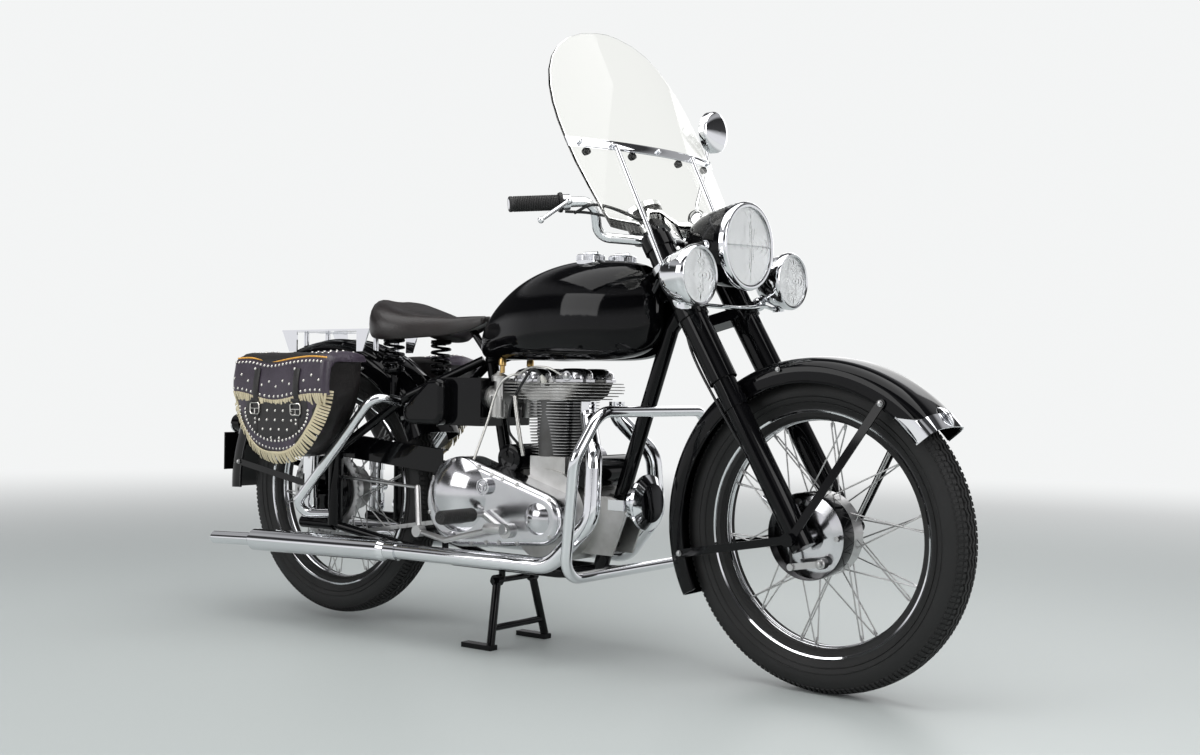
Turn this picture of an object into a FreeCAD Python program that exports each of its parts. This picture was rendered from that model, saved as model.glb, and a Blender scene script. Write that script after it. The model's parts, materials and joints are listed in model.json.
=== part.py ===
import FreeCAD, Part
import math
import os

# Solo motorcycle of about 1950 on its centre stand, in millimetres.
# While it is modelled, +X points forward, +Y to the rider's left and +Z up, and the zero point
# is on the floor under the front axle. "Back" is a distance behind the front axle, "side" is to
# the rider's left, and a name that ends in SHARE or SHARES holds parts of another size.

V = FreeCAD.Vector

# Fits that every piece uses
SEAT_GAP = 0.3
OVERRUN = 5.0
BEND_ROOM_SHARE = 0.49
HALF_SHARE = 0.5
QUARTER_TURN = 90.0
HALF_TURN = 180.0
FULL_TURN = 360.0

# Wheels
TYRE_RADIUS = 330.0
TYRE_WIDTH = 90.0
TYRE_BANDS = 6
TYRE_CLEARANCE = 6.0
RIM_RADIUS = 255.0
RIM_SEAT = 243.0
RIM_WELL = 233.0
RIM_WIDTH = 58.0
RIM_WELL_WIDTH = 20.0
RIM_WALL = 3.5
REAR_LIFT = 15.0
TYRE_TO_GEARBOX = 112.0
SPOKE_RADIUS = 1.6
SPOKES_PER_SIDE = 20
SPOKE_SWEEP_DEG = 62.0
SPOKE_STAGGER = 4.0
SPOKE_RIM_OFFSET = 6.0
AXLE_RADIUS = 9.0
AXLE_RUN_CLEARANCE = 0.4
AXLE_NUT_RADIUS = 14.0
AXLE_NUT_LENGTH = 12.0
DRUM_RADIUS = 88.0
DRUM_WIDTH = 46.0
HUB_RADIUS = 32.0
HUB_FLANGE_RADIUS = 58.0
HUB_FLANGE_WIDTH = 6.0
FLANGE_SIDE = 40.0
FRONT_DRUM_OUT = 40.0
REAR_DRUM_OUT = 62.0
BRAKE_GAP = 5.0
BRAKE_PLATE_DEPTH = 15.0
BRAKE_NOSE_RADIUS = 13.0
BRAKE_ARM_RADIUS = 5.0
BRAKE_PIVOT_RADIUS = 58.0
FRONT_ARM_DEG = 140.0
FRONT_ARM_BACK = 60.0
FRONT_ARM_DROP = -36.0
REAR_ARM_DEG = -5.0
REAR_ARM_REACH = 46.0
BRAKE_PROFILE_SHARES = [(0.0, 1.0), (0.3, 1.0), (0.8, 0.62), (1.0, 0.4)]

# Front fork
RAKE_DEG = 30.0
FORK_OFFSET = 64.0
STEER_AT_REST_DEG = -3.7
FORK_HALF_SPACING = 98.0
SLIDER_RADIUS = 25.5
SHROUD_RADIUS = 31.0
SHROUD_LOW = 645.0
SHROUD_TOP = 958.0
COLLAR_LOW = 588.0
COLLAR_RADIUS = 28.5
COLLAR_HEIGHT = 18.0
FORK_END_DROP = 20.0
YOKE_LOW = 756.0
YOKE_TOP = 905.0
YOKE_SWING_RADIUS = 62.0
YOKE_THICKNESS = 26.0
YOKE_WALL = 4.0
STEM_RADIUS = 14.0
STEM_CLEARANCE = 0.5
HEAD_TUBE_RADIUS = 30.0
HEAD_GAP = 5.0
FORK_NUT_RADIUS = 17.0
FORK_NUT_HEIGHT = 12.0

# Front mudguard
GUARD_RADIUS = 365.0
GUARD_SKIRT = 312.0
GUARD_HALF_WIDTH = 69.0
GUARD_WALL = 2.5
GUARD_SECTION_SHARES = [(1.0, 0.34), (0.93, 0.19), (0.78, 0.09), (0.5, 0.03), (0.0, 0.0)]
GUARD_PAD_HEIGHT = 622.0
GUARD_PAD_RADIUS = 8.0
STAY_EYE_RADIUS = 13.0
GUARD_FRONT_DEG = 39.0
GUARD_REAR_DEG = 206.0
STAY_WIDTH = 18.0
STAY_PLATE = 5.0
STAY_FRONT_DEG = 58.0
STAY_REAR_DEG = 191.0

# Lamps
HEADLAMP_BACK = 182.0
HEADLAMP_HEIGHT = 931.0
HEADLAMP_RADIUS = 95.0
HEADLAMP_DEPTH = 150.0
HEADLAMP_RIM = 14.0
LAMP_EAR_RADIUS = 9.0
FOG_BACK = 185.0
FOG_HEIGHT = 862.0
FOG_HALF_SPACING = 178.0
FOG_RADIUS = 64.0
FOG_DEPTH = 88.0
FOG_RIM = 12.0
LAMP_BAR_RADIUS = 7.0
LAMP_BAR_BACK = 232.0
LAMP_BAR_HEIGHT = 812.0
LAMP_EAR_RISE = -8.0
LAMP_BANDS = 8
LENS_EDGE_SHARE = 0.9
BOWL_SHARE = 0.94

# Handlebar and controls
BAR_RADIUS = 11.1
BAR_BEND = 34.0
BAR_CENTRE_BACK = 405.0
BAR_CENTRE_HEIGHT = 950.0
BAR_CENTRE_HALF = 78.0
BAR_KNEE_BACK = 474.0
BAR_KNEE_HALF = 154.0
BAR_KNEE_HEIGHT = 958.0
BAR_SHOULDER_BACK = 455.0
BAR_SHOULDER_HALF = 190.0
BAR_SHOULDER_HEIGHT = 1032.0
BAR_END_BACK = 566.0
BAR_END_HALF = 340.0
BAR_END_HEIGHT = 1022.0
BAR_CLAMP_HALF_SPACING = 30.0
BAR_CLAMP_RADIUS = 15.0
BAR_CLAMP_HALF = 11.0
BAR_POST_RADIUS = 9.0
GRIP_LENGTH = 116.0
GRIP_RADIUS = 17.0
GRIP_FLANGE_RADIUS = 22.0
GRIP_FLANGE_LENGTH = 8.0
LEVER_CLAMP_RADIUS = 17.0
LEVER_CLAMP_LENGTH = 16.0
LEVER_REACH = 30.0
LEVER_BACK = 15.0
LEVER_OUT = 72.0
LEVER_DROP = 45.0
LEVER_RADIUS = 4.5
LEVER_BALL_RADIUS = 7.0
MIRROR_RADIUS = 50.0
MIRROR_DEPTH = 14.0
MIRROR_STEM_RADIUS = 4.5
MIRROR_CLAMP_RADIUS = 15.0
MIRROR_CLAMP_LENGTH = 12.0
MIRROR_KNEE_BACK = 502.0
MIRROR_KNEE_HALF = 274.0
MIRROR_KNEE_HEIGHT = 1110.0
MIRROR_HEIGHT = 1243.0
MIRROR_HALF = 316.0
MIRROR_BACK = 504.0
SPEEDO_RADIUS = 46.0
SPEEDO_DEPTH = 62.0
SPEEDO_HEIGHT = 968.0
SPEEDO_POST_RADIUS = 10.0

# Windscreen
SCREEN_LOW_HEIGHT = 956.0
SCREEN_HEIGHT = 483.0
SCREEN_LEAN_DEG = 26.6
SCREEN_LOW_BACK = 331.0
SCREEN_HALF_WIDTH = 262.0
SCREEN_SWEEP_RADIUS = 900.0
SCREEN_THICKNESS = 4.0
SCREEN_NOTCH_CLEARANCE = 2.0
SCREEN_OUTLINE_SHARES = [(0.0, 0.9), (0.2, 0.96), (0.42, 1.0), (0.6, 0.985), (0.76, 0.89), (0.89, 0.67),
                         (0.97, 0.36)]
BAND_ABOVE_LOW = 188.0
BAND_HEIGHT = 22.0
BAND_THICKNESS = 3.0
STRUT_RADIUS = 6.0
STRUT_CLAMP_HEIGHT = 12.0
STRUT_CLAMP_BELOW = 78.0

# Frame
HEAD_LUG_BEHIND_STEM = 59.0
HEAD_LUG_DROP = 15.6
DOWN_TUBE_SHARE = 0.3
DOWN_TUBE_RADIUS = 18.0
DOWN_TUBE_DROP = 552.0
DOWN_TUBE_RUN = 189.0
CRADLE_RADIUS = 12.5
CRADLE_HALF = 62.0
CRADLE_HEIGHT = 195.0
CRADLE_BEND = 60.0
CRADLE_SHORT = 15.0
BACKBONE_RADIUS = 17.0
BACKBONE_SHARE = 0.6
SEAT_TUBE_RADIUS = 15.0
SEAT_LUG_BEHIND_GEARBOX = 29.0
SEAT_LUG_ABOVE_HEAD = 48.0
SEAT_TUBE_FOOT_AHEAD = 57.0
SEAT_TUBE_FOOT_SHARE = 0.06
STAY_RADIUS = 11.0
STAY_KNEE_DEG = 38.0
STAY_KNEE_HALF = 92.0
PLUNGER_HALF = 118.0
PLUNGER_TOP = 125.0
PLUNGER_LOW = 83.0
PLUNGER_ROD_RADIUS = 9.0
PLUNGER_LUG_RADIUS = 15.0
PLUNGER_LUG_REACH = 30.0
PLUNGER_COVER_RADIUS = 22.0
PLUNGER_COVER_LENGTH = 50.0
PLUNGER_SLIDER_RADIUS = 18.5
UPRIGHT_AHEAD = 92.0
UPRIGHT_RADIUS = 19.0
PEDAL_PIVOT_RADIUS = 8.0
PEDAL_PIVOT_ABOVE = 78.0
PEDAL_BEHIND_GEARBOX = 10.0
PEDAL_TAB_SIDE = 68.0
PEDAL_BOSS_SIDE = 150.0
HANGER_ROD_RADIUS = 6.0
HANGER_BEHIND_GEARBOX = 121.0

# Engine: the case is placed from the down tube's foot, and the rest from the case
CASE_BEHIND_FOOT = 95.0
CASE_RADIUS = 108.0
CASE_HALF = 80.0
CASE_ABOVE_CRADLE = 9.0
NECK_LENGTH = 104.0
NECK_WIDTH = 140.0
NECK_BEHIND_CASE = 10.0
NECK_HEIGHT = 138.0
BARREL_LENGTH = 133.0
BARREL_WIDTH = 152.0
BARREL_HEIGHT = 129.0
BARREL_INSET = 13.0
BARREL_FINS = 16
FIN_THICKNESS = 2.6
HEAD_LENGTH = 268.0
HEAD_WIDTH = 164.0
HEAD_HEIGHT = 48.0
HEAD_INSET = 16.0
HEAD_FINS = 6
ROCKER_LENGTH = 86.0
ROCKER_HEIGHT = 28.0
ROCKER_WIDTH = 66.0
ROCKER_HALF_SPACING = 41.0
ROCKER_ROUND = 11.0
GEARBOX_BEHIND_CASE = 216.0
GEARBOX_LENGTH = 208.0
GEARBOX_HEIGHT = 158.0
GEARBOX_ABOVE_CASE = 20.0
GEARBOX_HALF = 46.0
GEARBOX_ROUND = 18.0
MAGNETO_BEHIND_CASE = 114.0
MAGNETO_ABOVE_CASE = 129.0
MAGNETO_RADIUS = 34.0
MAGNETO_HALF = 84.0
MAGNETO_BED_LENGTH = 46.0
MAGNETO_BED_HALF = 58.0
DYNAMO_DEG = 47.0
DYNAMO_BED_SHARE = 0.5
DYNAMO_RADIUS = 37.0
DYNAMO_HALF = 86.0
COVER_SIDE = 80.0
COVER_DEPTH = 70.0
COVER_FILLET = 18.0
COVER_NOSE_RADIUS = 62.0
COVER_NOSE_AHEAD = 26.0
COVER_TAIL_RADIUS = 107.0
COVER_TAIL_RISE = 25.0
DOME_RADIUS = 88.0
DOME_RISE = 34.0
DOME_ABOVE_TAIL = 17.0
CRANK_DOME_RADIUS = 36.0
CRANK_DOME_RISE = 16.0
CAP_BOSS_RADIUS = 20.0
CAP_BOSS_RISE = 7.0
CAP_BOSS_BEHIND_CASE = 128.0
CAP_BOSS_ABOVE_CASE = 66.0
TIMING_DEPTH = 34.0
TIMING_RADIUS = 84.0
TIMING_NOSE_RADIUS = 40.0
TIMING_NOSE_RISE = 122.0
PLATE_THICKNESS = 7.0
PLATE_SIDE = 36.0
PLATE_TOP = 52.0
PLATE_FRONT_REACH = 50.0
PLATE_LOW_SHARE = 0.76
PLATE_LUG_RADIUS = 9.0
CARB_HALF_SPACING = 52.0
CARB_BORE_RADIUS = 17.0
CARB_BODY_RADIUS = 19.0
CARB_BODY_HEIGHT = 96.0
CARB_BODY_BEHIND = 22.0
CARB_MOUTH_RADIUS = 24.0
CARB_MOUTH_LENGTH = 27.0
CARB_FLOAT_RADIUS = 17.0
CARB_FLOAT_HEIGHT = 50.0
CARB_FLOAT_AHEAD = 4.0
CARB_FLOAT_RISE = 3.0
CARB_DROP = 20.0

# Exhausts
PIPE_RADIUS = 19.0
PIPE_BEND = 74.0
PORT_AHEAD = 106.0
PORT_HALF = 56.0
PORT_DROP = 34.0
PIPE_KNEE_BACK = 512.0
PIPE_KNEE_HALF = 116.0
PIPE_KNEE_HEIGHT = 470.0
PIPE_SHIN_BACK = 506.0
PIPE_SHIN_HALF = 130.0
PIPE_SHIN_HEIGHT = 330.0
PIPE_LOW_BACK = 608.0
PIPE_LOW_HALF = 152.0
PIPE_LOW_HEIGHT = 221.0
SILENCER_BEHIND_GEARBOX = 205.0
SILENCER_CONE = 18.0
SILENCER_HALF = 173.0
SILENCER_RADIUS = 28.5
SILENCER_LENGTH = 512.0
SILENCER_DROP = 12.0
CLIP_RADIUS = 23.0
CLIP_LENGTH = 34.0
TAIL_PIPE_RADIUS = 17.0
TAIL_PIPE_LENGTH = 150.0

# Tank and saddle
TANK_FRONT_BACK = 394.0
TANK_LENGTH = 536.0
TANK_ABOVE_ROCKERS = 22.0
TANK_HEIGHT = 224.0
TANK_HALF_WIDTH = 126.0
TUNNEL_CLEARANCE = 6.0
TANK_STATION_SHARES = [(0.0, 0.34, 0.32, 0.7), (0.04, 0.54, 0.14, 0.86), (0.14, 0.8, 0.03, 0.96),
                       (0.32, 1.0, 0.0, 1.0), (0.52, 0.97, 0.0, 0.97), (0.72, 0.8, 0.0, 0.83),
                       (0.88, 0.55, 0.0, 0.6), (0.97, 0.34, 0.02, 0.38), (1.0, 0.16, 0.08, 0.26)]
TANK_SECTION_SHARES = [(0.0, 1.0), (0.55, 0.95), (0.9, 0.72), (1.0, 0.42), (0.92, 0.14), (0.6, 0.0),
                       (0.0, 0.0)]
CAP_RADIUS = 32.0
CAP_HEIGHT = 16.0
CAP_LEVEL_SHARE = 0.99
TUNNEL_PAST_SHARE = 0.2
CAP_PLACE_SHARES = [(0.37, -0.26), (0.29, 0.26)]
SADDLE_BEHIND_TANK = 6.0
SADDLE_LENGTH = 318.0
SADDLE_HALF_WIDTH = 142.0
SADDLE_DEPTH = 104.0
SADDLE_BELOW_TANK_TOP = 72.0
SADDLE_STATION_SHARES = [(0.0, 0.14, 0.36, 0.56), (0.1, 0.22, 0.24, 0.56), (0.3, 0.44, 0.1, 0.56),
                         (0.52, 0.84, 0.02, 0.62), (0.72, 1.0, 0.0, 0.78), (0.88, 0.9, 0.08, 0.95),
                         (0.97, 0.62, 0.3, 1.0), (1.0, 0.4, 0.5, 0.92)]
SADDLE_SECTION_SHARES = [(0.0, 0.93), (0.5, 1.0), (0.88, 0.82), (1.0, 0.45), (0.92, 0.08), (0.5, 0.0),
                         (0.0, 0.06)]
SPRING_HALF_SPACING = 86.0
SPRING_BEHIND_KNEE = 58.0
SPRING_ABOVE_KNEE = 57.0
SPRING_ANCHOR_SHARE = 0.18
SPRING_RADIUS = 24.0
SPRING_WIRE = 3.5
SPRING_TURNS = 6
SPRING_HEIGHT = 66.0
SPRING_CUP = 6.0
SPRING_POST_RADIUS = 6.5
SADDLE_POST_RADIUS = 9.0
SADDLE_POST_SHARE = 0.22

# Rear mudguard, rack, plate and bags
REAR_GUARD_RADIUS = 398.0
REAR_GUARD_SKIRT = 336.0
REAR_GUARD_HALF = 76.0
REAR_GUARD_FRONT_DEG = 24.0
REAR_GUARD_TAIL_DEG = 182.0
TAIL_STAY_DEG = 170.0
PLATE_HEIGHT_DEG = 167.5
PLATE_WIDTH = 130.0
PLATE_HEIGHT = 105.0
PLATE_METAL = 4.0
PLATE_BEHIND_GUARD = 24.0
TAIL_LAMP_DEG = 155.0
TAIL_LAMP_RADIUS = 25.0
TAIL_LAMP_LENGTH = 32.0
TAIL_NECK_SHARE = 0.7
RACK_AHEAD_OF_AXLE = 180.0
RACK_LENGTH = 333.0
RACK_ABOVE_GUARD = 24.0
RACK_HALF = 92.0
RACK_PLATE = 4.0
RACK_SIDE_DEPTH = 58.0
RACK_SIDE_LENGTH = 58.0
RACK_BRACKET_LENGTH = 46.0
RACK_BARS = 5
RACK_BAR_WIDTH = 20.0
RACK_FOOT_RADIUS = 7.0
BAG_AHEAD_OF_AXLE = 228.0
BAG_LENGTH = 350.0
BAG_HEIGHT = 260.0
BAG_BELOW_RACK = 66.0
BAG_INNER = 152.0
BAG_DEPTH = 128.0
BAG_ROUND = 62.0
BAG_EDGE = 16.0
BAG_OUTLINE_SHARES = [(0.0, 1.0), (0.03, 0.5), (0.32, 0.0), (0.74, 0.0), (1.0, 0.46), (0.95, 1.0)]
BAG_TAB_SHARES = (0.3, 0.62)
BAG_TAB_WIDTH = 34.0
BAG_TAB_THICKNESS = 12.0
BAG_TAB_BELOW_TOP = 8.0
BAG_BAR_START_SHARE = 0.1
BAG_BAR_RADIUS = 12.5
BAG_BAR_BEND = 46.0
BAG_BAR_TOP_HALF = 172.0
BAG_BAR_TOP_AHEAD = 282.0
BAG_BAR_TOP_RISE = 252.0
BAG_BAR_LOW_HALF = 186.0
BAG_BAR_LOW_BEHIND = 4.0
BAG_BAR_LOW_DROP = 54.0

# Boxes under the saddle
BATTERY_LENGTH = 124.0
BATTERY_HEIGHT = 116.0
BATTERY_BEHIND_HEAD = 54.0
BATTERY_BELOW_HEAD = 112.0
BATTERY_SIDE = 94.0
TOOLBOX_LENGTH = 142.0
TOOLBOX_OVERLAP = 28.0
TOOLBOX_DEPTH = 34.0
TOOLBOX_ROUND = 14.0
TOOLBOX_OUTLINE_SHARES = [(0.0, 0.0), (0.0, 1.0), (0.34, 0.97), (1.0, 0.34), (0.86, 0.0)]
OIL_TANK_LENGTH = 122.0
OIL_TANK_ROUND = 20.0
OIL_TANK_SIDE = 104.0

# Crash bar, horn, chain, footrests and levers
CRASH_RADIUS = 12.5
CRASH_TOP_BACK = 432.0
CRASH_HEIGHT = 364.0
CRASH_LOW_HEIGHT = 208.0
CRASH_LEAN = 71.0
CRASH_HALF = 266.0
CRASH_OUTLINE_SHARES = [(0.77, 1.0), (1.0, 0.72), (0.86, 0.0)]
CRASH_BEND = 62.0
CRASH_CLAMP_RADIUS = 10.0
CRASH_CLAMP_DROP = 14.0
HORN_BACK = 391.0
HORN_SIDE = -60.0
HORN_HEIGHT = 371.0
HORN_RADIUS = 62.0
HORN_DEPTH = 50.0
HORN_ARM_WIDTH = 24.0
HORN_ARM_THICKNESS = 8.0
HORN_PROFILE_SHARES = [(0.0, 0.0), (0.0, 0.7), (-0.2, 1.0), (-0.34, 1.0), (-0.5, 0.8), (-0.8, 0.72),
                       (-1.0, 0.4), (-1.0, 0.0)]
SPROCKET_TIP = 117.0
SPROCKET_ROOT = 111.0
SPROCKET_TEETH = 46
SPROCKET_THICKNESS = 5.0
FRONT_SPROCKET_RADIUS = 50.0
FRONT_SPROCKET_AHEAD = 16.0
FRONT_SPROCKET_RISE = 22.0
CHAIN_SIDE = -58.0
CHAIN_WIDTH = 10.0
CHAIN_THICKNESS = 10.0
CHAIN_GUARD_GAP = 28.0
CHAIN_GUARD_WALL = 2.5
CHAIN_GUARD_DEPTH = 60.0
CHAIN_GUARD_WIDTH = 21.5
REST_BEHIND_CASE = 125.0
REST_HEIGHT = 328.0
REST_INNER = 190.0
REST_LENGTH = 118.0
REST_RADIUS = 16.0
REST_ROD_RADIUS = 8.0
REST_PAD_RADIUS = 17.0
REST_PAD_THICKNESS = 12.0
REST_PAD_BEHIND_CASE = 58.0
REST_PAD_HEIGHT = 292.0
REST_RUBBER_START = 9.0
PEDAL_RADIUS = 7.0
PEDAL_BOSS_RADIUS = 14.0
PEDAL_BOSS_HALF = 11.0
PEDAL_PAD_LENGTH = 48.0
PEDAL_TIP_BEHIND_CASE = 62.0
PEDAL_TIP_RISE = 27.0
PEDAL_RELAY_BACK = 49.0
BRAKE_ROD_FRONT_SIDE = 118.0
PEDAL_SIDE = 196.0
BRAKE_ROD_RADIUS = 4.0
BRAKE_ROD_ABOVE = 100.0
BRAKE_ROD_SIDE = 90.0
REAR_ARM_AHEAD = 68.3
REAR_ARM_RISE = 40.0
KICK_RADIUS = 9.0
KICK_RISE = 150.0
KICK_SHAFT_ABOVE_CASE = 60.0
KICK_SHAFT_BEHIND_CASE = 262.0
KICK_OUT = 96.0
KICK_PEDAL_LENGTH = 82.0
GEAR_SHAFT_BEHIND_CASE = 232.0
GEAR_SHAFT_RISE = 26.0
GEAR_LEVER_SIDE = 134.0
GEAR_TOE_BEHIND_CASE = 96.0

# Centre stand
STAND_BEHIND_CASE = 162.0
STAND_PIVOT_HEIGHT = 160.0
STAND_FOOT_AHEAD = 13.0
STAND_HALF_TOP = 66.0
STAND_HALF_FOOT = 102.0
STAND_LEG_RADIUS = 10.0
STAND_TOE_LENGTH = 92.0
STAND_TOE_WIDTH = 26.0
STAND_TOE_HEIGHT = 12.0
STAND_BAR_HEIGHT = 50.0
STAND_BAR_RADIUS = 8.0
STAND_PIN_RADIUS = 7.0
STAND_EYE_RADIUS = 14.0
STAND_EYE_WIDTH = 18.0
STAND_EYE_CLEARANCE = 0.5
STAND_HANGER_RADIUS = 8.0


def place(back, side, height):
    """A point by its distance behind the front axle, to the left and above the floor."""
    return V(-back, side, height)


ACROSS = V(0, 1, 0)
UP = V(0, 0, 1)
FORWARD = V(1, 0, 0)
RAKE = math.radians(RAKE_DEG)
FORK_UP = V(-math.sin(RAKE), 0, math.cos(RAKE))
FORK_AHEAD = V(math.cos(RAKE), 0, math.sin(RAKE))
FRONT_AXLE = place(0, 0, TYRE_RADIUS)
STEER_BASE = place(FORK_OFFSET / math.cos(RAKE), 0, TYRE_RADIUS)


def fork_point(height, side, ahead=0.0):
    """A point on the line of a fork leg at a height, moved forward square to the leg."""
    rise = (height - TYRE_RADIUS) / math.cos(RAKE)
    return FRONT_AXLE + FORK_UP * rise + FORK_AHEAD * ahead + V(0, side, 0)


def stem_point(height):
    """A point on the steering axis at a height."""
    return STEER_BASE + FORK_UP * ((height - TYRE_RADIUS) / math.cos(RAKE))


HEAD_LOW = stem_point(YOKE_LOW) + FORK_UP * (YOKE_THICKNESS / 2 + HEAD_GAP)
HEAD_HIGH = stem_point(YOKE_TOP) - FORK_UP * (YOKE_THICKNESS / 2 + HEAD_GAP)
HEAD_LUG = HEAD_LOW + V(-HEAD_LUG_BEHIND_STEM, 0, -HEAD_LUG_DROP)
DOWN_TUBE_FOOT = HEAD_LUG + V(-DOWN_TUBE_RUN, 0, -DOWN_TUBE_DROP)
CASE_BACK = CASE_BEHIND_FOOT - DOWN_TUBE_FOOT.x
CASE_HEIGHT = CRADLE_HEIGHT + CRADLE_RADIUS + CASE_ABOVE_CRADLE + CASE_RADIUS
CASE = place(CASE_BACK, 0, CASE_HEIGHT)
ENGINE_BACK = CASE_BACK + NECK_BEHIND_CASE
BARREL_LOW = CASE_HEIGHT + NECK_HEIGHT
BARREL_TOP = BARREL_LOW + BARREL_HEIGHT
HEAD_TOP = BARREL_TOP + HEAD_HEIGHT
GEARBOX_BACK = CASE_BACK + GEARBOX_BEHIND_CASE
GEARBOX_MIDDLE = CASE_HEIGHT + GEARBOX_ABOVE_CASE
GEARBOX_TOP = GEARBOX_MIDDLE + GEARBOX_HEIGHT / 2
GEARBOX_REAR = GEARBOX_BACK + GEARBOX_LENGTH / 2
WHEELBASE = GEARBOX_REAR + TYRE_TO_GEARBOX + TYRE_RADIUS
REAR_AXLE = place(WHEELBASE, 0, TYRE_RADIUS + REAR_LIFT)
SEAT_LUG = place(GEARBOX_BACK + SEAT_LUG_BEHIND_GEARBOX, 0, HEAD_TOP + SEAT_LUG_ABOVE_HEAD)
TANK_BOTTOM = HEAD_TOP + ROCKER_HEIGHT + TANK_ABOVE_ROCKERS
SADDLE_HIGH = TANK_BOTTOM + TANK_HEIGHT - SADDLE_BELOW_TANK_TOP
RACK_HEIGHT = REAR_AXLE.z + REAR_GUARD_RADIUS + RACK_ABOVE_GUARD


def rod(start, end, radius):
    """A round bar between two points."""
    run = end - start
    return Part.makeCylinder(radius, run.Length, start, run)


def disc(centre, radius, half, side=0.0):
    """A round block on an axis across the motorcycle."""
    return Part.makeCylinder(radius, half * 2, centre + V(0, side - half, 0), ACROSS)


def ring(centre, outer, inner, half, side=0.0):
    """A ring on an axis across the motorcycle."""
    return disc(centre, outer, half, side).cut(disc(centre, inner, half + OVERRUN, side))


def block(back, length, half, low, height, side=0.0):
    """A box from its front face backwards, centred on a side offset."""
    return Part.makeBox(length, half * 2, height, place(back + length, side - half, low))


def bent_path(points, bend, closed=False):
    """A wire of straight runs joined by tangent arcs."""
    count = len(points)
    order = list(range(1, count)) + [0] if closed else list(range(1, count - 1))
    cut = {}
    for index in order:
        before, here, after = points[index - 1], points[index], points[(index + 1) % count]
        a, b = (before - here), (after - here)
        a.normalize()
        b.normalize()
        half = a.getAngle(b) / 2
        room = min((before - here).Length, (after - here).Length) * BEND_ROOM_SHARE
        reach = min(bend / math.tan(half), room)
        radius = reach * math.tan(half)
        middle = a + b
        middle.normalize()
        mid = here + middle * (radius / math.sin(half) - radius)
        cut[index] = (here + a * reach, mid, here + b * reach)
    edges = []
    last = cut[0][2] if closed else points[0]
    for index in order:
        start, mid, end = cut[index]
        edges.append(Part.LineSegment(last, start).toShape())
        edges.append(Part.Arc(start, mid, end).toShape())
        last = end
    if not closed:
        edges.append(Part.LineSegment(last, points[-1]).toShape())
    return Part.Wire(edges)


def swept(path, radius):
    """A round bar along a wire."""
    first = path.Edges[0]
    start = first.valueAt(first.FirstParameter)
    direction = first.tangentAt(first.FirstParameter)
    profile = Part.Wire([Part.Circle(start, direction, radius).toShape()])
    return path.makePipeShell([profile], True, False)


def bent_rod(points, bend, radius):
    """A round bar bent along a path."""
    return swept(bent_path(points, bend), radius)


def outline_face(points, bend=0.0):
    """A flat face inside a closed outline, its corners rounded."""
    if bend:
        return Part.Face(bent_path(points, bend, True))
    return Part.Face(Part.makePolygon(list(points) + [points[0]]))


def slab(points, start, end, bend=0.0):
    """A plate with an outline, between two distances to the side."""
    face = outline_face(points, bend)
    face.translate(V(0, start, 0))
    return face.extrude(V(0, end - start, 0))


def turned(points, centre, axis):
    """A solid of revolution: points are (along the axis, radius)."""
    axis = V(axis)
    axis.normalize()
    square = axis.cross(ACROSS)
    if square.Length < SEAT_GAP:
        square = V(UP)
    square.normalize()
    outline = [centre + axis * along + square * radius for along, radius in points]
    return outline_face(outline).revolve(centre, axis, FULL_TURN)


def fused(shapes):
    """One shape out of several that touch."""
    whole = shapes[0]
    if len(shapes) > 1:
        whole = whole.multiFuse(shapes[1:])
    return whole.removeSplitter()


def group(shapes):
    """Several solids that make one piece."""
    return Part.makeCompound(shapes)


def mirrored(shape):
    """The same shape on the other side of the motorcycle."""
    return shape.mirror(V(0, 0, 0), ACROSS)


def moved(shape, step):
    """A copy of a shape, moved."""
    copy = shape.copy()
    copy.translate(step)
    return copy


def polar(centre, radius, angle_deg, side=0.0):
    """A point round a wheel's axis; zero degrees is forward, ninety is up."""
    angle = math.radians(angle_deg)
    return centre + V(math.cos(angle) * radius, side, math.sin(angle) * radius)


def between(start, end, share):
    """The point a share of the way along a line."""
    return start + (end - start) * share


def strap_face(big, small, big_radius, small_radius):
    """A flat face inside a belt round two circles."""
    run = small - big
    tilt = math.atan2(run.z, run.x)
    spread = math.acos((big_radius - small_radius) / run.Length)
    stops = [(big, big_radius, tilt + spread), (small, small_radius, tilt + spread), (small, small_radius,
                                                                                      tilt),
             (small, small_radius, tilt - spread), (big, big_radius, tilt - spread),
             (big, big_radius, tilt + math.pi)]
    points = [centre + V(math.cos(angle) * radius, 0, math.sin(angle) * radius)
              for centre, radius, angle in stops]
    edges = [Part.LineSegment(points[0], points[1]).toShape(),
             Part.Arc(points[1], points[2], points[3]).toShape(),
             Part.LineSegment(points[3], points[4]).toShape(),
             Part.Arc(points[4], points[5], points[0]).toShape()]
    return Part.Face(Part.Wire(edges))


def steered(shape):
    """A piece of the front end, turned to the parked steering angle."""
    turned_shape = shape.copy()
    turned_shape.rotate(STEER_BASE, FORK_UP, STEER_AT_REST_DEG)
    return turned_shape


def tyre(centre):
    """A tyre with a banded section, its beads between the rim's lips."""
    half = TYRE_WIDTH / 2
    middle = TYRE_RADIUS - half
    seat, lip = RIM_SEAT + SEAT_GAP, RIM_RADIUS + SEAT_GAP
    bead = RIM_WIDTH / 2 - RIM_WALL - SEAT_GAP
    start = math.asin((lip - middle) / half)
    sweep = (math.pi - start * 2) / TYRE_BANDS
    wall = [(half * math.cos(start + sweep * index), middle + half * math.sin(start + sweep * index))
            for index in range(TYRE_BANDS + 1)]
    return turned([(-bead, seat), (bead, seat), (bead, lip)] + wall + [(-bead, lip)], centre, ACROSS)


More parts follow.
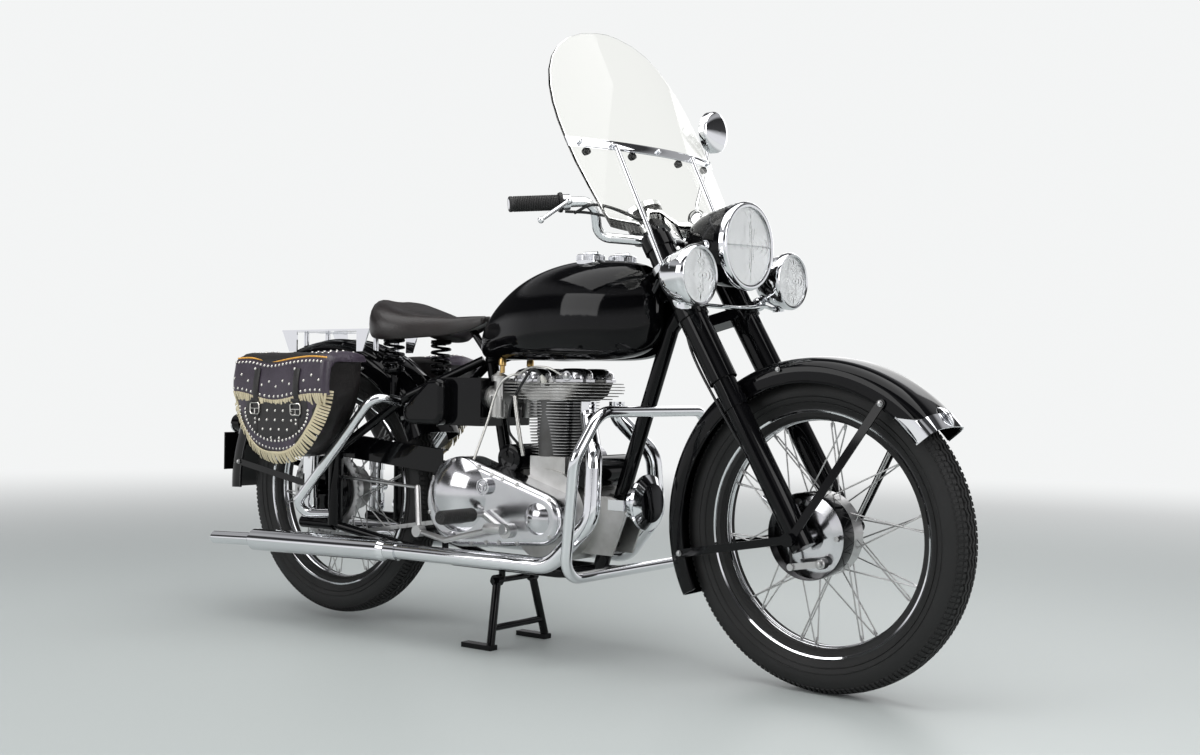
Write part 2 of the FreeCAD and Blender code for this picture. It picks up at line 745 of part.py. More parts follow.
def rim(centre):
    """A channel-section rim with a dropped well."""
    half, well = RIM_WIDTH / 2, RIM_WELL_WIDTH / 2
    upper = [(-half, RIM_RADIUS), (-half + RIM_WALL, RIM_RADIUS), (-half + RIM_WALL, RIM_SEAT),
             (-well - RIM_WALL, RIM_SEAT), (-well, RIM_WELL), (well, RIM_WELL),
             (well + RIM_WALL, RIM_SEAT), (half - RIM_WALL, RIM_SEAT), (half - RIM_WALL, RIM_RADIUS),
             (half, RIM_RADIUS)]
    lower = [(half, RIM_SEAT - RIM_WALL), (well + RIM_WALL * 2, RIM_SEAT - RIM_WALL),
             (well + RIM_WALL, RIM_WELL - RIM_WALL), (-well - RIM_WALL, RIM_WELL - RIM_WALL),
             (-well - RIM_WALL * 2, RIM_SEAT - RIM_WALL), (-half, RIM_SEAT - RIM_WALL)]
    return turned(upper + lower, centre, ACROSS)


def spokes(centre, flange_radius, flange_side):
    """Laced spokes from one hub flange to the rim's well."""
    bars = []
    toward = 1 if flange_side > 0 else -1
    reach = RIM_WELL - RIM_WALL - SEAT_GAP * 2
    for index in range(SPOKES_PER_SIDE):
        angle = FULL_TURN / SPOKES_PER_SIDE * index
        leading = 1 if index % 2 else -1
        side = flange_side + leading * SPOKE_STAGGER / 2
        rim_side = toward * SPOKE_RIM_OFFSET + leading * SPOKE_STAGGER / 2
        start = polar(centre, flange_radius, angle, side)
        end = polar(centre, reach, angle + leading * SPOKE_SWEEP_DEG / 2, rim_side)
        bars.append(rod(start, end, SPOKE_RADIUS))
    return bars


def hub(centre, drum_side, drum_out):
    """Hub with a brake drum on one side, a spoke flange on the other, and its spokes."""
    drum_middle = drum_side * (drum_out - DRUM_WIDTH / 2)
    far = -drum_side * FLANGE_SIDE
    end = far - drum_side * HUB_FLANGE_WIDTH
    barrel = rod(centre + V(0, end, 0), centre + V(0, drum_middle, 0), HUB_RADIUS)
    drum = disc(centre, DRUM_RADIUS, DRUM_WIDTH / 2, drum_middle)
    flange = disc(centre, HUB_FLANGE_RADIUS, HUB_FLANGE_WIDTH / 2, far)
    bars = spokes(centre, HUB_FLANGE_RADIUS - OVERRUN, far) + spokes(centre, DRUM_RADIUS - OVERRUN,
                                                                     drum_middle)
    return fused([barrel, drum, flange] + bars).cut(disc(centre, AXLE_RADIUS + AXLE_RUN_CLEARANCE,
                                                         DRUM_RADIUS))


def brake_plate(centre, side, drum_out, leg_face, arm_deg, arm):
    """Domed plate that closes the drum, with a boss out to the leg and its operating arm."""
    inner = drum_out + BRAKE_GAP
    bore = AXLE_RADIUS + SEAT_GAP
    out = leg_face - inner - SEAT_GAP
    profile = [(0, bore)] + [(BRAKE_PLATE_DEPTH * along, DRUM_RADIUS * wide)
                             for along, wide in BRAKE_PROFILE_SHARES]
    profile += [(BRAKE_PLATE_DEPTH, BRAKE_NOSE_RADIUS), (out, BRAKE_NOSE_RADIUS), (out, bore)]
    plate = turned(profile, centre + V(0, side * inner, 0), ACROSS * side)
    pivot = polar(centre, BRAKE_PIVOT_RADIUS, arm_deg, side * (inner + BRAKE_PLATE_DEPTH / 2))
    knee = pivot + V(0, side * BRAKE_PLATE_DEPTH, 0)
    return fused([plate, rod(pivot, knee, BRAKE_ARM_RADIUS), Part.makeSphere(BRAKE_ARM_RADIUS, knee),
                  rod(knee, knee + arm, BRAKE_ARM_RADIUS)])


def guard_shell(centre, radius, skirt, half, start_deg, end_deg):
    """A mudguard: a rounded U section swept round the axle."""
    outer = [(half * wide, radius - half * drop) for wide, drop in GUARD_SECTION_SHARES]
    inner_half, inner_radius = half - GUARD_WALL, radius - GUARD_WALL
    inner = [(inner_half * wide, inner_radius - inner_half * drop) for wide, drop in GUARD_SECTION_SHARES]
    right_out = [(-side, out) for side, out in outer]
    left_out = list(reversed(outer[:-1]))
    left_in = inner
    right_in = [(-side, out) for side, out in reversed(inner[:-1])]
    loop = [(-half, skirt)] + right_out + left_out + [(half, skirt), (inner_half, skirt)]
    loop += left_in + right_in + [(-inner_half, skirt)]
    face = outline_face([centre + V(0, side, out) for side, out in loop])
    face.rotate(centre, ACROSS, QUARTER_TURN - start_deg)
    return face.revolve(centre, ACROSS, start_deg - end_deg)


def front_mudguard():
    """Guard with its stays from the axle's ends and a pad on each fork leg."""
    shapes = [guard_shell(FRONT_AXLE, GUARD_RADIUS, GUARD_SKIRT, GUARD_HALF_WIDTH, GUARD_FRONT_DEG,
                          GUARD_REAR_DEG)]
    leg_out = FORK_HALF_SPACING + SLIDER_RADIUS + SEAT_GAP
    edge = GUARD_HALF_WIDTH - GUARD_WALL / 2
    for side in (-1, 1):
        eye = side * (leg_out + STAY_PLATE)
        shapes.append(disc(FRONT_AXLE, STAY_EYE_RADIUS, STAY_PLATE, eye))
        for angle in (STAY_FRONT_DEG, STAY_REAR_DEG):
            far = polar(FRONT_AXLE, GUARD_SKIRT + STAY_PLATE * 2, angle, side * edge)
            shapes.append(rod(FRONT_AXLE + V(0, eye + side, 0), far, STAY_PLATE))
        pad = fork_point(GUARD_PAD_HEIGHT, 0)
        shapes.append(rod(pad + V(0, side * edge, 0),
                          pad + V(0, side * (FORK_HALF_SPACING - SLIDER_RADIUS - SEAT_GAP), 0),
                          GUARD_PAD_RADIUS))
    return fused(shapes).cut(disc(FRONT_AXLE, AXLE_RADIUS + SEAT_GAP, leg_out * 2))


def shroud_envelope(side, grow):
    """The outside of a fork leg's upper cover, grown by a clearance."""
    reach = side * FORK_HALF_SPACING
    return rod(fork_point(SHROUD_LOW, reach), fork_point(SHROUD_TOP, reach), SHROUD_RADIUS + grow)


def fork_legs():
    """Both telescopic legs with their top nuts, joined by the wheel's axle."""
    shapes = []
    for side in (-1, 1):
        reach = side * FORK_HALF_SPACING
        steps = [(TYRE_RADIUS - FORK_END_DROP, SHROUD_LOW + OVERRUN, SLIDER_RADIUS),
                 (COLLAR_LOW, COLLAR_LOW + COLLAR_HEIGHT, COLLAR_RADIUS),
                 (SHROUD_LOW, SHROUD_TOP, SHROUD_RADIUS),
                 (SHROUD_TOP, SHROUD_TOP + FORK_NUT_HEIGHT, FORK_NUT_RADIUS)]
        shapes += [rod(fork_point(low, reach), fork_point(top, reach), radius) for low, top, radius in steps]
        leg_out = FORK_HALF_SPACING + SLIDER_RADIUS
        nut = leg_out + STAY_PLATE * 2 + SEAT_GAP * 2
        shapes.append(rod(FRONT_AXLE + V(0, side * nut, 0), FRONT_AXLE + V(0,
                                                                           side * (nut + AXLE_NUT_LENGTH), 0),
                          AXLE_NUT_RADIUS))
    shapes.append(disc(FRONT_AXLE, AXLE_RADIUS, nut + OVERRUN))
    spacer_start = FLANGE_SIDE + HUB_FLANGE_WIDTH + BRAKE_GAP
    shapes.append(rod(FRONT_AXLE + V(0, spacer_start, 0), FRONT_AXLE + V(0, FORK_HALF_SPACING, 0),
                      AXLE_NUT_RADIUS))
    return fused(shapes)


def yoke_boss(height, side, grow=0.0):
    """The boss of a yoke round a fork leg, grown by a clearance."""
    lift = FORK_UP * (YOKE_THICKNESS / 2 + grow)
    leg = stem_point(height) + FORK_AHEAD * FORK_OFFSET + V(0, side * FORK_HALF_SPACING, 0)
    return rod(leg - lift, leg + lift, SHROUD_RADIUS + YOKE_WALL + grow)


def yoke(height):
    """A bridge, square to the stem, that holds both legs."""
    lift = FORK_UP * (YOKE_THICKNESS / 2)
    stem = stem_point(height)
    shapes = [rod(stem - lift, stem + lift, HEAD_TUBE_RADIUS)]
    for side in (-1, 1):
        leg = stem + FORK_AHEAD * FORK_OFFSET + V(0, side * FORK_HALF_SPACING, 0)
        shapes.append(yoke_boss(height, side))
        square = (leg - stem).cross(FORK_UP)
        square.normalize()
        square = square * (HEAD_TUBE_RADIUS - OVERRUN)
        low, run = stem - lift, leg - stem
        face = outline_face([low + square, low + run + square, low + run - square, low - square])
        shapes.append(face.extrude(lift * 2))
    return fused(shapes)


def fork_yokes():
    stem = rod(stem_point(YOKE_LOW), stem_point(YOKE_TOP) + FORK_UP * YOKE_THICKNESS, STEM_RADIUS)
    body = fused([yoke(YOKE_LOW), yoke(YOKE_TOP), stem])
    for side in (-1, 1):
        body = body.cut(shroud_envelope(side, SEAT_GAP))
    return body


def lamp(lens, radius, depth, rim_width):
    """A round lamp facing forward: bowl, rim and slightly crowned lens."""
    deep = depth - rim_width
    profile = [(rim_width / 2, 0), (0, radius * LENS_EDGE_SHARE), (0, radius), (-rim_width, radius)]
    for index in range(LAMP_BANDS + 1):
        angle = math.pi / 2 * index / LAMP_BANDS
        profile.append((-rim_width - deep * math.sin(angle), radius * BOWL_SHARE * math.cos(angle)))
    profile[-1] = (-depth, 0)
    return turned(profile, lens, FORWARD)


def headlamp():
    """Headlamp with an ear to each fork leg."""
    lens = place(HEADLAMP_BACK, 0, HEADLAMP_HEIGHT)
    shapes = [lamp(lens, HEADLAMP_RADIUS, HEADLAMP_DEPTH, HEADLAMP_RIM)]
    height = HEADLAMP_HEIGHT + LAMP_EAR_RISE
    for side in (-1, 1):
        root = place(HEADLAMP_BACK + HEADLAMP_DEPTH / 2, side * HEADLAMP_RADIUS / 2, height)
        shapes.append(rod(root, fork_point(height, side * FORK_HALF_SPACING), LAMP_EAR_RADIUS))
    body = fused(shapes)
    for side in (-1, 1):
        body = body.cut(shroud_envelope(side, SEAT_GAP))
    return body


def fog_lamps():
    """Two lamps standing on a bar that is clamped to the fork legs."""
    shapes = [rod(place(LAMP_BAR_BACK, -FOG_HALF_SPACING, LAMP_BAR_HEIGHT),
                  place(LAMP_BAR_BACK, FOG_HALF_SPACING, LAMP_BAR_HEIGHT), LAMP_BAR_RADIUS)]
    for side in (-1, 1):
        foot = place(LAMP_BAR_BACK, side * FOG_HALF_SPACING, LAMP_BAR_HEIGHT)
        shapes.append(lamp(place(FOG_BACK, side * FOG_HALF_SPACING, FOG_HEIGHT), FOG_RADIUS, FOG_DEPTH,
                           FOG_RIM))
        shapes.append(rod(foot - UP * LAMP_EAR_RADIUS, foot + UP * (FOG_RADIUS / 2), LAMP_EAR_RADIUS))
        shapes.append(rod(place(LAMP_BAR_BACK, side * FORK_HALF_SPACING, LAMP_BAR_HEIGHT),
                          fork_point(LAMP_BAR_HEIGHT, side * FORK_HALF_SPACING), LAMP_EAR_RADIUS))
    body = fused(shapes)
    for side in (-1, 1):
        body = body.cut(shroud_envelope(side, SEAT_GAP)).cut(yoke_boss(YOKE_LOW, side, SEAT_GAP))
    return body


def bar_points(side):
    return [place(BAR_KNEE_BACK, side * BAR_KNEE_HALF, BAR_KNEE_HEIGHT),
            place(BAR_SHOULDER_BACK, side * BAR_SHOULDER_HALF, BAR_SHOULDER_HEIGHT),
            place(BAR_END_BACK, side * BAR_END_HALF, BAR_END_HEIGHT)]


def bar_run(side):
    """The handlebar's end and the direction of its straight run outwards."""
    shoulder, end = bar_points(side)[1:]
    run = end - shoulder
    run.normalize()
    return end, run


def handlebar():
    """Bar in two clamps on the upper yoke."""
    middle = [place(BAR_CENTRE_BACK, side * BAR_CENTRE_HALF, BAR_CENTRE_HEIGHT) for side in (-1, 1)]
    shapes = [bent_rod(list(reversed(bar_points(-1))) + middle + bar_points(1), BAR_BEND, BAR_RADIUS)]
    yoke_top = stem_point(YOKE_TOP) + FORK_UP * (YOKE_THICKNESS / 2)
    for side in (-1, 1):
        seat = place(BAR_CENTRE_BACK, side * BAR_CLAMP_HALF_SPACING, BAR_CENTRE_HEIGHT)
        drop = (seat - yoke_top).dot(FORK_UP)
        shapes.append(rod(seat - FORK_UP * drop, seat, BAR_POST_RADIUS))
        shapes.append(disc(seat, BAR_CLAMP_RADIUS, BAR_CLAMP_HALF))
    return fused(shapes)


def grips():
    shapes = []
    for side in (-1, 1):
        end, run = bar_run(side)
        inner = end - run * GRIP_LENGTH
        grip = rod(inner, end + run * GRIP_FLANGE_LENGTH, GRIP_RADIUS)
        flange = rod(inner, inner + run * GRIP_FLANGE_LENGTH, GRIP_FLANGE_RADIUS)
        shapes.append(fused([grip, flange]).cut(rod(inner - run, end + run * SEAT_GAP,
                                                    BAR_RADIUS + SEAT_GAP)))
    return group(shapes)


def control_levers():
    """Clutch and brake levers on their clamps."""
    shapes = []
    for side in (-1, 1):
        end, run = bar_run(side)
        start = end - run * (GRIP_LENGTH + SEAT_GAP * 2 + LEVER_CLAMP_LENGTH)
        stop = start + run * LEVER_CLAMP_LENGTH
        middle = between(start, stop, HALF_SHARE)
        square = V(run.y, -run.x, 0) * side
        perch = middle + square * LEVER_REACH
        tip = perch + V(-LEVER_BACK, side * LEVER_OUT, -LEVER_DROP)
        body = fused([rod(start, stop, LEVER_CLAMP_RADIUS), rod(middle, perch, LEVER_CLAMP_RADIUS / 2),
                      Part.makeSphere(LEVER_CLAMP_RADIUS / 2, perch), rod(perch, tip, LEVER_RADIUS),
                      Part.makeSphere(LEVER_BALL_RADIUS, tip)])
        shapes.append(body.cut(rod(start - run * OVERRUN, stop + run * OVERRUN, BAR_RADIUS + SEAT_GAP)))
    return group(shapes)


def mirror_glass():
    """Round mirror on a stem from the left end of the bar."""
    end, run = bar_run(1)
    start = end - run * (GRIP_LENGTH + SEAT_GAP * 4 + LEVER_CLAMP_LENGTH + MIRROR_CLAMP_LENGTH)
    stop = start + run * MIRROR_CLAMP_LENGTH
    head = place(MIRROR_BACK, MIRROR_HALF, MIRROR_HEIGHT)
    root = between(start, stop, HALF_SHARE)
    route = [root, root + UP * MIRROR_CLAMP_RADIUS * 2, place(MIRROR_KNEE_BACK, MIRROR_KNEE_HALF,
                                                              MIRROR_KNEE_HEIGHT), head]
    body = fused([rod(start, stop, MIRROR_CLAMP_RADIUS), bent_rod(route, MIRROR_CLAMP_RADIUS,
                                                                  MIRROR_STEM_RADIUS),
                  rod(head + FORWARD * MIRROR_DEPTH, head, MIRROR_RADIUS)])
    return body.cut(rod(start - run * OVERRUN, stop + run * OVERRUN, BAR_RADIUS + SEAT_GAP))


def speedometer():
    """Round instrument on a post above the stem."""
    base = stem_point(SPEEDO_HEIGHT)
    stem_top = stem_point(YOKE_TOP) + FORK_UP * YOKE_THICKNESS
    return fused([rod(base, base + FORK_UP * SPEEDO_DEPTH, SPEEDO_RADIUS), rod(stem_top, base,
                                                                               SPEEDO_POST_RADIUS)])


def screen_back(height, side):
    """Distance behind the front axle of the screen's front face."""
    bow = SCREEN_SWEEP_RADIUS - math.sqrt(SCREEN_SWEEP_RADIUS ** 2 - side ** 2)
    return SCREEN_LOW_BACK + (height - SCREEN_LOW_HEIGHT) * math.tan(math.radians(SCREEN_LEAN_DEG)) + bow


def screen_strip(height, half, front, rear):
    """A curved strip at one height, between two distances ahead of the screen's front face."""
    centre = place(screen_back(height, 0) + SCREEN_SWEEP_RADIUS, 0, height)
    angle = math.asin(half / SCREEN_SWEEP_RADIUS)
    arcs = [[centre + V(math.cos(a) * r, math.sin(a) * r, 0) for a in (-angle, 0, angle)]
            for r in (SCREEN_SWEEP_RADIUS + front, SCREEN_SWEEP_RADIUS + rear)]
    outer, inner = [Part.Arc(*points).toShape() for points in arcs]
    left = Part.LineSegment(arcs[0][2], arcs[1][2]).toShape()
    right = Part.LineSegment(arcs[1][0], arcs[0][0]).toShape()
    return Part.Wire([outer, left, inner, right])


def windscreen():
    """A bent sheet, cut to a rounded outline, with a notch over each fork leg."""
    top = SCREEN_LOW_HEIGHT + SCREEN_HEIGHT
    sheet = Part.makeLoft([screen_strip(height, SCREEN_HALF_WIDTH, 0, -SCREEN_THICKNESS)
                           for height in (SCREEN_LOW_HEIGHT, top)], True, True)
    right = [V(0, -SCREEN_HALF_WIDTH * wide, SCREEN_LOW_HEIGHT + SCREEN_HEIGHT * up)
             for up, wide in SCREEN_OUTLINE_SHARES]
    left = [V(0, -point.y, point.z) for point in reversed(right)]
    curve = Part.BSplineCurve()
    curve.interpolate(right + [V(0, 0, top)] + left)
    face = Part.Face(Part.Wire([curve.toShape(), Part.LineSegment(left[-1], right[0]).toShape()]))
    sheet = sheet.common(moved(face, V(-top, 0, 0)).extrude(V(top * 2, 0, 0)))
    for side in (-1, 1):
        leg = side * FORK_HALF_SPACING
        room = SHROUD_RADIUS + YOKE_WALL + SCREEN_NOTCH_CLEARANCE
        leg_top = fork_point(SHROUD_TOP + FORK_NUT_HEIGHT * 2, leg)
        sheet = sheet.cut(rod(fork_point(SHROUD_LOW, leg), leg_top, room))
    for step in (-SEAT_GAP, SEAT_GAP):
        sheet = sheet.cut(moved(yoke(YOKE_TOP), V(step, 0, 0))).cut(moved(headlamp(), V(step, 0, 0)))
    return sheet


def screen_frame():
    """Band across the screen's front and the two struts that stand on the fork legs."""
    low = SCREEN_LOW_HEIGHT + BAND_ABOVE_LOW
    shapes = [Part.makeLoft([screen_strip(height, SCREEN_HALF_WIDTH, SEAT_GAP + BAND_THICKNESS, SEAT_GAP)
                             for height in (low, low + BAND_HEIGHT)], True, True)]
    half = FORK_HALF_SPACING + SHROUD_RADIUS + YOKE_WALL + STRUT_RADIUS + SEAT_GAP
    foot_height = SHROUD_TOP - STRUT_CLAMP_BELOW
    sheet = windscreen()
    for side in (-1, 1):
        head_height = low + BAND_HEIGHT / 2
        head = place(screen_back(head_height, half) - SEAT_GAP - STRUT_RADIUS / math.cos(RAKE), side * half,
                     head_height)
        strut = rod(fork_point(foot_height, side * half, STRUT_RADIUS * 2), head, STRUT_RADIUS)
        for step in (BAND_THICKNESS / 2, -SEAT_GAP):
            strut = strut.cut(moved(sheet, V(step, 0, 0)))
        shapes.append(max(strut.Solids, key=lambda solid: solid.Volume))
        leg = side * FORK_HALF_SPACING
        shapes.append(rod(fork_point(foot_height, leg), fork_point(foot_height + STRUT_CLAMP_HEIGHT, leg),
                          SHROUD_RADIUS + YOKE_WALL + STRUT_RADIUS / 2))
    body = fused(shapes)
    for side in (-1, 1):
        body = body.cut(shroud_envelope(side, SEAT_GAP))
    return body


def down_tube_point(height):
    """A point on the centre line of the down tube at a height."""
    return between(HEAD_LUG, DOWN_TUBE_FOOT, (HEAD_LUG.z - height) / (HEAD_LUG.z - DOWN_TUBE_FOOT.z))


def down_tube_envelope(grow):
    """The outside of the down tube, grown by a clearance."""
    return rod(HEAD_LUG, DOWN_TUBE_FOOT, DOWN_TUBE_RADIUS + grow)


STAY_KNEE = polar(REAR_AXLE, REAR_GUARD_RADIUS + SEAT_GAP + STAY_RADIUS, STAY_KNEE_DEG)
UPRIGHT_BACK = WHEELBASE - UPRIGHT_AHEAD
CRADLE_REAR = GEARBOX_REAR - CRADLE_SHORT
STAND_PIVOT = place(CASE_BACK + STAND_BEHIND_CASE, 0, STAND_PIVOT_HEIGHT)
PEDAL_PIVOT = place(GEARBOX_REAR + PEDAL_BEHIND_GEARBOX, 0, CRADLE_HEIGHT + PEDAL_PIVOT_ABOVE)


def upright(side, grow=0.0):
    """The tube that carries a plunger unit, grown by a clearance."""
    column = V(-UPRIGHT_BACK, side * PLUNGER_HALF, 0)
    return rod(column + UP * (REAR_AXLE.z - PLUNGER_LOW), column + UP * (REAR_AXLE.z + PLUNGER_TOP),
               UPRIGHT_RADIUS + grow)


def seat_stay(side, grow=0.0):
    """The tube from the seat lug over the mudguard's side to the upright, grown by a clearance."""
    knee = V(STAY_KNEE.x, side * STAY_KNEE_HALF, STAY_KNEE.z)
    rear = place(UPRIGHT_BACK, side * PLUNGER_HALF, REAR_AXLE.z + PLUNGER_TOP - UPRIGHT_RADIUS)
    start = SEAT_LUG + V(-SEAT_TUBE_RADIUS, side * SEAT_TUBE_RADIUS, 0)
    return fused([rod(start, knee, STAY_RADIUS + grow), rod(knee, rear, STAY_RADIUS + grow),
                  Part.makeSphere(STAY_RADIUS + grow, knee)])


def plunger_rods(side, grow=0.0):
    """The two guide rods of a plunger unit, above and below the axle."""
    column = V(REAR_AXLE.x, side * PLUNGER_HALF, REAR_AXLE.z)
    clear = UP * (AXLE_RADIUS + OVERRUN - grow)
    return [rod(column + clear, column + UP * PLUNGER_TOP, PLUNGER_ROD_RADIUS + grow),
            rod(column - UP * PLUNGER_LOW, column - clear, PLUNGER_ROD_RADIUS + grow)]


def frame_rear(side):
    """One side of the frame's rear: cradle, stays, upright, plunger lugs and rods."""
    half = side * CRADLE_HALF
    rear = place(CRADLE_REAR, half, CRADLE_HEIGHT)
    cradle = [DOWN_TUBE_FOOT, DOWN_TUBE_FOOT + V(-CRADLE_BEND, half, CRADLE_HEIGHT - DOWN_TUBE_FOOT.z), rear]
    lower = place(UPRIGHT_BACK, side * PLUNGER_HALF, REAR_AXLE.z - PLUNGER_LOW)
    shapes = [bent_rod(cradle, CRADLE_BEND, CRADLE_RADIUS), Part.makeSphere(CRADLE_RADIUS, rear),
              rod(rear, lower, STAY_RADIUS), seat_stay(side), upright(side)]
    shapes += plunger_rods(side)
    for level in (REAR_AXLE.z + PLUNGER_TOP - PLUNGER_LUG_RADIUS, REAR_AXLE.z - PLUNGER_LOW):
        start = place(UPRIGHT_BACK, side * PLUNGER_HALF, level)
        shapes.append(rod(start, place(WHEELBASE + PLUNGER_LUG_REACH, side * PLUNGER_HALF, level),
                          PLUNGER_LUG_RADIUS))
    hanger_back = GEARBOX_REAR + HANGER_BEHIND_GEARBOX
    along = (hanger_back - CRADLE_REAR) / (UPRIGHT_BACK - CRADLE_REAR)
    hanger = between(rear, lower, along)
    end = SILENCER_HALF - SILENCER_RADIUS - SEAT_GAP
    shapes.append(rod(hanger, V(hanger.x, side * end, hanger.z), HANGER_ROD_RADIUS))
    eye_side = STAND_HALF_TOP - STAND_EYE_WIDTH / 2 - STAND_EYE_CLEARANCE * 2 - STAND_HANGER_RADIUS
    eye = V(STAND_PIVOT.x, side * eye_side, 0)
    shapes.append(rod(eye + UP * STAND_PIVOT_HEIGHT, eye + UP * CRADLE_HEIGHT, STAND_HANGER_RADIUS))
    shapes.append(rod(eye + UP * CRADLE_HEIGHT, V(eye.x, half, CRADLE_HEIGHT), STAND_HANGER_RADIUS))
    return shapes


def saddle_post(grow=0.0):
    """The strut from the seat lug up to the saddle, grown by a clearance."""
    seat = place(SADDLE_FRONT + SADDLE_LENGTH * SADDLE_POST_SHARE, 0, SADDLE_HIGH - SADDLE_DEPTH / 2)
    return rod(SEAT_LUG, seat, SADDLE_POST_RADIUS + grow)


def main_frame():
    """Steering head, backbone, down tube, cradle, seat tubes and plunger carriers."""
    middle = between(HEAD_LOW, HEAD_HIGH, BACKBONE_SHARE)
    lower = between(HEAD_LOW, HEAD_HIGH, DOWN_TUBE_SHARE)
    seat_foot = place(-SEAT_LUG.x - SEAT_TUBE_FOOT_AHEAD, 0, GEARBOX_TOP)
    slope = seat_foot - SEAT_LUG
    post = saddle_post().cut(moved(saddle(), UP * -SEAT_GAP))
    seat_tube = rod(SEAT_LUG, seat_foot + slope * SEAT_TUBE_FOOT_SHARE, SEAT_TUBE_RADIUS)
    under = block(-seat_foot.x - SEAT_TUBE_RADIUS * 4, SEAT_TUBE_RADIUS * 8, SEAT_TUBE_RADIUS * 2,
                  GEARBOX_TOP - GEARBOX_HEIGHT, GEARBOX_HEIGHT)
    shapes = [rod(HEAD_LOW, HEAD_HIGH, HEAD_TUBE_RADIUS), rod(lower, HEAD_LUG, DOWN_TUBE_RADIUS),
              Part.makeSphere(DOWN_TUBE_RADIUS, HEAD_LUG), down_tube_envelope(0),
              Part.makeSphere(DOWN_TUBE_RADIUS, DOWN_TUBE_FOOT), rod(middle, SEAT_LUG, BACKBONE_RADIUS),
              Part.makeSphere(BACKBONE_RADIUS, SEAT_LUG), seat_tube.cut(under),
              max(post.Solids, key=lambda solid: solid.Volume)]
    for side in (-1, 1):
        shapes += frame_rear(side)
    knee = V(0, STAY_KNEE_HALF, 0)
    shapes.append(rod(STAY_KNEE - knee, STAY_KNEE + knee, STAY_RADIUS))
    for rise in (PLATE_TOP - PLATE_LUG_RADIUS * 2, PLATE_LUG_RADIUS * 2 - CASE_RADIUS * PLATE_LOW_SHARE):
        shapes.append(disc(down_tube_point(CASE_HEIGHT + rise), PLATE_LUG_RADIUS, PLATE_SIDE))
    stay_foot = V(PEDAL_PIVOT.x, -PEDAL_TAB_SIDE, CRADLE_HEIGHT)
    tab_top = V(PEDAL_PIVOT.x, -PEDAL_TAB_SIDE, PEDAL_PIVOT.z)
    shapes += [rod(stay_foot, tab_top, PEDAL_PIVOT_RADIUS), Part.makeSphere(PEDAL_PIVOT_RADIUS, tab_top),
               rod(tab_top, PEDAL_PIVOT - V(0, PEDAL_BOSS_SIDE, 0), PEDAL_PIVOT_RADIUS),
               disc(STAND_PIVOT, STAND_PIN_RADIUS, STAND_HALF_TOP + STAND_EYE_WIDTH)]
    bore = rod(HEAD_LOW - FORK_UP * OVERRUN, HEAD_HIGH + FORK_UP * OVERRUN, STEM_RADIUS + STEM_CLEARANCE)
    return fused(shapes).cut(bore)


def plunger_units():
    """Both sprung units at the rear axle, with their plated covers and the axle."""
    shapes = [disc(REAR_AXLE, AXLE_RADIUS, PLUNGER_HALF + PLUNGER_SLIDER_RADIUS + AXLE_NUT_LENGTH)]
    for side in (-1, 1):
        column = V(REAR_AXLE.x, side * PLUNGER_HALF, REAR_AXLE.z)
        low = column - UP * (PLUNGER_LOW - PLUNGER_LUG_RADIUS)
        top = column + UP * (PLUNGER_TOP - PLUNGER_LUG_RADIUS * 2)
        shapes += [rod(low, top, PLUNGER_SLIDER_RADIUS), rod(low, low + UP * PLUNGER_COVER_LENGTH,
                                                             PLUNGER_COVER_RADIUS),
                   rod(top - UP * PLUNGER_COVER_LENGTH, top, PLUNGER_COVER_RADIUS)]
        nut = side * (PLUNGER_HALF + PLUNGER_SLIDER_RADIUS)
        inner, outer = V(0, nut - side * OVERRUN * 2, 0), V(0, nut + side * OVERRUN * 2, 0)
        shapes.append(rod(REAR_AXLE + inner, REAR_AXLE + outer, AXLE_NUT_RADIUS))
    spacer = FLANGE_SIDE + HUB_FLANGE_WIDTH + BRAKE_GAP
    shapes.append(rod(REAR_AXLE + V(0, spacer, 0), REAR_AXLE + V(0, PLUNGER_HALF, 0), AXLE_NUT_RADIUS))
    body = fused(shapes)
    for side in (-1, 1):
        for bar in plunger_rods(side, SEAT_GAP):
            body = body.cut(bar)
    return body


def fin_block(front, length, width, low, tall, inset, fins):
    """A solid core with level cooling fins round it."""
    shapes = [block(front + inset, length - inset * 2, width / 2 - inset, low, tall)]
    pitch = (tall - FIN_THICKNESS) / (fins - 1)
    for index in range(fins):
        shapes.append(block(front, length, width / 2, low + pitch * index, FIN_THICKNESS))
    return shapes


def barrels():
    """Finned barrel block of the two upright cylinders."""
    return fused(fin_block(ENGINE_BACK - BARREL_LENGTH / 2, BARREL_LENGTH, BARREL_WIDTH, BARREL_LOW,
                           BARREL_HEIGHT,
                           BARREL_INSET, BARREL_FINS))


def heads():
    """Finned cylinder heads with four rounded rocker boxes."""
    front = ENGINE_BACK - HEAD_LENGTH / 2
    shapes = fin_block(front, HEAD_LENGTH, HEAD_WIDTH, BARREL_TOP, HEAD_HEIGHT, HEAD_INSET, HEAD_FINS)
    for start in (front + HEAD_INSET, front + HEAD_LENGTH - HEAD_INSET - ROCKER_LENGTH):
        for side in (-1, 1):
            box = block(start, ROCKER_LENGTH, ROCKER_WIDTH / 2, HEAD_TOP - OVERRUN, ROCKER_HEIGHT + OVERRUN,
                        side * ROCKER_HALF_SPACING)
            edges = [edge for edge in box.Edges if edge.CenterOfMass.z > HEAD_TOP]
            shapes.append(box.makeFillet(ROCKER_ROUND, edges))
    return fused(shapes)


MAGNETO = place(CASE_BACK + MAGNETO_BEHIND_CASE, 0, CASE_HEIGHT + MAGNETO_ABOVE_CASE)
DYNAMO = polar(CASE, CASE_RADIUS + DYNAMO_RADIUS + SEAT_GAP, DYNAMO_DEG)
FRONT_SPROCKET = place(GEARBOX_BACK - FRONT_SPROCKET_AHEAD, 0, GEARBOX_MIDDLE + FRONT_SPROCKET_RISE)


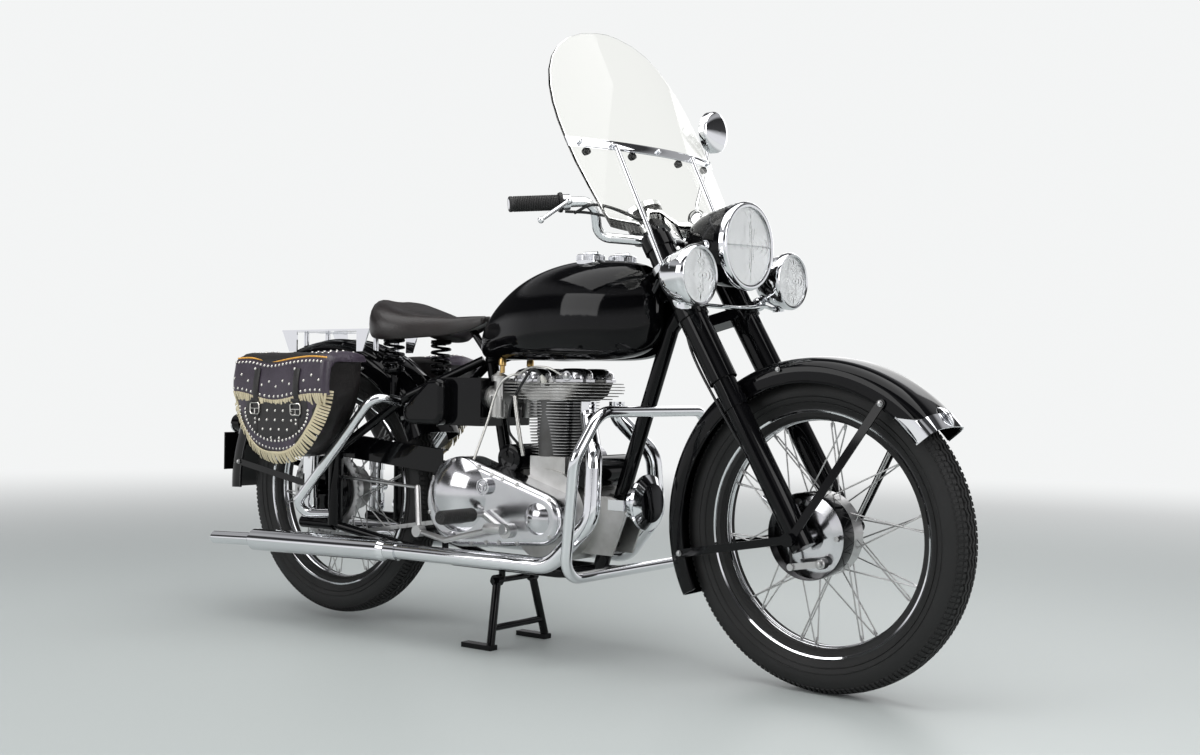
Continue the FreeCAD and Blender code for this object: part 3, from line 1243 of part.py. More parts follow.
def crankcase():
    """Crankcase and gearbox in one block, with the beds of magneto and dynamo and the front sprocket."""
    neck = block(ENGINE_BACK - NECK_LENGTH / 2, NECK_LENGTH, NECK_WIDTH / 2, CASE_HEIGHT,
                 BARREL_LOW - CASE_HEIGHT)
    box = block(GEARBOX_BACK - GEARBOX_LENGTH / 2, GEARBOX_LENGTH, GEARBOX_HALF, GEARBOX_TOP - GEARBOX_HEIGHT,
                GEARBOX_HEIGHT)
    box = box.makeFillet(GEARBOX_ROUND, [edge for edge in box.Edges if edge.CenterOfMass.z < GEARBOX_MIDDLE])
    joint = block(CASE_BACK, GEARBOX_BACK - CASE_BACK, GEARBOX_HALF, CASE_HEIGHT - CASE_RADIUS / 2,
                  CASE_RADIUS + GEARBOX_ABOVE_CASE)
    bed = block(-MAGNETO.x - MAGNETO_BED_LENGTH / 2, MAGNETO_BED_LENGTH, MAGNETO_BED_HALF, CASE_HEIGHT,
                MAGNETO_ABOVE_CASE - MAGNETO_RADIUS / 2)
    shaft = rod(FRONT_SPROCKET, FRONT_SPROCKET + V(0, CHAIN_SIDE, 0), FRONT_SPROCKET_RADIUS / 2)
    sprocket = disc(FRONT_SPROCKET, FRONT_SPROCKET_RADIUS, SPROCKET_THICKNESS / 2, CHAIN_SIDE)
    shelf = rod(between(CASE, DYNAMO, DYNAMO_BED_SHARE), DYNAMO, DYNAMO_RADIUS / 2)
    body = fused([disc(CASE, CASE_RADIUS, CASE_HALF), neck, box, joint, bed, shaft, sprocket, shelf])
    body = body.cut(disc(MAGNETO, MAGNETO_RADIUS + SEAT_GAP, MAGNETO_HALF * 2))
    body = body.cut(disc(DYNAMO, DYNAMO_RADIUS + SEAT_GAP, DYNAMO_HALF * 2))
    return body.cut(down_tube_envelope(SEAT_GAP))


def dome(centre, radius, rise):
    """A shallow polished dome that stands out to the right of a face."""
    ball_radius = (radius ** 2 + rise ** 2) / (rise * 2)
    ball = Part.makeSphere(ball_radius, centre + V(0, ball_radius - rise, 0))
    return ball.common(rod(centre + V(0, OVERRUN, 0), centre - V(0, rise * 2, 0), radius))


def outer_cover():
    """Polished teardrop cover on the right side, with its domes."""
    big = place(GEARBOX_BACK, 0, CASE_HEIGHT + COVER_TAIL_RISE)
    small = place(CASE_BACK - COVER_NOSE_AHEAD, 0, CASE_HEIGHT)
    outer = COVER_SIDE + COVER_DEPTH
    face = moved(strap_face(big, small, COVER_TAIL_RADIUS, COVER_NOSE_RADIUS), V(0, -COVER_SIDE, 0))
    body = face.extrude(V(0, -COVER_DEPTH, 0))
    edges = [edge for edge in body.Edges if abs(edge.CenterOfMass.y + outer) < SEAT_GAP]
    shapes = [body.makeFillet(COVER_FILLET, edges)]
    cap = place(CASE_BACK + CAP_BOSS_BEHIND_CASE, 0, CASE_HEIGHT + CAP_BOSS_ABOVE_CASE)
    for centre, radius, rise in ((big + UP * DOME_ABOVE_TAIL, DOME_RADIUS, DOME_RISE),
                                 (small, CRANK_DOME_RADIUS, CRANK_DOME_RISE)):
        shapes.append(dome(centre - V(0, outer, 0), radius, rise))
    shapes.append(disc(cap, CAP_BOSS_RADIUS, CAP_BOSS_RISE, -outer))
    return fused(shapes)


def timing_cover():
    """Case of the timing gears on the left side."""
    small = place(ENGINE_BACK, 0, CASE_HEIGHT + TIMING_NOSE_RISE)
    face = strap_face(CASE, small, TIMING_RADIUS, TIMING_NOSE_RADIUS)
    return moved(face, V(0, CASE_HALF, 0)).extrude(V(0, TIMING_DEPTH, 0))


def magneto():
    cap = rod(MAGNETO - V(0, MAGNETO_HALF, 0), MAGNETO - V(0, MAGNETO_HALF / 2, 0) + UP, MAGNETO_RADIUS / 2)
    return fused([disc(MAGNETO, MAGNETO_RADIUS, MAGNETO_HALF - OVERRUN * 2), cap])


def dynamo():
    return fused([disc(DYNAMO, DYNAMO_RADIUS, DYNAMO_HALF - OVERRUN), disc(DYNAMO, DYNAMO_RADIUS / 2,
                                                                           DYNAMO_HALF)])


def engine_plates():
    """Plates that tie the crankcase to lugs on the down tube."""
    top, low = CASE_HEIGHT + PLATE_TOP, CASE_HEIGHT - CASE_RADIUS * PLATE_LOW_SHARE
    front_top, front_low = down_tube_point(top), down_tube_point(low)
    reach = V(PLATE_FRONT_REACH, 0, 0)
    outline = [V(-CASE_BACK, 0, top), front_top, front_top + reach - UP * DOWN_TUBE_RADIUS, front_low + reach,
               V(-CASE_BACK, 0, low)]
    inner = PLATE_SIDE
    plates = [slab(outline, side * inner, side * (inner + PLATE_THICKNESS)) for side in (-1, 1)]
    return group([plate.cut(disc(CASE, CASE_RADIUS, CASE_HALF)) for plate in plates])


def carburettors():
    """Two upright carburettors on short bores behind the heads."""
    shapes = []
    flange = ENGINE_BACK + HEAD_LENGTH / 2
    for side in (-1, 1):
        port = place(flange + SEAT_GAP, side * CARB_HALF_SPACING, (BARREL_TOP + HEAD_TOP) / 2)
        body = port + V(-CARB_BODY_BEHIND, 0, -CARB_DROP)
        low, high = body - UP * (CARB_BODY_HEIGHT / 2), body + UP * (CARB_BODY_HEIGHT / 2)
        mouth = body - V(CARB_MOUTH_LENGTH, 0, 0)
        float_low = low + V(CARB_FLOAT_AHEAD, side * CARB_BODY_RADIUS, CARB_FLOAT_RISE)
        shapes.append(fused([block(flange + SEAT_GAP, OVERRUN, CARB_MOUTH_RADIUS, BARREL_TOP, HEAD_HEIGHT,
                                   port.y),
                             rod(V(port.x, port.y, body.z), body, CARB_BORE_RADIUS), rod(low, high,
                                                                                         CARB_BODY_RADIUS),
                             rod(body, mouth, CARB_MOUTH_RADIUS),
                             rod(float_low, float_low + UP * CARB_FLOAT_HEIGHT, CARB_FLOAT_RADIUS)]))
    return group(shapes)


def exhaust(side):
    """One exhaust pipe with its clip, silencer and tail pipe."""
    port = place(ENGINE_BACK - PORT_AHEAD, side * PORT_HALF, BARREL_TOP - SEAT_GAP)
    silencer_back = GEARBOX_REAR + SILENCER_BEHIND_GEARBOX - GEARBOX_LENGTH / 2
    start = place(silencer_back, side * SILENCER_HALF, PIPE_LOW_HEIGHT)
    points = [port, port - UP * PORT_DROP, place(PIPE_KNEE_BACK, side * PIPE_KNEE_HALF, PIPE_KNEE_HEIGHT),
              place(PIPE_SHIN_BACK, side * PIPE_SHIN_HALF, PIPE_SHIN_HEIGHT),
              place(PIPE_LOW_BACK, side * PIPE_LOW_HALF, PIPE_LOW_HEIGHT), start]
    run = V(-SILENCER_LENGTH, 0, -SILENCER_DROP)
    can = [(0, 0), (0, CLIP_RADIUS), (SILENCER_CONE, SILENCER_RADIUS), (run.Length - SILENCER_CONE,
                                                                        SILENCER_RADIUS),
           (run.Length, TAIL_PIPE_RADIUS), (run.Length, 0)]
    rear = start + run
    clip = points[-1] - points[-2]
    clip.normalize()
    return fused([bent_rod(points, PIPE_BEND, PIPE_RADIUS), turned(can, start, run),
                  rod(start - clip * CLIP_LENGTH, start, CLIP_RADIUS),
                  rod(rear, rear + V(-TAIL_PIPE_LENGTH, 0, -SILENCER_DROP / 2), TAIL_PIPE_RADIUS)])


def section_wire(back, half, low, high, shares):
    """A closed, mirrored cross-section of a lofted body."""
    tall = high - low
    right = [place(back, -half * wide, low + tall * up) for wide, up in shares]
    left = [V(point.x, -point.y, point.z) for point in reversed(right[1:-1])]
    curve = Part.BSplineCurve()
    curve.interpolate(right + left, PeriodicFlag=True)
    return Part.Wire([curve.toShape()])


def lofted(stations, front, length, half, low, tall, section):
    """A rounded body through cross-sections along the motorcycle."""
    return Part.makeLoft([section_wire(front + length * along, half * wide, low + tall * bottom,
                                       low + tall * top,
                                       section) for along, wide, bottom, top in stations], True, False)


def tank_body():
    """The tank's outside, before its tunnel is cut."""
    return lofted(TANK_STATION_SHARES, TANK_FRONT_BACK, TANK_LENGTH, TANK_HALF_WIDTH, TANK_BOTTOM,
                  TANK_HEIGHT,
                  TANK_SECTION_SHARES)


def fuel_tank():
    """Tank with a tunnel over the backbone and a notch for the steering head."""
    middle = between(HEAD_LOW, HEAD_HIGH, BACKBONE_SHARE)
    rear = SEAT_LUG + (SEAT_LUG - middle) * TUNNEL_PAST_SHARE
    half = BACKBONE_RADIUS + TUNNEL_CLEARANCE
    drop = UP * -TANK_HEIGHT
    slot = slab([middle, rear, rear + drop, middle + drop], -half, half)
    notch = rod(HEAD_LOW - FORK_UP * TANK_HEIGHT, HEAD_HIGH + FORK_UP * TANK_HEIGHT,
                HEAD_TUBE_RADIUS + TUNNEL_CLEARANCE)
    lift = FORK_UP * (YOKE_THICKNESS / 2 + HEAD_GAP)
    swing = rod(stem_point(YOKE_TOP) - lift, stem_point(YOKE_TOP) + lift, YOKE_SWING_RADIUS)
    body = tank_body().cut(slot).cut(rod(middle, rear, half)).cut(notch).cut(swing)
    return body.cut(saddle_post(TUNNEL_CLEARANCE))


def tank_caps():
    """Two screw caps seated on the tank's crown."""
    shapes = []
    body = moved(tank_body(), UP * SEAT_GAP)
    for along, wide in CAP_PLACE_SHARES:
        base = place(TANK_FRONT_BACK + TANK_LENGTH * along, TANK_HALF_WIDTH * wide,
                     TANK_BOTTOM + TANK_HEIGHT * CAP_LEVEL_SHARE)
        shapes.append(rod(base - UP * CAP_HEIGHT, base + UP * CAP_HEIGHT, CAP_RADIUS).cut(body))
    return group(shapes)


SADDLE_FRONT = TANK_FRONT_BACK + TANK_LENGTH + SADDLE_BEHIND_TANK


def saddle():
    return lofted(SADDLE_STATION_SHARES, SADDLE_FRONT, SADDLE_LENGTH, SADDLE_HALF_WIDTH,
                  SADDLE_HIGH - SADDLE_DEPTH,
                  SADDLE_DEPTH, SADDLE_SECTION_SHARES)


def saddle_springs():
    """A coil spring under each side of the saddle, on a post from the seat stay."""
    base = place(SPRING_BEHIND_KNEE - STAY_KNEE.x, -SPRING_HALF_SPACING, STAY_KNEE.z + SPRING_ABOVE_KNEE)
    wide, narrow = SPRING_RADIUS + SPRING_WIRE, SPRING_RADIUS - SPRING_WIRE
    coil = [(-SPRING_CUP, 0), (-SPRING_CUP, wide)]
    for turn in range(SPRING_TURNS):
        for share, radius in ((0, wide), (HALF_SHARE, narrow)):
            coil.append((SPRING_HEIGHT / SPRING_TURNS * (turn + share), radius))
    coil += [(SPRING_HEIGHT, wide), (SPRING_HEIGHT + SPRING_CUP, wide), (SPRING_HEIGHT + SPRING_CUP, 0)]
    knee = V(STAY_KNEE.x, -STAY_KNEE_HALF, STAY_KNEE.z)
    stay_rear = place(UPRIGHT_BACK, -PLUNGER_HALF, REAR_AXLE.z + PLUNGER_TOP - UPRIGHT_RADIUS)
    anchor = between(knee, stay_rear, SPRING_ANCHOR_SHARE)
    top = base + UP * SPRING_HEIGHT
    post = rod(top, top + UP * SADDLE_DEPTH, SPRING_POST_RADIUS).cut(moved(saddle(), UP * -SEAT_GAP))
    body = fused([turned(coil, base, UP), rod(anchor, base, SPRING_POST_RADIUS),
                  min(post.Solids, key=lambda solid: solid.BoundBox.ZMin)])
    right = max(body.cut(seat_stay(-1, SEAT_GAP)).Solids, key=lambda solid: solid.Volume)
    return group([right, mirrored(right)])


def guard_envelope(grow):
    """The rear mudguard's outer radius as one thick disc, grown by a clearance."""
    return disc(REAR_AXLE, REAR_GUARD_RADIUS + grow, REAR_GUARD_HALF * 2)


def rear_mudguard():
    """Rear guard with a stay from each plunger lug."""
    shapes = [guard_shell(REAR_AXLE, REAR_GUARD_RADIUS, REAR_GUARD_SKIRT, REAR_GUARD_HALF,
                          REAR_GUARD_FRONT_DEG,
                          REAR_GUARD_TAIL_DEG)]
    lug_end = WHEELBASE + PLUNGER_LUG_REACH + SEAT_GAP
    for side in (-1, 1):
        level = REAR_AXLE.z - PLUNGER_LOW
        shapes.append(rod(place(lug_end, side * PLUNGER_HALF, level),
                          place(lug_end + STAY_PLATE * 2, side * PLUNGER_HALF, level), STAY_EYE_RADIUS))
        far = polar(REAR_AXLE, REAR_GUARD_SKIRT + STAY_PLATE * 2, TAIL_STAY_DEG,
                    side * (REAR_GUARD_HALF - GUARD_WALL / 2))
        shapes.append(rod(place(lug_end + STAY_PLATE, side * PLUNGER_HALF, level), far, STAY_PLATE))
    return fused(shapes)


def number_plate():
    """Blank plate on two brackets behind the guard."""
    mount = polar(REAR_AXLE, REAR_GUARD_RADIUS, PLATE_HEIGHT_DEG)
    back = -polar(REAR_AXLE, REAR_GUARD_RADIUS, HALF_TURN).x + PLATE_BEHIND_GUARD
    shapes = [block(back, PLATE_METAL, PLATE_WIDTH / 2, mount.z - PLATE_HEIGHT / 2, PLATE_HEIGHT)]
    for side in (-1, 1):
        start = V(mount.x, side * STAY_WIDTH, mount.z)
        shapes.append(rod(start, V(-back - PLATE_METAL / 2, start.y, mount.z), STAY_PLATE))
    body = fused(shapes)
    return body.cut(guard_envelope(SEAT_GAP))


def tail_lamp():
    root = polar(REAR_AXLE, REAR_GUARD_RADIUS - OVERRUN * 2, TAIL_LAMP_DEG)
    neck = root - V(TAIL_LAMP_LENGTH * 2, 0, 0)
    body = fused([rod(root, neck, TAIL_LAMP_RADIUS * TAIL_NECK_SHARE),
                  rod(neck, neck - V(TAIL_LAMP_LENGTH, 0, 0), TAIL_LAMP_RADIUS)])
    return body.cut(guard_envelope(SEAT_GAP))


RACK_FRONT_BACK = WHEELBASE - RACK_AHEAD_OF_AXLE


def luggage_rack():
    """Flat carrier of bars with deep sides, a front bracket and feet on the mudguard."""
    low = RACK_HEIGHT - RACK_PLATE
    shapes = []
    pitch = (RACK_HALF - RACK_BAR_WIDTH / 2) * 2 / (RACK_BARS - 1)
    for index in range(RACK_BARS):
        side = RACK_BAR_WIDTH / 2 - RACK_HALF + pitch * index
        shapes.append(block(RACK_FRONT_BACK, RACK_LENGTH, RACK_BAR_WIDTH / 2, low, RACK_PLATE, side))
    rear = RACK_FRONT_BACK + RACK_LENGTH
    for back in (RACK_FRONT_BACK, (RACK_FRONT_BACK + rear - RACK_BAR_WIDTH) / 2, rear - RACK_BAR_WIDTH):
        shapes.append(block(back, RACK_BAR_WIDTH, RACK_HALF, low, RACK_PLATE))
    for side in (-1, 1):
        for back, reach in ((rear, -RACK_SIDE_LENGTH), (RACK_FRONT_BACK, RACK_BRACKET_LENGTH)):
            outline = [place(back, 0, RACK_HEIGHT), place(back + reach, 0, RACK_HEIGHT),
                       place(back + reach, 0, RACK_HEIGHT - RACK_SIDE_DEPTH),
                       place(back + reach / 2, 0, RACK_HEIGHT - RACK_SIDE_DEPTH)]
            shapes.append(slab(outline, side * (RACK_HALF - RACK_PLATE), side * RACK_HALF))
            foot = place(back + reach / 2 + RACK_FOOT_RADIUS * (1 if reach > 0 else -1),
                         side * REAR_GUARD_HALF / 2,
                         low + RACK_PLATE / 2)
            shapes.append(rod(foot - UP * (RACK_SIDE_DEPTH + OVERRUN * 2), foot, RACK_FOOT_RADIUS))
    body = fused(shapes).cut(disc(REAR_AXLE, REAR_GUARD_RADIUS + SEAT_GAP, REAR_GUARD_HALF + SEAT_GAP))
    return max(body.Solids, key=lambda solid: solid.Volume)


def pannier(side):
    """Deep bag with rounded lower corners, on two straps from the mudguard."""
    high = RACK_HEIGHT - BAG_BELOW_RACK
    front = WHEELBASE - BAG_AHEAD_OF_AXLE
    outline = [place(front + BAG_LENGTH * along, 0, high - BAG_HEIGHT + BAG_HEIGHT * up)
               for along, up in BAG_OUTLINE_SHARES]
    outer = BAG_INNER + BAG_DEPTH
    body = slab(outline, side * BAG_INNER, side * outer, BAG_ROUND)
    edges = [edge for edge in body.Edges if abs(abs(edge.CenterOfMass.y) - outer) < SEAT_GAP]
    shapes = [body.makeFillet(BAG_EDGE, edges)]
    start = REAR_GUARD_HALF + SEAT_GAP
    for along in BAG_TAB_SHARES:
        shapes.append(block(front + BAG_LENGTH * along, BAG_TAB_WIDTH, (BAG_INNER + OVERRUN - start) / 2,
                            high - BAG_TAB_BELOW_TOP - BAG_TAB_THICKNESS, BAG_TAB_THICKNESS,
                            side * (BAG_INNER + OVERRUN + start) / 2))
    return fused(shapes)


def bag_bars():
    """A plated tube on each side that keeps the bag off the silencer."""
    shapes = []
    top, low = REAR_AXLE.z + BAG_BAR_TOP_RISE, REAR_AXLE.z - BAG_BAR_LOW_DROP
    lug_top = REAR_AXLE.z - PLUNGER_LOW + PLUNGER_LUG_RADIUS
    for side in (-1, 1):
        knee = V(STAY_KNEE.x, side * STAY_KNEE_HALF, STAY_KNEE.z)
        stay_rear = place(UPRIGHT_BACK, side * PLUNGER_HALF, REAR_AXLE.z + PLUNGER_TOP - UPRIGHT_RADIUS)
        start = between(knee, stay_rear, BAG_BAR_START_SHARE)
        points = [start, place(WHEELBASE - BAG_BAR_TOP_AHEAD, side * BAG_BAR_TOP_HALF, top),
                  place(WHEELBASE + BAG_BAR_LOW_BEHIND, side * BAG_BAR_LOW_HALF, low),
                  place(UPRIGHT_BACK, side * PLUNGER_HALF, lug_top + BAG_BAR_RADIUS + SEAT_GAP * 2)]
        body = bent_rod(points, BAG_BAR_BEND, BAG_BAR_RADIUS)
        body = body.cut(seat_stay(side, SEAT_GAP)).cut(upright(side, SEAT_GAP))
        shapes.append(max(body.Solids, key=lambda solid: solid.Volume))
    return group(shapes)


BATTERY_FRONT = ENGINE_BACK + HEAD_LENGTH / 2 + BATTERY_BEHIND_HEAD
BOX_LOW = HEAD_TOP - BATTERY_BELOW_HEAD


def battery_box():
    inner = SEAT_TUBE_RADIUS + SEAT_GAP
    half = (BATTERY_SIDE - inner) / 2
    return block(BATTERY_FRONT, BATTERY_LENGTH, half, BOX_LOW, BATTERY_HEIGHT, -BATTERY_SIDE + half)


def tool_box():
    """Rounded box with a sloping back on the right."""
    front = BATTERY_FRONT + BATTERY_LENGTH - TOOLBOX_OVERLAP
    outline = [place(front + TOOLBOX_LENGTH * along, 0, BOX_LOW + BATTERY_HEIGHT * up)
               for along, up in TOOLBOX_OUTLINE_SHARES]
    outer = BATTERY_SIDE + TOOLBOX_DEPTH
    body = slab(outline, -BATTERY_SIDE, -outer, TOOLBOX_ROUND * 2)
    edges = [edge for edge in body.Edges if abs(edge.CenterOfMass.y + outer) < SEAT_GAP]
    return body.makeFillet(TOOLBOX_ROUND, edges)


def oil_tank():
    """Rounded oil tank on the left, beside the seat tube."""
    inner = SEAT_TUBE_RADIUS + SEAT_GAP
    half = (OIL_TANK_SIDE - inner) / 2
    body = block(BATTERY_FRONT, OIL_TANK_LENGTH, half, BOX_LOW, BATTERY_HEIGHT, inner + half)
    edges = [edge for edge in body.Edges if edge.CenterOfMass.y > OIL_TANK_SIDE - SEAT_GAP]
    return body.makeFillet(OIL_TANK_ROUND, edges)


def crash_points(side):
    """One half of the crash bar's loop, from its top middle to its bottom middle."""
    low = CRASH_LOW_HEIGHT
    def at(wide, up):
        return place(CRASH_TOP_BACK + CRASH_LEAN * (1 - up), side * CRASH_HALF * wide,
                     low + CRASH_HEIGHT * up)
    return [at(0, 1)] + [at(wide, up) for wide, up in CRASH_OUTLINE_SHARES] + [at(0, 0)]


def crash_bar():
    """Plated tube loop in front of the engine, clamped to the down tube and the cradle's foot."""
    shapes = [bent_rod(crash_points(side), CRASH_BEND, CRASH_RADIUS) for side in (-1, 1)]
    top, low = crash_points(1)[0], crash_points(1)[-1]
    clamp = rod(top, down_tube_point(top.z - CRASH_CLAMP_DROP), CRASH_CLAMP_RADIUS)
    bracket = rod(low, DOWN_TUBE_FOOT, CRASH_CLAMP_RADIUS)
    lug = Part.makeSphere(DOWN_TUBE_RADIUS + SEAT_GAP, DOWN_TUBE_FOOT)
    body = fused(shapes + [clamp, bracket]).cut(down_tube_envelope(SEAT_GAP)).cut(lug)
    return max(body.Solids, key=lambda solid: solid.Volume)


def horn():
    """Round horn on an arm from the right engine plate."""
    face = place(HORN_BACK, HORN_SIDE, HORN_HEIGHT)
    profile = [(HORN_DEPTH * along, HORN_RADIUS * wide) for along, wide in HORN_PROFILE_SHARES]
    plate_face = PLATE_SIDE + PLATE_THICKNESS + SEAT_GAP
    start = HORN_BACK + HORN_DEPTH - OVERRUN
    arm = block(start, -down_tube_point(HORN_HEIGHT).x - start, HORN_ARM_THICKNESS / 2,
                HORN_HEIGHT - HORN_ARM_WIDTH,
                HORN_ARM_WIDTH, -plate_face - HORN_ARM_THICKNESS / 2)
    return fused([turned(profile, face, FORWARD), arm])


def drive_chain():
    """One closed loop round the two sprockets."""
    loops = []
    for grow in (SEAT_GAP, CHAIN_THICKNESS):
        face = strap_face(REAR_AXLE, FRONT_SPROCKET, SPROCKET_TIP + grow, FRONT_SPROCKET_RADIUS + grow)
        loops.append(moved(face, V(0, CHAIN_SIDE - CHAIN_WIDTH / 2, 0)).extrude(V(0, CHAIN_WIDTH, 0)))
    return loops[1].cut(loops[0])


def sprocket():
    """Toothed ring on the rear drum."""
    count = SPROCKET_TEETH * 2
    points = [polar(REAR_AXLE, SPROCKET_ROOT if index % 2 else SPROCKET_TIP, FULL_TURN / count * index)
              for index in range(count)]
    half = SPROCKET_THICKNESS / 2
    return slab(points, CHAIN_SIDE - half, CHAIN_SIDE + half).cut(disc(REAR_AXLE, DRUM_RADIUS + SEAT_GAP,
                                                                       DRUM_RADIUS))


def chain_top(back):
    """Height of the chain's upper run."""
    along = (back + FRONT_SPROCKET.x) / (WHEELBASE + FRONT_SPROCKET.x)
    low = FRONT_SPROCKET.z + FRONT_SPROCKET_RADIUS
    return low + (REAR_AXLE.z + SPROCKET_TIP - low) * along + CHAIN_THICKNESS


def chain_guard():
    """Cover over the chain's upper run, on a bracket from the frame."""
    front, rear = GEARBOX_REAR + STAY_WIDTH, WHEELBASE
    top = [place(back, 0, chain_top(back) + CHAIN_GUARD_GAP) for back in (front, rear)]
    drop = UP * -CHAIN_GUARD_DEPTH
    inner = -TYRE_WIDTH / 2 - TYRE_CLEARANCE
    outer = inner - CHAIN_GUARD_WIDTH
    body = slab([top[0], top[1], top[1] + drop, top[0] + drop], inner, outer)
    space = slab([point - UP * CHAIN_GUARD_WALL for point in top] + [top[1] + drop * 2, top[0] + drop * 2],
                 inner + CHAIN_GUARD_WIDTH, outer + CHAIN_GUARD_WALL)
    level = (top[0].z + top[1].z - CHAIN_GUARD_DEPTH) / 2
    arm = rod(V(-UPRIGHT_BACK, outer, level), V(-UPRIGHT_BACK, -PLUNGER_HALF, level), STAY_PLATE)
    return fused([body.cut(space), arm.cut(upright(-1, SEAT_GAP))])


def rest_points(side):
    """Footrest arm from its pad on the side cover to the rubber's outer end."""
    face = COVER_SIDE + COVER_DEPTH if side < 0 else CASE_HALF + TIMING_DEPTH
    pad = place(CASE_BACK + REST_PAD_BEHIND_CASE, side * (face + SEAT_GAP), REST_PAD_HEIGHT)
    out = side * (face + REST_PAD_THICKNESS)
    inner = place(CASE_BACK + REST_BEHIND_CASE, side * REST_INNER, REST_HEIGHT)
    return [pad, V(pad.x, out, pad.z), V(inner.x, out, inner.z), inner, inner + V(0, side * REST_LENGTH, 0)]


def footrests():
    shapes = []
    for side in (-1, 1):
        points = rest_points(side)
        pad = rod(points[0], points[0] + V(0, side * REST_PAD_THICKNESS, 0), REST_PAD_RADIUS)
        bars = [rod(a, b, REST_ROD_RADIUS) for a, b in zip(points, points[1:])]
        bars += [Part.makeSphere(REST_ROD_RADIUS, point) for point in points[1:4]]
        shapes.append(fused([pad] + bars))
    return group(shapes)


def footrest_rubbers():
    shapes = []
    for side in (-1, 1):
        inner, outer = rest_points(side)[3:]
        step = V(0, side * REST_RUBBER_START, 0)
        body = rod(inner + step, outer + step, REST_RADIUS)
        shapes.append(body.cut(rod(inner, outer + V(0, side * SEAT_GAP, 0), REST_ROD_RADIUS + SEAT_GAP)))
    return group(shapes)


def foot_levers():
    """Brake pedal with its rod on the right, gear lever on the left."""
    boss = PEDAL_PIVOT - V(0, PEDAL_BOSS_SIDE + SEAT_GAP + PEDAL_BOSS_HALF, 0)
    knee = place(GEARBOX_BACK, -PEDAL_SIDE + OVERRUN, PEDAL_PIVOT.z - PEDAL_BOSS_HALF)
    tip = place(CASE_BACK + PEDAL_TIP_BEHIND_CASE, -PEDAL_SIDE, PEDAL_PIVOT.z + PEDAL_TIP_RISE)
    pad = [tip - V(PEDAL_PAD_LENGTH / 2, 0, 0), tip + V(PEDAL_PAD_LENGTH / 2, 0, 0)]
    relay = PEDAL_PIVOT - V(PEDAL_RELAY_BACK, BRAKE_ROD_FRONT_SIDE, 0) + UP * BRAKE_ROD_ABOVE
    rear = V(REAR_AXLE.x + REAR_ARM_AHEAD, -BRAKE_ROD_SIDE, REAR_AXLE.z + REAR_ARM_RISE)
    pedal = [disc(boss, PEDAL_BOSS_RADIUS, PEDAL_BOSS_HALF), rod(boss, knee, PEDAL_RADIUS),
             Part.makeSphere(PEDAL_RADIUS, knee), rod(knee, tip, PEDAL_RADIUS),
             rod(pad[0], pad[1], PEDAL_RADIUS + OVERRUN), rod(boss, relay, PEDAL_RADIUS),
             Part.makeSphere(PEDAL_RADIUS, relay), rod(relay, rear, BRAKE_ROD_RADIUS)]
    shaft = place(CASE_BACK + GEAR_SHAFT_BEHIND_CASE, GEARBOX_HALF, CASE_HEIGHT + GEAR_SHAFT_RISE)
    elbow = V(shaft.x, GEAR_LEVER_SIDE, shaft.z)
    toe = V(-CASE_BACK - GEAR_TOE_BEHIND_CASE, GEAR_LEVER_SIDE, shaft.z + GEAR_SHAFT_RISE / 2)
    gear = [rod(shaft, elbow, PEDAL_RADIUS), Part.makeSphere(PEDAL_RADIUS, elbow), rod(elbow, toe,
                                                                                       PEDAL_RADIUS),
            Part.makeSphere(PEDAL_RADIUS, toe), rod(toe, toe + V(0, PEDAL_PAD_LENGTH, 0), PEDAL_RADIUS)]
    return group([fused(pedal), fused(gear)])


def kick_starter():
    """Kick-starter crank on the left, its pedal folded out."""
    shaft = place(CASE_BACK + KICK_SHAFT_BEHIND_CASE, GEARBOX_HALF, CASE_HEIGHT + KICK_SHAFT_ABOVE_CASE)
    elbow = shaft + V(0, KICK_OUT, 0)
    head = elbow + V(-KICK_RISE / 2, 0, KICK_RISE)
    return fused([rod(shaft, elbow, KICK_RADIUS), Part.makeSphere(KICK_RADIUS, elbow), rod(elbow, head,
                                                                                           KICK_RADIUS),
                  Part.makeSphere(KICK_RADIUS, head), rod(head, head + V(0, KICK_PEDAL_LENGTH, 0),
                                                          KICK_RADIUS)])


def centre_stand():
    """Two splayed legs with long toes, joined by a bar."""
    shapes = []
    foot_back = -STAND_PIVOT.x - STAND_FOOT_AHEAD
    for side in (-1, 1):
        top = STAND_PIVOT + V(0, side * STAND_HALF_TOP, 0)
        low = place(foot_back, side * STAND_HALF_FOOT, STAND_LEG_RADIUS)
        shapes.append(disc(STAND_PIVOT, STAND_EYE_RADIUS, STAND_EYE_WIDTH / 2, side * STAND_HALF_TOP))
        shapes.append(rod(top, low, STAND_LEG_RADIUS))
        shapes.append(block(foot_back - STAND_LEG_RADIUS, STAND_TOE_LENGTH, STAND_TOE_WIDTH / 2, 0,
                            STAND_TOE_HEIGHT, side * STAND_HALF_FOOT))
    share = (STAND_PIVOT_HEIGHT - STAND_BAR_HEIGHT) / (STAND_PIVOT_HEIGHT - STAND_LEG_RADIUS)
    back = foot_back + STAND_FOOT_AHEAD * (1 - share)
    half = STAND_HALF_TOP + (STAND_HALF_FOOT - STAND_HALF_TOP) * share
    shapes.append(rod(place(back, -half, STAND_BAR_HEIGHT), place(back, half, STAND_BAR_HEIGHT),
                      STAND_BAR_RADIUS))
    return fused(shapes).cut(disc(STAND_PIVOT, STAND_PIN_RADIUS + STAND_EYE_CLEARANCE, STAND_HALF_FOOT))


REAR_ARM = V(OVERRUN, 0, REAR_ARM_REACH)
FRONT_ARM = V(-FRONT_ARM_BACK, 0, -FRONT_ARM_DROP)
FORK_FACE = FORK_HALF_SPACING - SLIDER_RADIUS
PLUNGER_FACE = PLUNGER_HALF - PLUNGER_SLIDER_RADIUS


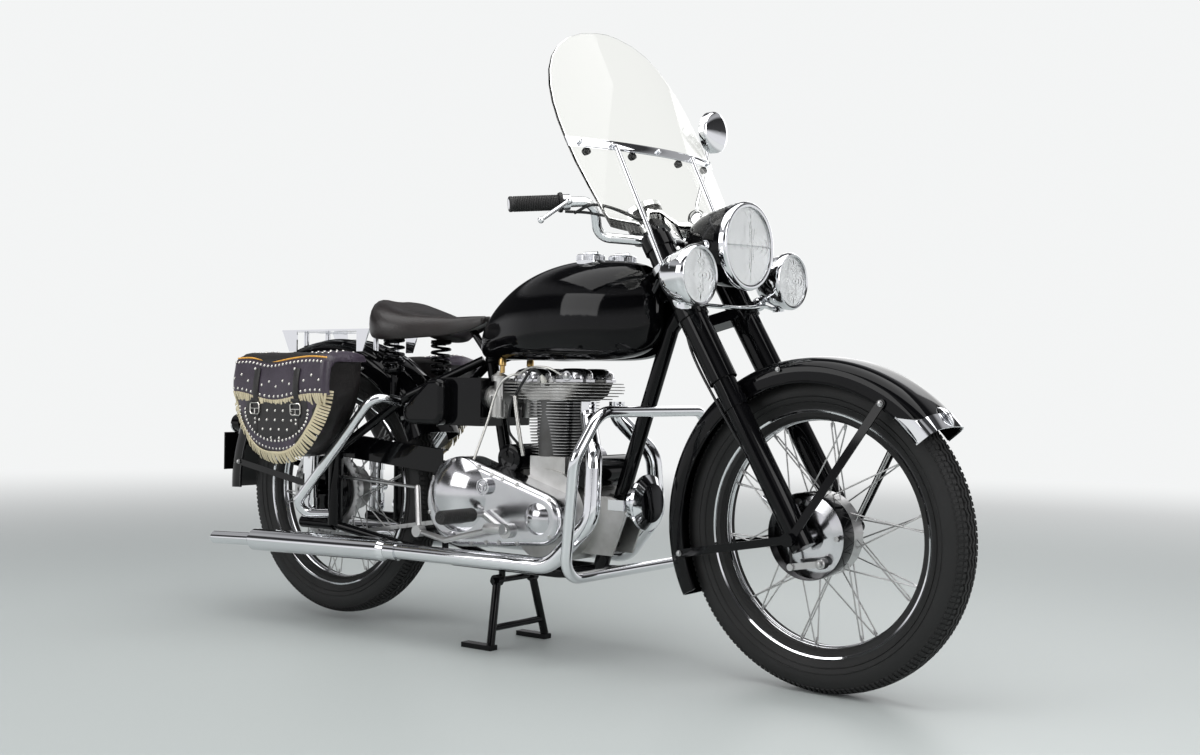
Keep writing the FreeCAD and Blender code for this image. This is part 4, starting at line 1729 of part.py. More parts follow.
def frame_parts():
    return {
        "main_frame": main_frame(), "plunger_units": plunger_units(),
        "rear_brake_plate": brake_plate(REAR_AXLE, -1, REAR_DRUM_OUT, PLUNGER_FACE, REAR_ARM_DEG, REAR_ARM),
        "crankcase": crankcase(), "cylinder_barrels": barrels(), "cylinder_heads": heads(),
        "outer_cover": outer_cover(), "timing_cover": timing_cover(), "magneto": magneto(),
        "dynamo": dynamo(),
        "engine_plates": engine_plates(), "carburettors": carburettors(),
        "exhausts": group([exhaust(-1), exhaust(1)]), "fuel_tank": fuel_tank(), "tank_caps": tank_caps(),
        "saddle": saddle(), "saddle_springs": saddle_springs(), "rear_mudguard": rear_mudguard(),
        "number_plate": number_plate(), "tail_lamp": tail_lamp(), "luggage_rack": luggage_rack(),
        "pannier_right": pannier(-1), "pannier_left": pannier(1), "bag_bars": bag_bars(),
        "battery_box": battery_box(), "tool_box": tool_box(), "oil_tank": oil_tank(),
        "crash_bar": crash_bar(),
        "horn": horn(), "drive_chain": drive_chain(), "chain_guard": chain_guard(), "footrests": footrests(),
        "footrest_rubbers": footrest_rubbers(), "foot_levers": foot_levers(), "kick_starter": kick_starter(),
    }


def steering_parts():
    return {
        "fork_legs": fork_legs(), "fork_yokes": fork_yokes(), "headlamp": headlamp(),
        "fog_lamps": fog_lamps(), "handlebar": handlebar(), "grips": grips(),
        "control_levers": control_levers(), "mirror": mirror_glass(), "speedometer": speedometer(),
        "windscreen": windscreen(), "screen_frame": screen_frame(), "front_mudguard": front_mudguard(),
        "front_brake_plate": brake_plate(FRONT_AXLE, -1, FRONT_DRUM_OUT, FORK_FACE, FRONT_ARM_DEG, FRONT_ARM),
    }


def front_wheel_parts():
    return {"front_tyre": tyre(FRONT_AXLE), "front_rim": rim(FRONT_AXLE),
            "front_hub": hub(FRONT_AXLE, -1, FRONT_DRUM_OUT)}


def rear_wheel_parts():
    return {"rear_tyre": tyre(REAR_AXLE), "rear_rim": rim(REAR_AXLE),
            "rear_hub": hub(REAR_AXLE, -1, REAR_DRUM_OUT), "rear_sprocket": sprocket()}


def all_parts():
    """Every node in place, with the zero point at the bottom centre of the whole box."""
    parts = frame_parts()
    for family in (steering_parts(), front_wheel_parts()):
        parts.update({name: steered(shape) for name, shape in family.items()})
    parts.update(rear_wheel_parts())
    parts["centre_stand"] = centre_stand()
    boxes = [shape.optimalBoundingBox(False) for shape in parts.values()]
    ends = min(box.XMin for box in boxes) + max(box.XMax for box in boxes)
    sides = min(box.YMin for box in boxes) + max(box.YMax for box in boxes)
    shift = V(-ends / 2, -sides / 2, -min(box.ZMin for box in boxes))
    for shape in parts.values():
        shape.translate(shift)
    return parts, shift


def main():
    parts, shift = all_parts()
    os.makedirs("parts", exist_ok=True)
    for name, shape in parts.items():
        shape.exportStep("parts/%s.step" % name)
    print("pieces", len(parts), "shift", shift)


if __name__ == "__main__":
    main()
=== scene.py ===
# %% [markdown]
# This lesson dresses a solo motorcycle of about 1950. The construction is already there as named solids, and
# this file adds what the eye looks for: tread, spoke nipples, studded bags, lamp glasses, cables and finishes.
# The frame comes in first.
# Nothing that is added may make the machine much larger.

# %% Load the construction
import json
import math

import bmesh
import bpy
from mathutils import Matrix, Vector, noise
from mathutils.bvhtree import BVHTree


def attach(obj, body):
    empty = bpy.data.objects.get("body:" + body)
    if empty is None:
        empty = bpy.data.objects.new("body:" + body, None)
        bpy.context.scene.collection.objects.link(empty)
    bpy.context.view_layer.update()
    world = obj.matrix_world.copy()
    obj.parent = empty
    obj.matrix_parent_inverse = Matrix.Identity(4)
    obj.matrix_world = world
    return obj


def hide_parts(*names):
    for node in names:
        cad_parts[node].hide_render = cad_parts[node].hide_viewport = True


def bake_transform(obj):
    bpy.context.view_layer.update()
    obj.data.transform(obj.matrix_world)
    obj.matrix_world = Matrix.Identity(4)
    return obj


noise.seed_set(7)  # without a seed the folds would differ from run to run

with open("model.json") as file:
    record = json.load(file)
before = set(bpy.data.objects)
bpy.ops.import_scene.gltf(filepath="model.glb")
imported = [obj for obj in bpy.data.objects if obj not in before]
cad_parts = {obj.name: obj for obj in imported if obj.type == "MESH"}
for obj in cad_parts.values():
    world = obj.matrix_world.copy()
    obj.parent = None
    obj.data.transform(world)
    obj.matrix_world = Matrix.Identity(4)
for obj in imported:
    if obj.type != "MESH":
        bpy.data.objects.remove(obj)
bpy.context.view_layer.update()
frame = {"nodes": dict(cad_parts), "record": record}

# %% [markdown]
# Finishes are named after what they are on the real machine. Each one is a Principled shader with its plain
# numbers on its own sockets. What varies over a surface, such as dust, grain or fine scratches, comes from
# two shared node groups, so that the same idea is tuned once and used on many finishes.

# %% Shared surface groups
def add_node(tree, kind, inputs=None, **settings):
    """A node with its settings; an input is either a plain value or the socket that feeds it."""
    node = tree.nodes.new(kind)
    for name, value in settings.items():
        setattr(node, name, value)
    for label, value in (inputs or {}).items():
        if isinstance(value, bpy.types.NodeSocket):
            tree.links.new(value, node.inputs[label])
        else:
            node.inputs[label].default_value = value
    return node


def new_group(name, inputs, outputs):
    """A shader group with its sockets, and the sockets as seen from inside it."""
    group = bpy.data.node_groups.new(name, "ShaderNodeTree")
    for label, kind, value in inputs:
        group.interface.new_socket(name=label, in_out="INPUT", socket_type=kind).default_value = value
    for label, kind in outputs:
        group.interface.new_socket(name=label, in_out="OUTPUT", socket_type=kind)
    return group, group.nodes.new("NodeGroupInput").outputs, group.nodes.new("NodeGroupOutput").inputs


def object_noise(group, scale, detail=4.0):
    coords = add_node(group, "ShaderNodeTexCoord")
    return add_node(group, "ShaderNodeTexNoise", {"Vector": coords.outputs["Object"], "Scale": scale,
                                                  "Detail": detail, "Roughness": 0.6})


def make_mottle():
    """A colour and a roughness that drift gently over the surface."""
    group, given, result = new_group(
        "mottle",
        [("Colour", "NodeSocketColor", (0.5, 0.5, 0.5, 1)), ("Worn Colour", "NodeSocketColor", (0.4, 0.4, 0.4, 1)),
         ("Scale", "NodeSocketFloat", 12.0), ("Amount", "NodeSocketFloat", 0.4),
         ("Rough Low", "NodeSocketFloat", 0.2), ("Rough High", "NodeSocketFloat", 0.4)],
        [("Colour", "NodeSocketColor"), ("Roughness", "NodeSocketFloat")])
    drift = object_noise(group, given["Scale"])
    spread = add_node(group, "ShaderNodeMapRange", {"Value": drift.outputs["Fac"], "From Min": 0.35, "From Max": 0.7})
    share = add_node(group, "ShaderNodeMath", {0: spread.outputs["Result"], 1: given["Amount"]}, operation="MULTIPLY")
    mix = add_node(group, "ShaderNodeMix", {"Factor": share.outputs["Value"], "A": given["Colour"],
                                            "B": given["Worn Colour"]}, data_type="RGBA")
    rough = add_node(group, "ShaderNodeMapRange", {"Value": spread.outputs["Result"], "To Min": given["Rough Low"],
                                                   "To Max": given["Rough High"]})
    group.links.new(mix.outputs["Result"], result["Colour"])
    group.links.new(rough.outputs["Result"], result["Roughness"])
    return group


def make_grain():
    """Height of a pebbled hide or of a sand-cast skin."""
    group, given, result = new_group(
        "grain", [("Scale", "NodeSocketFloat", 300.0), ("Cells", "NodeSocketFloat", 0.6)],
        [("Height", "NodeSocketFloat")])
    coords = add_node(group, "ShaderNodeTexCoord")
    cells = add_node(group, "ShaderNodeTexVoronoi", {"Vector": coords.outputs["Object"], "Scale": given["Scale"]})
    skin = object_noise(group, given["Scale"], 3.0)
    mix = add_node(group, "ShaderNodeMix", {"Factor": given["Cells"], "A": skin.outputs["Fac"],
                                            "B": cells.outputs["Distance"]})
    group.links.new(mix.outputs["Result"], result["Height"])
    return group


MOTTLE = make_mottle()
GRAIN = make_grain()
print("shared groups:", [g.name for g in bpy.data.node_groups])

# %% [markdown]
# One helper then builds every finish. It sets the fixed numbers, and adds drift and grain only where the real
# surface has them: enamel and plate are even, leather and castings are not. Each row of the table gives colour,
# roughness and metal, then the worn colour with the drift's scale, share and roughness, then the grain's scale,
# height and share of cells.

# %% Finishes
GRAIN_HEIGHT = 0.001
FINISH_ROWS = [
    ("chrome_plate", (0.80, 0.81, 0.83), 0.05, 1.0),
    ("nickel_plate", (0.72, 0.70, 0.66), 0.16, 1.0),
    ("grille_plate", (0.72, 0.72, 0.73), 0.32, 0.7),
    ("polished_alloy", (0.66, 0.66, 0.68), 0.12, 1.0, (0.52, 0.52, 0.54), 9.0, 0.5, 0.22),
    ("cast_alloy", (0.56, 0.56, 0.55), 0.38, 1.0, (0.36, 0.35, 0.33), 14.0, 0.6, 0.55, 420.0, 0.25, 0.3),
    ("barrel_iron", (0.11, 0.11, 0.11), 0.5, 0.6, (0.07, 0.065, 0.06), 20.0, 0.6, 0.65, 500.0, 0.2, 0.2),
    ("bright_steel", (0.55, 0.55, 0.55), 0.28, 1.0, (0.4, 0.39, 0.38), 16.0, 0.5, 0.4),
    ("oil_pipe", (0.62, 0.61, 0.58), 0.3, 1.0),
    ("brass_fitting", (0.60, 0.40, 0.15), 0.3, 1.0),
    ("saddle_leather", (0.009, 0.0068, 0.0066), 0.28, 0.0, (0.022, 0.0165, 0.0155), 7.0, 0.7, 0.5, 260.0, 0.35, 0.7),
    ("bag_leather", (0.030, 0.018, 0.022), 0.36, 0.0, (0.06, 0.042, 0.045), 9.0, 0.6, 0.5, 240.0, 0.45, 0.7),
    ("purple_hide", (0.030, 0.022, 0.034), 0.30, 0.0, (0.066, 0.052, 0.076), 9.0, 0.75, 0.5, 240.0, 0.4, 0.7),
    ("dark_hide", (0.009, 0.008, 0.008), 0.34, 0.0, (0.022, 0.019, 0.019), 9.0, 0.6, 0.52, 260.0, 0.4, 0.7),
    ("fringe_hide", (0.70, 0.62, 0.43), 0.6, 0.0, (0.60, 0.50, 0.32), 30.0, 0.5, 0.7),
    ("piping_hide", (0.72, 0.36, 0.06), 0.45),
    ("black_rubber", (0.008, 0.008, 0.008), 0.5, 0.0, (0.014, 0.013, 0.013), 14.0, 0.5, 0.6),
    ("tyre_rubber", (0.006, 0.006, 0.006), 0.62, 0.0, (0.012, 0.0115, 0.0115), 10.0, 0.5, 0.75, 350.0, 0.2, 0.2),
    ("cable_black", (0.012, 0.012, 0.013), 0.42),
    ("plug_body", (0.78, 0.76, 0.70), 0.3),
    ("dial_white", (0.8, 0.8, 0.76), 0.5),
    ("silvered_bowl", (0.93, 0.93, 0.94), 0.42, 0.85),
    ("mirror_glass", (0.88, 0.89, 0.90), 0.015, 1.0),
    ("bulb_glass", (0.85, 0.84, 0.78), 0.15),
]
GLOSSY_ROWS = [
    ("black_enamel", (0.0025, 0.0025, 0.003), 0.06, {"IOR": 1.42, "Specular IOR Level": 0.28}),
    ("screen_sheet", (0.995, 0.995, 0.965), 0.02, {"IOR": 1.12, "Transmission Weight": 1.0}),
    ("lamp_glass", (0.97, 0.98, 0.98), 0.02, {"IOR": 1.45, "Transmission Weight": 1.0}),
    ("tail_glass", (0.42, 0.02, 0.015), 0.12, {"IOR": 1.45}),
]


def finish(name, colour, rough, metal=0.0, worn=None, drift=12.0, amount=0.4, rough_high=0.4, grain=None,
           bump=0.0, cells=0.6, more=None):
    material = bpy.data.materials.new(name)
    material.use_nodes = True
    tree = material.node_tree
    shader = tree.nodes["Principled BSDF"].inputs
    for label, value in {"Base Color": (*colour, 1), "Roughness": rough, "Metallic": metal, **(more or {})}.items():
        shader[label].default_value = value
    if worn is not None:
        mottle = add_node(tree, "ShaderNodeGroup", node_tree=MOTTLE)
        for label, value in (("Colour", (*colour, 1)), ("Worn Colour", (*worn, 1)), ("Scale", drift),
                             ("Amount", amount), ("Rough Low", rough), ("Rough High", rough_high)):
            mottle.inputs[label].default_value = value
        tree.links.new(mottle.outputs["Colour"], shader["Base Color"])
        tree.links.new(mottle.outputs["Roughness"], shader["Roughness"])
    if grain is not None:
        height = add_node(tree, "ShaderNodeGroup", node_tree=GRAIN)
        height.inputs["Scale"].default_value, height.inputs["Cells"].default_value = grain, cells
        lift = add_node(tree, "ShaderNodeBump", {"Strength": bump, "Distance": GRAIN_HEIGHT,
                                                 "Height": height.outputs["Height"]})
        tree.links.new(lift.outputs["Normal"], shader["Normal"])
    return material


FINISH = {row[0]: finish(*row) for row in FINISH_ROWS}
FINISH.update({name: finish(name, colour, rough, more=more) for name, colour, rough, more in GLOSSY_ROWS})
SLOT_OF = {row["node"]: row["material_slot"] for row in frame["record"]["subparts"]}
for node, obj in frame["nodes"].items():
    obj.data.materials.clear()
    obj.data.materials.append(FINISH[SLOT_OF[node]])
print("finishes:", len(FINISH), "nodes dressed:", len(SLOT_OF))

# %% [markdown]
# The floor is one plain pale sheet. Further off it fades into the white of the background, as in a studio, and it
# does so on every side, so that the machine can be looked at from all round. The camera stands where the
# photographer stood: low, at the right front. Large soft lamps give long highlights on enamel and plate, which
# show their shape better than small hard ones do. Mirrors and plate also see dark bands overhead, which make
# chrome look like chrome.

# %% Studio
FLOOR_REACH = 60.0
FLOOR_SIDES = 64
FADE_START, FADE_STOP = 1.6, 7.5
BACKGROUND = (0.90, 0.91, 0.91, 1)
PHOTO_WIDTH, FOCAL_LENGTH, VIEW_RISE = 1200, 1382, 9.9
SENSOR = 36.0
VIEW_TURN, VIEW_ROLL = math.radians(36.61), math.radians(0.77)
CAMERA_PLACE = Vector((2.104065, -2.578955, 0.6243))
SOFTBOXES = [
    ("top_softbox", (0.3, -0.4, 3.4), (0, 0, 0.4), (5.0, 3.0), 120),
    ("front_softbox", (4.2, -1.2, 2.2), (0, 0, 0.5), (2.4, 2.4), 60),
    ("right_softbox", (-1.6, -4.4, 2.4), (0, 0, 0.5), (3.4, 2.0), 70),
    ("left_softbox", (-0.5, 4.0, 2.2), (0, 0, 0.6), (3.0, 2.0), 30),
]
SKY_STOPS = [(0.45, (0.15, 0.16, 0.16, 1)), (0.52, (0.60, 0.61, 0.62, 1)), (0.85, (0.41, 0.42, 0.44, 1))]
BAND_GREYS = [(0.47, 0.60), (0.50, 0.90), (0.56, 0.86), (0.60, 0.05), (0.70, 0.03), (0.74, 0.46), (0.80, 0.38),
              (0.84, 0.04)]
BAND_STOPS = ([(0.0, (0.30, 0.31, 0.31, 1))] + [(place, (grey, grey, grey * 1.03, 1)) for place, grey in BAND_GREYS]
              + [(1.0, (0.08, 0.08, 0.09, 1))])


def new_object(name, data):
    obj = bpy.data.objects.new(name, data)
    bpy.context.scene.collection.objects.link(obj)
    return obj


def seen_by(tree, *kinds):
    """1 for rays of these kinds, and 0 for all others."""
    path = add_node(tree, "ShaderNodeLightPath")
    seen = path.outputs[kinds[0]]
    for kind in kinds[1:]:
        seen = add_node(tree, "ShaderNodeMath", {0: seen, 1: path.outputs[kind]},
                        operation="MAXIMUM").outputs["Value"]
    return seen


def make_floor_finish():
    """Pale grey near the machine, and the background's own white further off, so that no edge shows."""
    material = finish("studio_floor", (0.44, 0.47, 0.46), 0.45)
    tree = material.node_tree
    coords = add_node(tree, "ShaderNodeTexCoord")
    away = add_node(tree, "ShaderNodeVectorMath", {0: coords.outputs["Object"]}, operation="LENGTH")
    fade = add_node(tree, "ShaderNodeMapRange", {"Value": away.outputs["Value"], "From Min": FADE_START,
                                                 "From Max": FADE_STOP}, interpolation_type="SMOOTHSTEP")
    seen = seen_by(tree, "Is Camera Ray", "Is Glossy Ray", "Is Transmission Ray")
    share = add_node(tree, "ShaderNodeMath", {0: fade.outputs["Result"], 1: seen}, operation="MULTIPLY")
    glow = add_node(tree, "ShaderNodeEmission", {"Color": BACKGROUND})
    mix = add_node(tree, "ShaderNodeMixShader", {"Fac": share.outputs["Value"],
                                                 1: tree.nodes["Principled BSDF"].outputs["BSDF"],
                                                 2: glow.outputs["Emission"]})
    tree.links.new(mix.outputs["Shader"], tree.nodes["Material Output"].inputs["Surface"])
    return material


def make_floor():
    mesh = bpy.data.meshes.new("floor")
    ring = [math.tau * k / FLOOR_SIDES for k in range(FLOOR_SIDES)]
    mesh.from_pydata([(math.cos(a) * FLOOR_REACH, math.sin(a) * FLOOR_REACH, 0) for a in ring], [],
                     [tuple(range(FLOOR_SIDES))])
    mesh.materials.append(make_floor_finish())
    new_object("floor", mesh)


def make_camera():
    data = bpy.data.cameras.new("camera")
    data.sensor_width = SENSOR
    data.lens = SENSOR * FOCAL_LENGTH / PHOTO_WIDTH
    data.shift_y = VIEW_RISE / PHOTO_WIDTH
    camera = new_object("camera", data)
    up = Vector((0, 0, 1))
    ahead = Vector((-math.sin(VIEW_TURN), math.cos(VIEW_TURN), 0))
    right = ahead.cross(up) * math.cos(VIEW_ROLL) + up * math.sin(VIEW_ROLL)
    turn = Matrix((right, right.cross(ahead), -ahead)).transposed().to_4x4()
    camera.matrix_world = Matrix.Translation(CAMERA_PLACE) @ turn
    bpy.context.scene.camera = camera
    print("camera at", [round(c, 3) for c in CAMERA_PLACE], "lens", round(data.lens, 2))


def softbox(name, place, target, size, watts):
    data = bpy.data.lights.new(name, "AREA")
    data.shape = "RECTANGLE"
    data.size, data.size_y = size
    data.energy = watts
    lamp = new_object(name, data)
    lamp.location = place
    lamp.rotation_euler = (Vector(target) - Vector(place)).to_track_quat("-Z", "Y").to_euler()


def colour_ramp(tree, factor, stops):
    ramp = add_node(tree, "ShaderNodeValToRGB", {"Fac": factor})
    elements = ramp.color_ramp.elements
    elements[0].position, elements[0].color = stops[0]
    elements[1].position, elements[1].color = stops[-1]
    for place, colour in stops[1:-1]:
        elements.new(place).color = colour
    return ramp.outputs["Color"]


def make_world():
    """Even soft light; plate sees bands, and the camera and clear sheets see the plain background."""
    world = bpy.data.worlds.new("studio")
    bpy.context.scene.world = world
    world.use_nodes = True
    tree = world.node_tree
    coords = add_node(tree, "ShaderNodeTexCoord")
    parts = add_node(tree, "ShaderNodeSeparateXYZ", {"Vector": coords.outputs["Generated"]})
    rise = add_node(tree, "ShaderNodeMapRange", {"Value": parts.outputs["Z"], "From Min": -1.0}).outputs["Result"]
    light = add_node(tree, "ShaderNodeMix", {"Factor": seen_by(tree, "Is Glossy Ray"),
                                             "A": colour_ramp(tree, rise, SKY_STOPS),
                                             "B": colour_ramp(tree, rise, BAND_STOPS)}, data_type="RGBA")
    shown = add_node(tree, "ShaderNodeMix", {"Factor": seen_by(tree, "Is Camera Ray", "Is Transmission Ray"),
                                             "A": light.outputs["Result"], "B": BACKGROUND}, data_type="RGBA")
    tree.links.new(shown.outputs["Result"], tree.nodes["Background"].inputs["Color"])


make_floor()
make_camera()
for row in SOFTBOXES:
    softbox(*row)
make_world()
bpy.context.scene.view_settings.view_transform = "Standard"

# %% [markdown]
# The construction is measured in millimetres behind the front axle, to the left of the middle and above the
# floor. `at` turns such numbers into the scene's metres, and `mm` does so for the outline of a turned part. The
# front end is parked with the bars turned a little, so what belongs to it goes through the matrix STEER too.

# %% Places and a small mesh builder
MM = 0.001
MERGE = 1e-6
SHIFT = Vector((0.776065, -0.004655, 0.0))
STEER_AXIS = Vector((-0.5, 0.0, 0.8660254))
STEER_REST = math.radians(-3.7)
X, Y, Z = Vector((1, 0, 0)), Vector((0, 1, 0)), Vector((0, 0, 1))


def at(back, side, height):
    return SHIFT + Vector((-back, side, height)) * MM


STEER_BASE = at(73.9, 0, 330)
STEER = (Matrix.Translation(STEER_BASE) @ Matrix.Rotation(STEER_REST, 4, STEER_AXIS)
         @ Matrix.Translation(-STEER_BASE))
FRONT_WHEEL = STEER @ Matrix.Translation(at(0, 0, 330))
REAR_WHEEL = Matrix.Translation(at(1433.85, 0, 345))


def mm(*numbers):
    """Pairs in metres from along, radius, along, radius and so on in millimetres."""
    return [(a * MM, b * MM) for a, b in zip(numbers[::2], numbers[1::2])]


def circle(count):
    return [(math.cos(math.tau * k / count), math.sin(math.tau * k / count)) for k in range(count)]


def wheel_way(angle):
    """The direction at an angle in a wheel's plane, measured up from ahead."""
    return Vector((math.cos(angle), 0, math.sin(angle)))


def frame_of(axis, hint=Z):
    """Two unit vectors square to an axis."""
    axis = axis.normalized()
    across = hint.cross(axis)
    if across.length < 1e-4:
        across = Y.cross(axis) if abs(axis.y) < 0.9 else X.cross(axis)
    across.normalize()
    return across, axis.cross(across)


class Shape:
    """Collects closed shells, then becomes one mesh object."""

    def __init__(self):
        self.verts, self.faces, self.slots = [], [], []

    def add(self, verts, faces, slot=0):
        base = len(self.verts)
        self.verts += [Vector(v) for v in verts]
        self.faces += [tuple(base + i for i in face) for face in faces]
        self.slots += [slot] * len(faces)
        return self

    def loft(self, rings, slot=0, caps=True):
        """Skin over closed rings that all have the same number of points."""
        count = len(rings[0])
        faces = [(r * count + i, r * count + (i + 1) % count, (r + 1) * count + (i + 1) % count,
                  (r + 1) * count + i) for r in range(len(rings) - 1) for i in range(count)]
        if caps:
            faces += [tuple(range(count))[::-1], tuple((len(rings) - 1) * count + i for i in range(count))]
        return self.add([v for ring in rings for v in ring], faces, slot)

    def tube(self, points, radius, sides=10, slot=0, closed=False):
        """A round bar along points; radius may be one number or one per point."""
        points = [Vector(p) for p in points]
        radii = radius if isinstance(radius, (list, tuple)) else [radius] * len(points)
        rings, across = [], None
        for i, point in enumerate(points):
            before = points[i - 1] if i or closed else points[i]
            after = points[(i + 1) % len(points)] if i < len(points) - 1 or closed else points[i]
            axis = (after - before).normalized()
            if across is None:
                across, _ = frame_of(axis)
            across = (across - axis * across.dot(axis)).normalized()
            up = axis.cross(across)
            rings.append([point + (across * c + up * s) * radii[i] for c, s in circle(sides)])
        if closed:
            rings.append(rings[0])
        return self.loft(rings, slot, not closed)

    def lathe(self, origin, axis, profile, steps=48, slot=0, closed=False):
        """Turns (along, radius) points round an axis; a closed profile makes a ring."""
        across, up = frame_of(Vector(axis))
        axis = Vector(axis).normalized()
        rings = [[Vector(origin) + axis * along + (across * c + up * s) * max(radius, MERGE) for c,
                  s in circle(steps)] for along, radius in profile + ([profile[0]] if closed else [])]
        return self.loft(rings, slot, not closed)

    def block(self, centre, size):
        half = Vector(size) / 2
        corners = [Vector((x * half.x, y * half.y, z * half.z)) for x in (-1, 1) for y in (-1, 1) for z in (-1, 1)]
        return self.add([Vector(centre) + c for c in corners],
                        [(0, 1, 3, 2), (4, 6, 7, 5), (0, 4, 5, 1), (2, 3, 7, 6), (0, 2, 6, 4), (1, 5, 7, 3)])

    def placed(self, matrix):
        self.verts = [matrix @ v for v in self.verts]
        return self

    def done(self, name, materials, sharp=35.0, solid=True):
        """The mesh object, with edges sharp above an angle in degrees."""
        mesh = bpy.data.meshes.new(name)
        mesh.from_pydata([tuple(v) for v in self.verts], [], self.faces)
        for material in materials:
            mesh.materials.append(FINISH[material])
        mesh.polygons.foreach_set("material_index", self.slots)
        work = bmesh.new()
        work.from_mesh(mesh)
        bmesh.ops.remove_doubles(work, verts=work.verts, dist=MERGE)
        bmesh.ops.dissolve_degenerate(work, edges=work.edges, dist=MERGE / 10)
        if solid:
            bmesh.ops.recalc_face_normals(work, faces=work.faces)
        work.to_mesh(mesh)
        work.free()
        smooth_shaded(mesh, sharp)
        return new_object(name, mesh)


def smooth_shaded(mesh, sharp):
    mesh.polygons.foreach_set("use_smooth", [True] * len(mesh.polygons))
    mesh.set_sharp_from_angle(angle=math.radians(sharp))


def fit(obj, body, slot, *nodes):
    """Sets a finished piece on its body and hides the nodes it stands for; the slot it is given is not used."""
    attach(obj, body)
    if nodes:
        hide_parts(*nodes)
    print(obj.name, "triangles", sum(len(p.vertices) - 2 for p in obj.data.polygons))
    return obj


# %% [markdown]
# Screws, studs, links, stitches and tread blocks all repeat. One geometry tree sets a small piece out at marks: a
# mark is a bare vertex that stores which way the piece faces, which way it runs and how far it is stretched. The
# tree turns each copy to those two directions, can sway it a little, and then makes everything one plain mesh.

# %% A tree that sets pieces out at marks
def make_marks_tree():
    tree = bpy.data.node_groups.new("set out at marks", "GeometryNodeTree")
    for label, kind in (("Geometry", "Geometry"), ("Piece", "Object"), ("Sway", "Float"), ("Seed", "Int"),
                        ("Finish", "Material")):
        tree.interface.new_socket(name=label, in_out="INPUT", socket_type="NodeSocket" + kind)
    tree.interface.new_socket(name="Geometry", in_out="OUTPUT", socket_type="NodeSocketGeometry")
    given = add_node(tree, "NodeGroupInput").outputs
    info = add_node(tree, "GeometryNodeObjectInfo", {"Object": given["Piece"]})
    facing, along, stretch = [
        add_node(tree, "GeometryNodeInputNamedAttribute", {"Name": label}, data_type="FLOAT_VECTOR")
        .outputs["Attribute"] for label in ("facing", "along", "stretch")]
    aim = add_node(tree, "FunctionNodeAxesToRotation", {"Primary Axis": facing, "Secondary Axis": along},
                   primary_axis="Z", secondary_axis="X")
    chance = add_node(tree, "FunctionNodeRandomValue", {"Min": (-1, -1, -1), "Max": (1, 1, 1), "Seed": given["Seed"]},
                      data_type="FLOAT_VECTOR")
    sway = add_node(tree, "ShaderNodeVectorMath", {0: chance.outputs["Value"], "Scale": given["Sway"]},
                    operation="SCALE")
    turn = add_node(tree, "FunctionNodeEulerToRotation", {"Euler": sway.outputs["Vector"]})
    rotate = add_node(tree, "FunctionNodeRotateRotation", {"Rotation": aim.outputs["Rotation"],
                                                           "Rotate By": turn.outputs["Rotation"]},
                      rotation_space="LOCAL")
    spread = add_node(tree, "GeometryNodeInstanceOnPoints", {
        "Points": given["Geometry"], "Instance": info.outputs["Geometry"], "Rotation": rotate.outputs["Rotation"],
        "Scale": stretch})
    real = add_node(tree, "GeometryNodeRealizeInstances", {"Geometry": spread.outputs["Instances"]})
    paint = add_node(tree, "GeometryNodeSetMaterial", {"Geometry": real.outputs["Geometry"],
                                                       "Material": given["Finish"]})
    add_node(tree, "NodeGroupOutput", {"Geometry": paint.outputs["Geometry"]})
    return tree


MARKS_TREE = make_marks_tree()


def set_out(name, marks, piece, material, sway=0.0, seed=1, sharp=35.0):
    """Copies of a Shape at marks; a mark is (place, facing, along), with (x, y, z) stretch if it has any."""
    model = piece.done(name + "_model", [material], sharp)
    mesh = bpy.data.meshes.new(name)
    mesh.from_pydata([tuple(mark[0]) for mark in marks], [], [])
    for index, label in ((1, "facing"), (2, "along"), (3, "stretch")):
        data = mesh.attributes.new(label, "FLOAT_VECTOR", "POINT").data
        for i, mark in enumerate(marks):
            data[i].vector = tuple(mark[index]) if len(mark) > index else (1, 1, 1)
    host = new_object(name, mesh)
    modifier = host.modifiers.new("set out", "NODES")
    modifier.node_group = MARKS_TREE
    values = {"Piece": model, "Sway": sway, "Seed": seed, "Finish": FINISH[material]}
    for item in MARKS_TREE.interface.items_tree:
        if item.in_out == "INPUT" and item.name in values:
            modifier[item.identifier] = values[item.name]
    bpy.context.view_layer.update()
    evaluated = host.evaluated_get(bpy.context.evaluated_depsgraph_get())
    result = bpy.data.meshes.new_from_object(evaluated)
    host.modifiers.clear()
    host.data = result
    result.name = name
    bpy.data.objects.remove(model)
    smooth_shaded(result, sharp)
    return host


def ring_marks(matrix, radius, count, side=0.0, phase=0.0):
    """Marks round a wheel's axle, facing outwards and running round it."""
    spin = matrix.to_3x3()
    angles = [math.tau * (i + phase) / count for i in range(count)]
    return [(matrix @ (wheel_way(a) * radius + Y * side), spin @ wheel_way(a), spin @ wheel_way(a + math.pi / 2))
            for a in angles]


def smooth_line(points, steps=8):
    """A smooth curve through the points."""
    points = [Vector(p) for p in points]
    out = []
    for i in range(len(points) - 1):
        p1, p2 = points[i], points[i + 1]
        p0 = points[i - 1] if i else p1 * 2 - p2
        p3 = points[i + 2] if i + 2 < len(points) else p2 * 2 - p1
        for k in range(steps):
            t = k / steps
            out.append(((p1 * 2) + (p2 - p0) * t + (p0 * 2 - p1 * 5 + p2 * 4 - p3) * t * t
                        + (p1 * 3 - p0 - p2 * 3 + p3) * t * t * t) * 0.5)
    return out + [points[-1]]


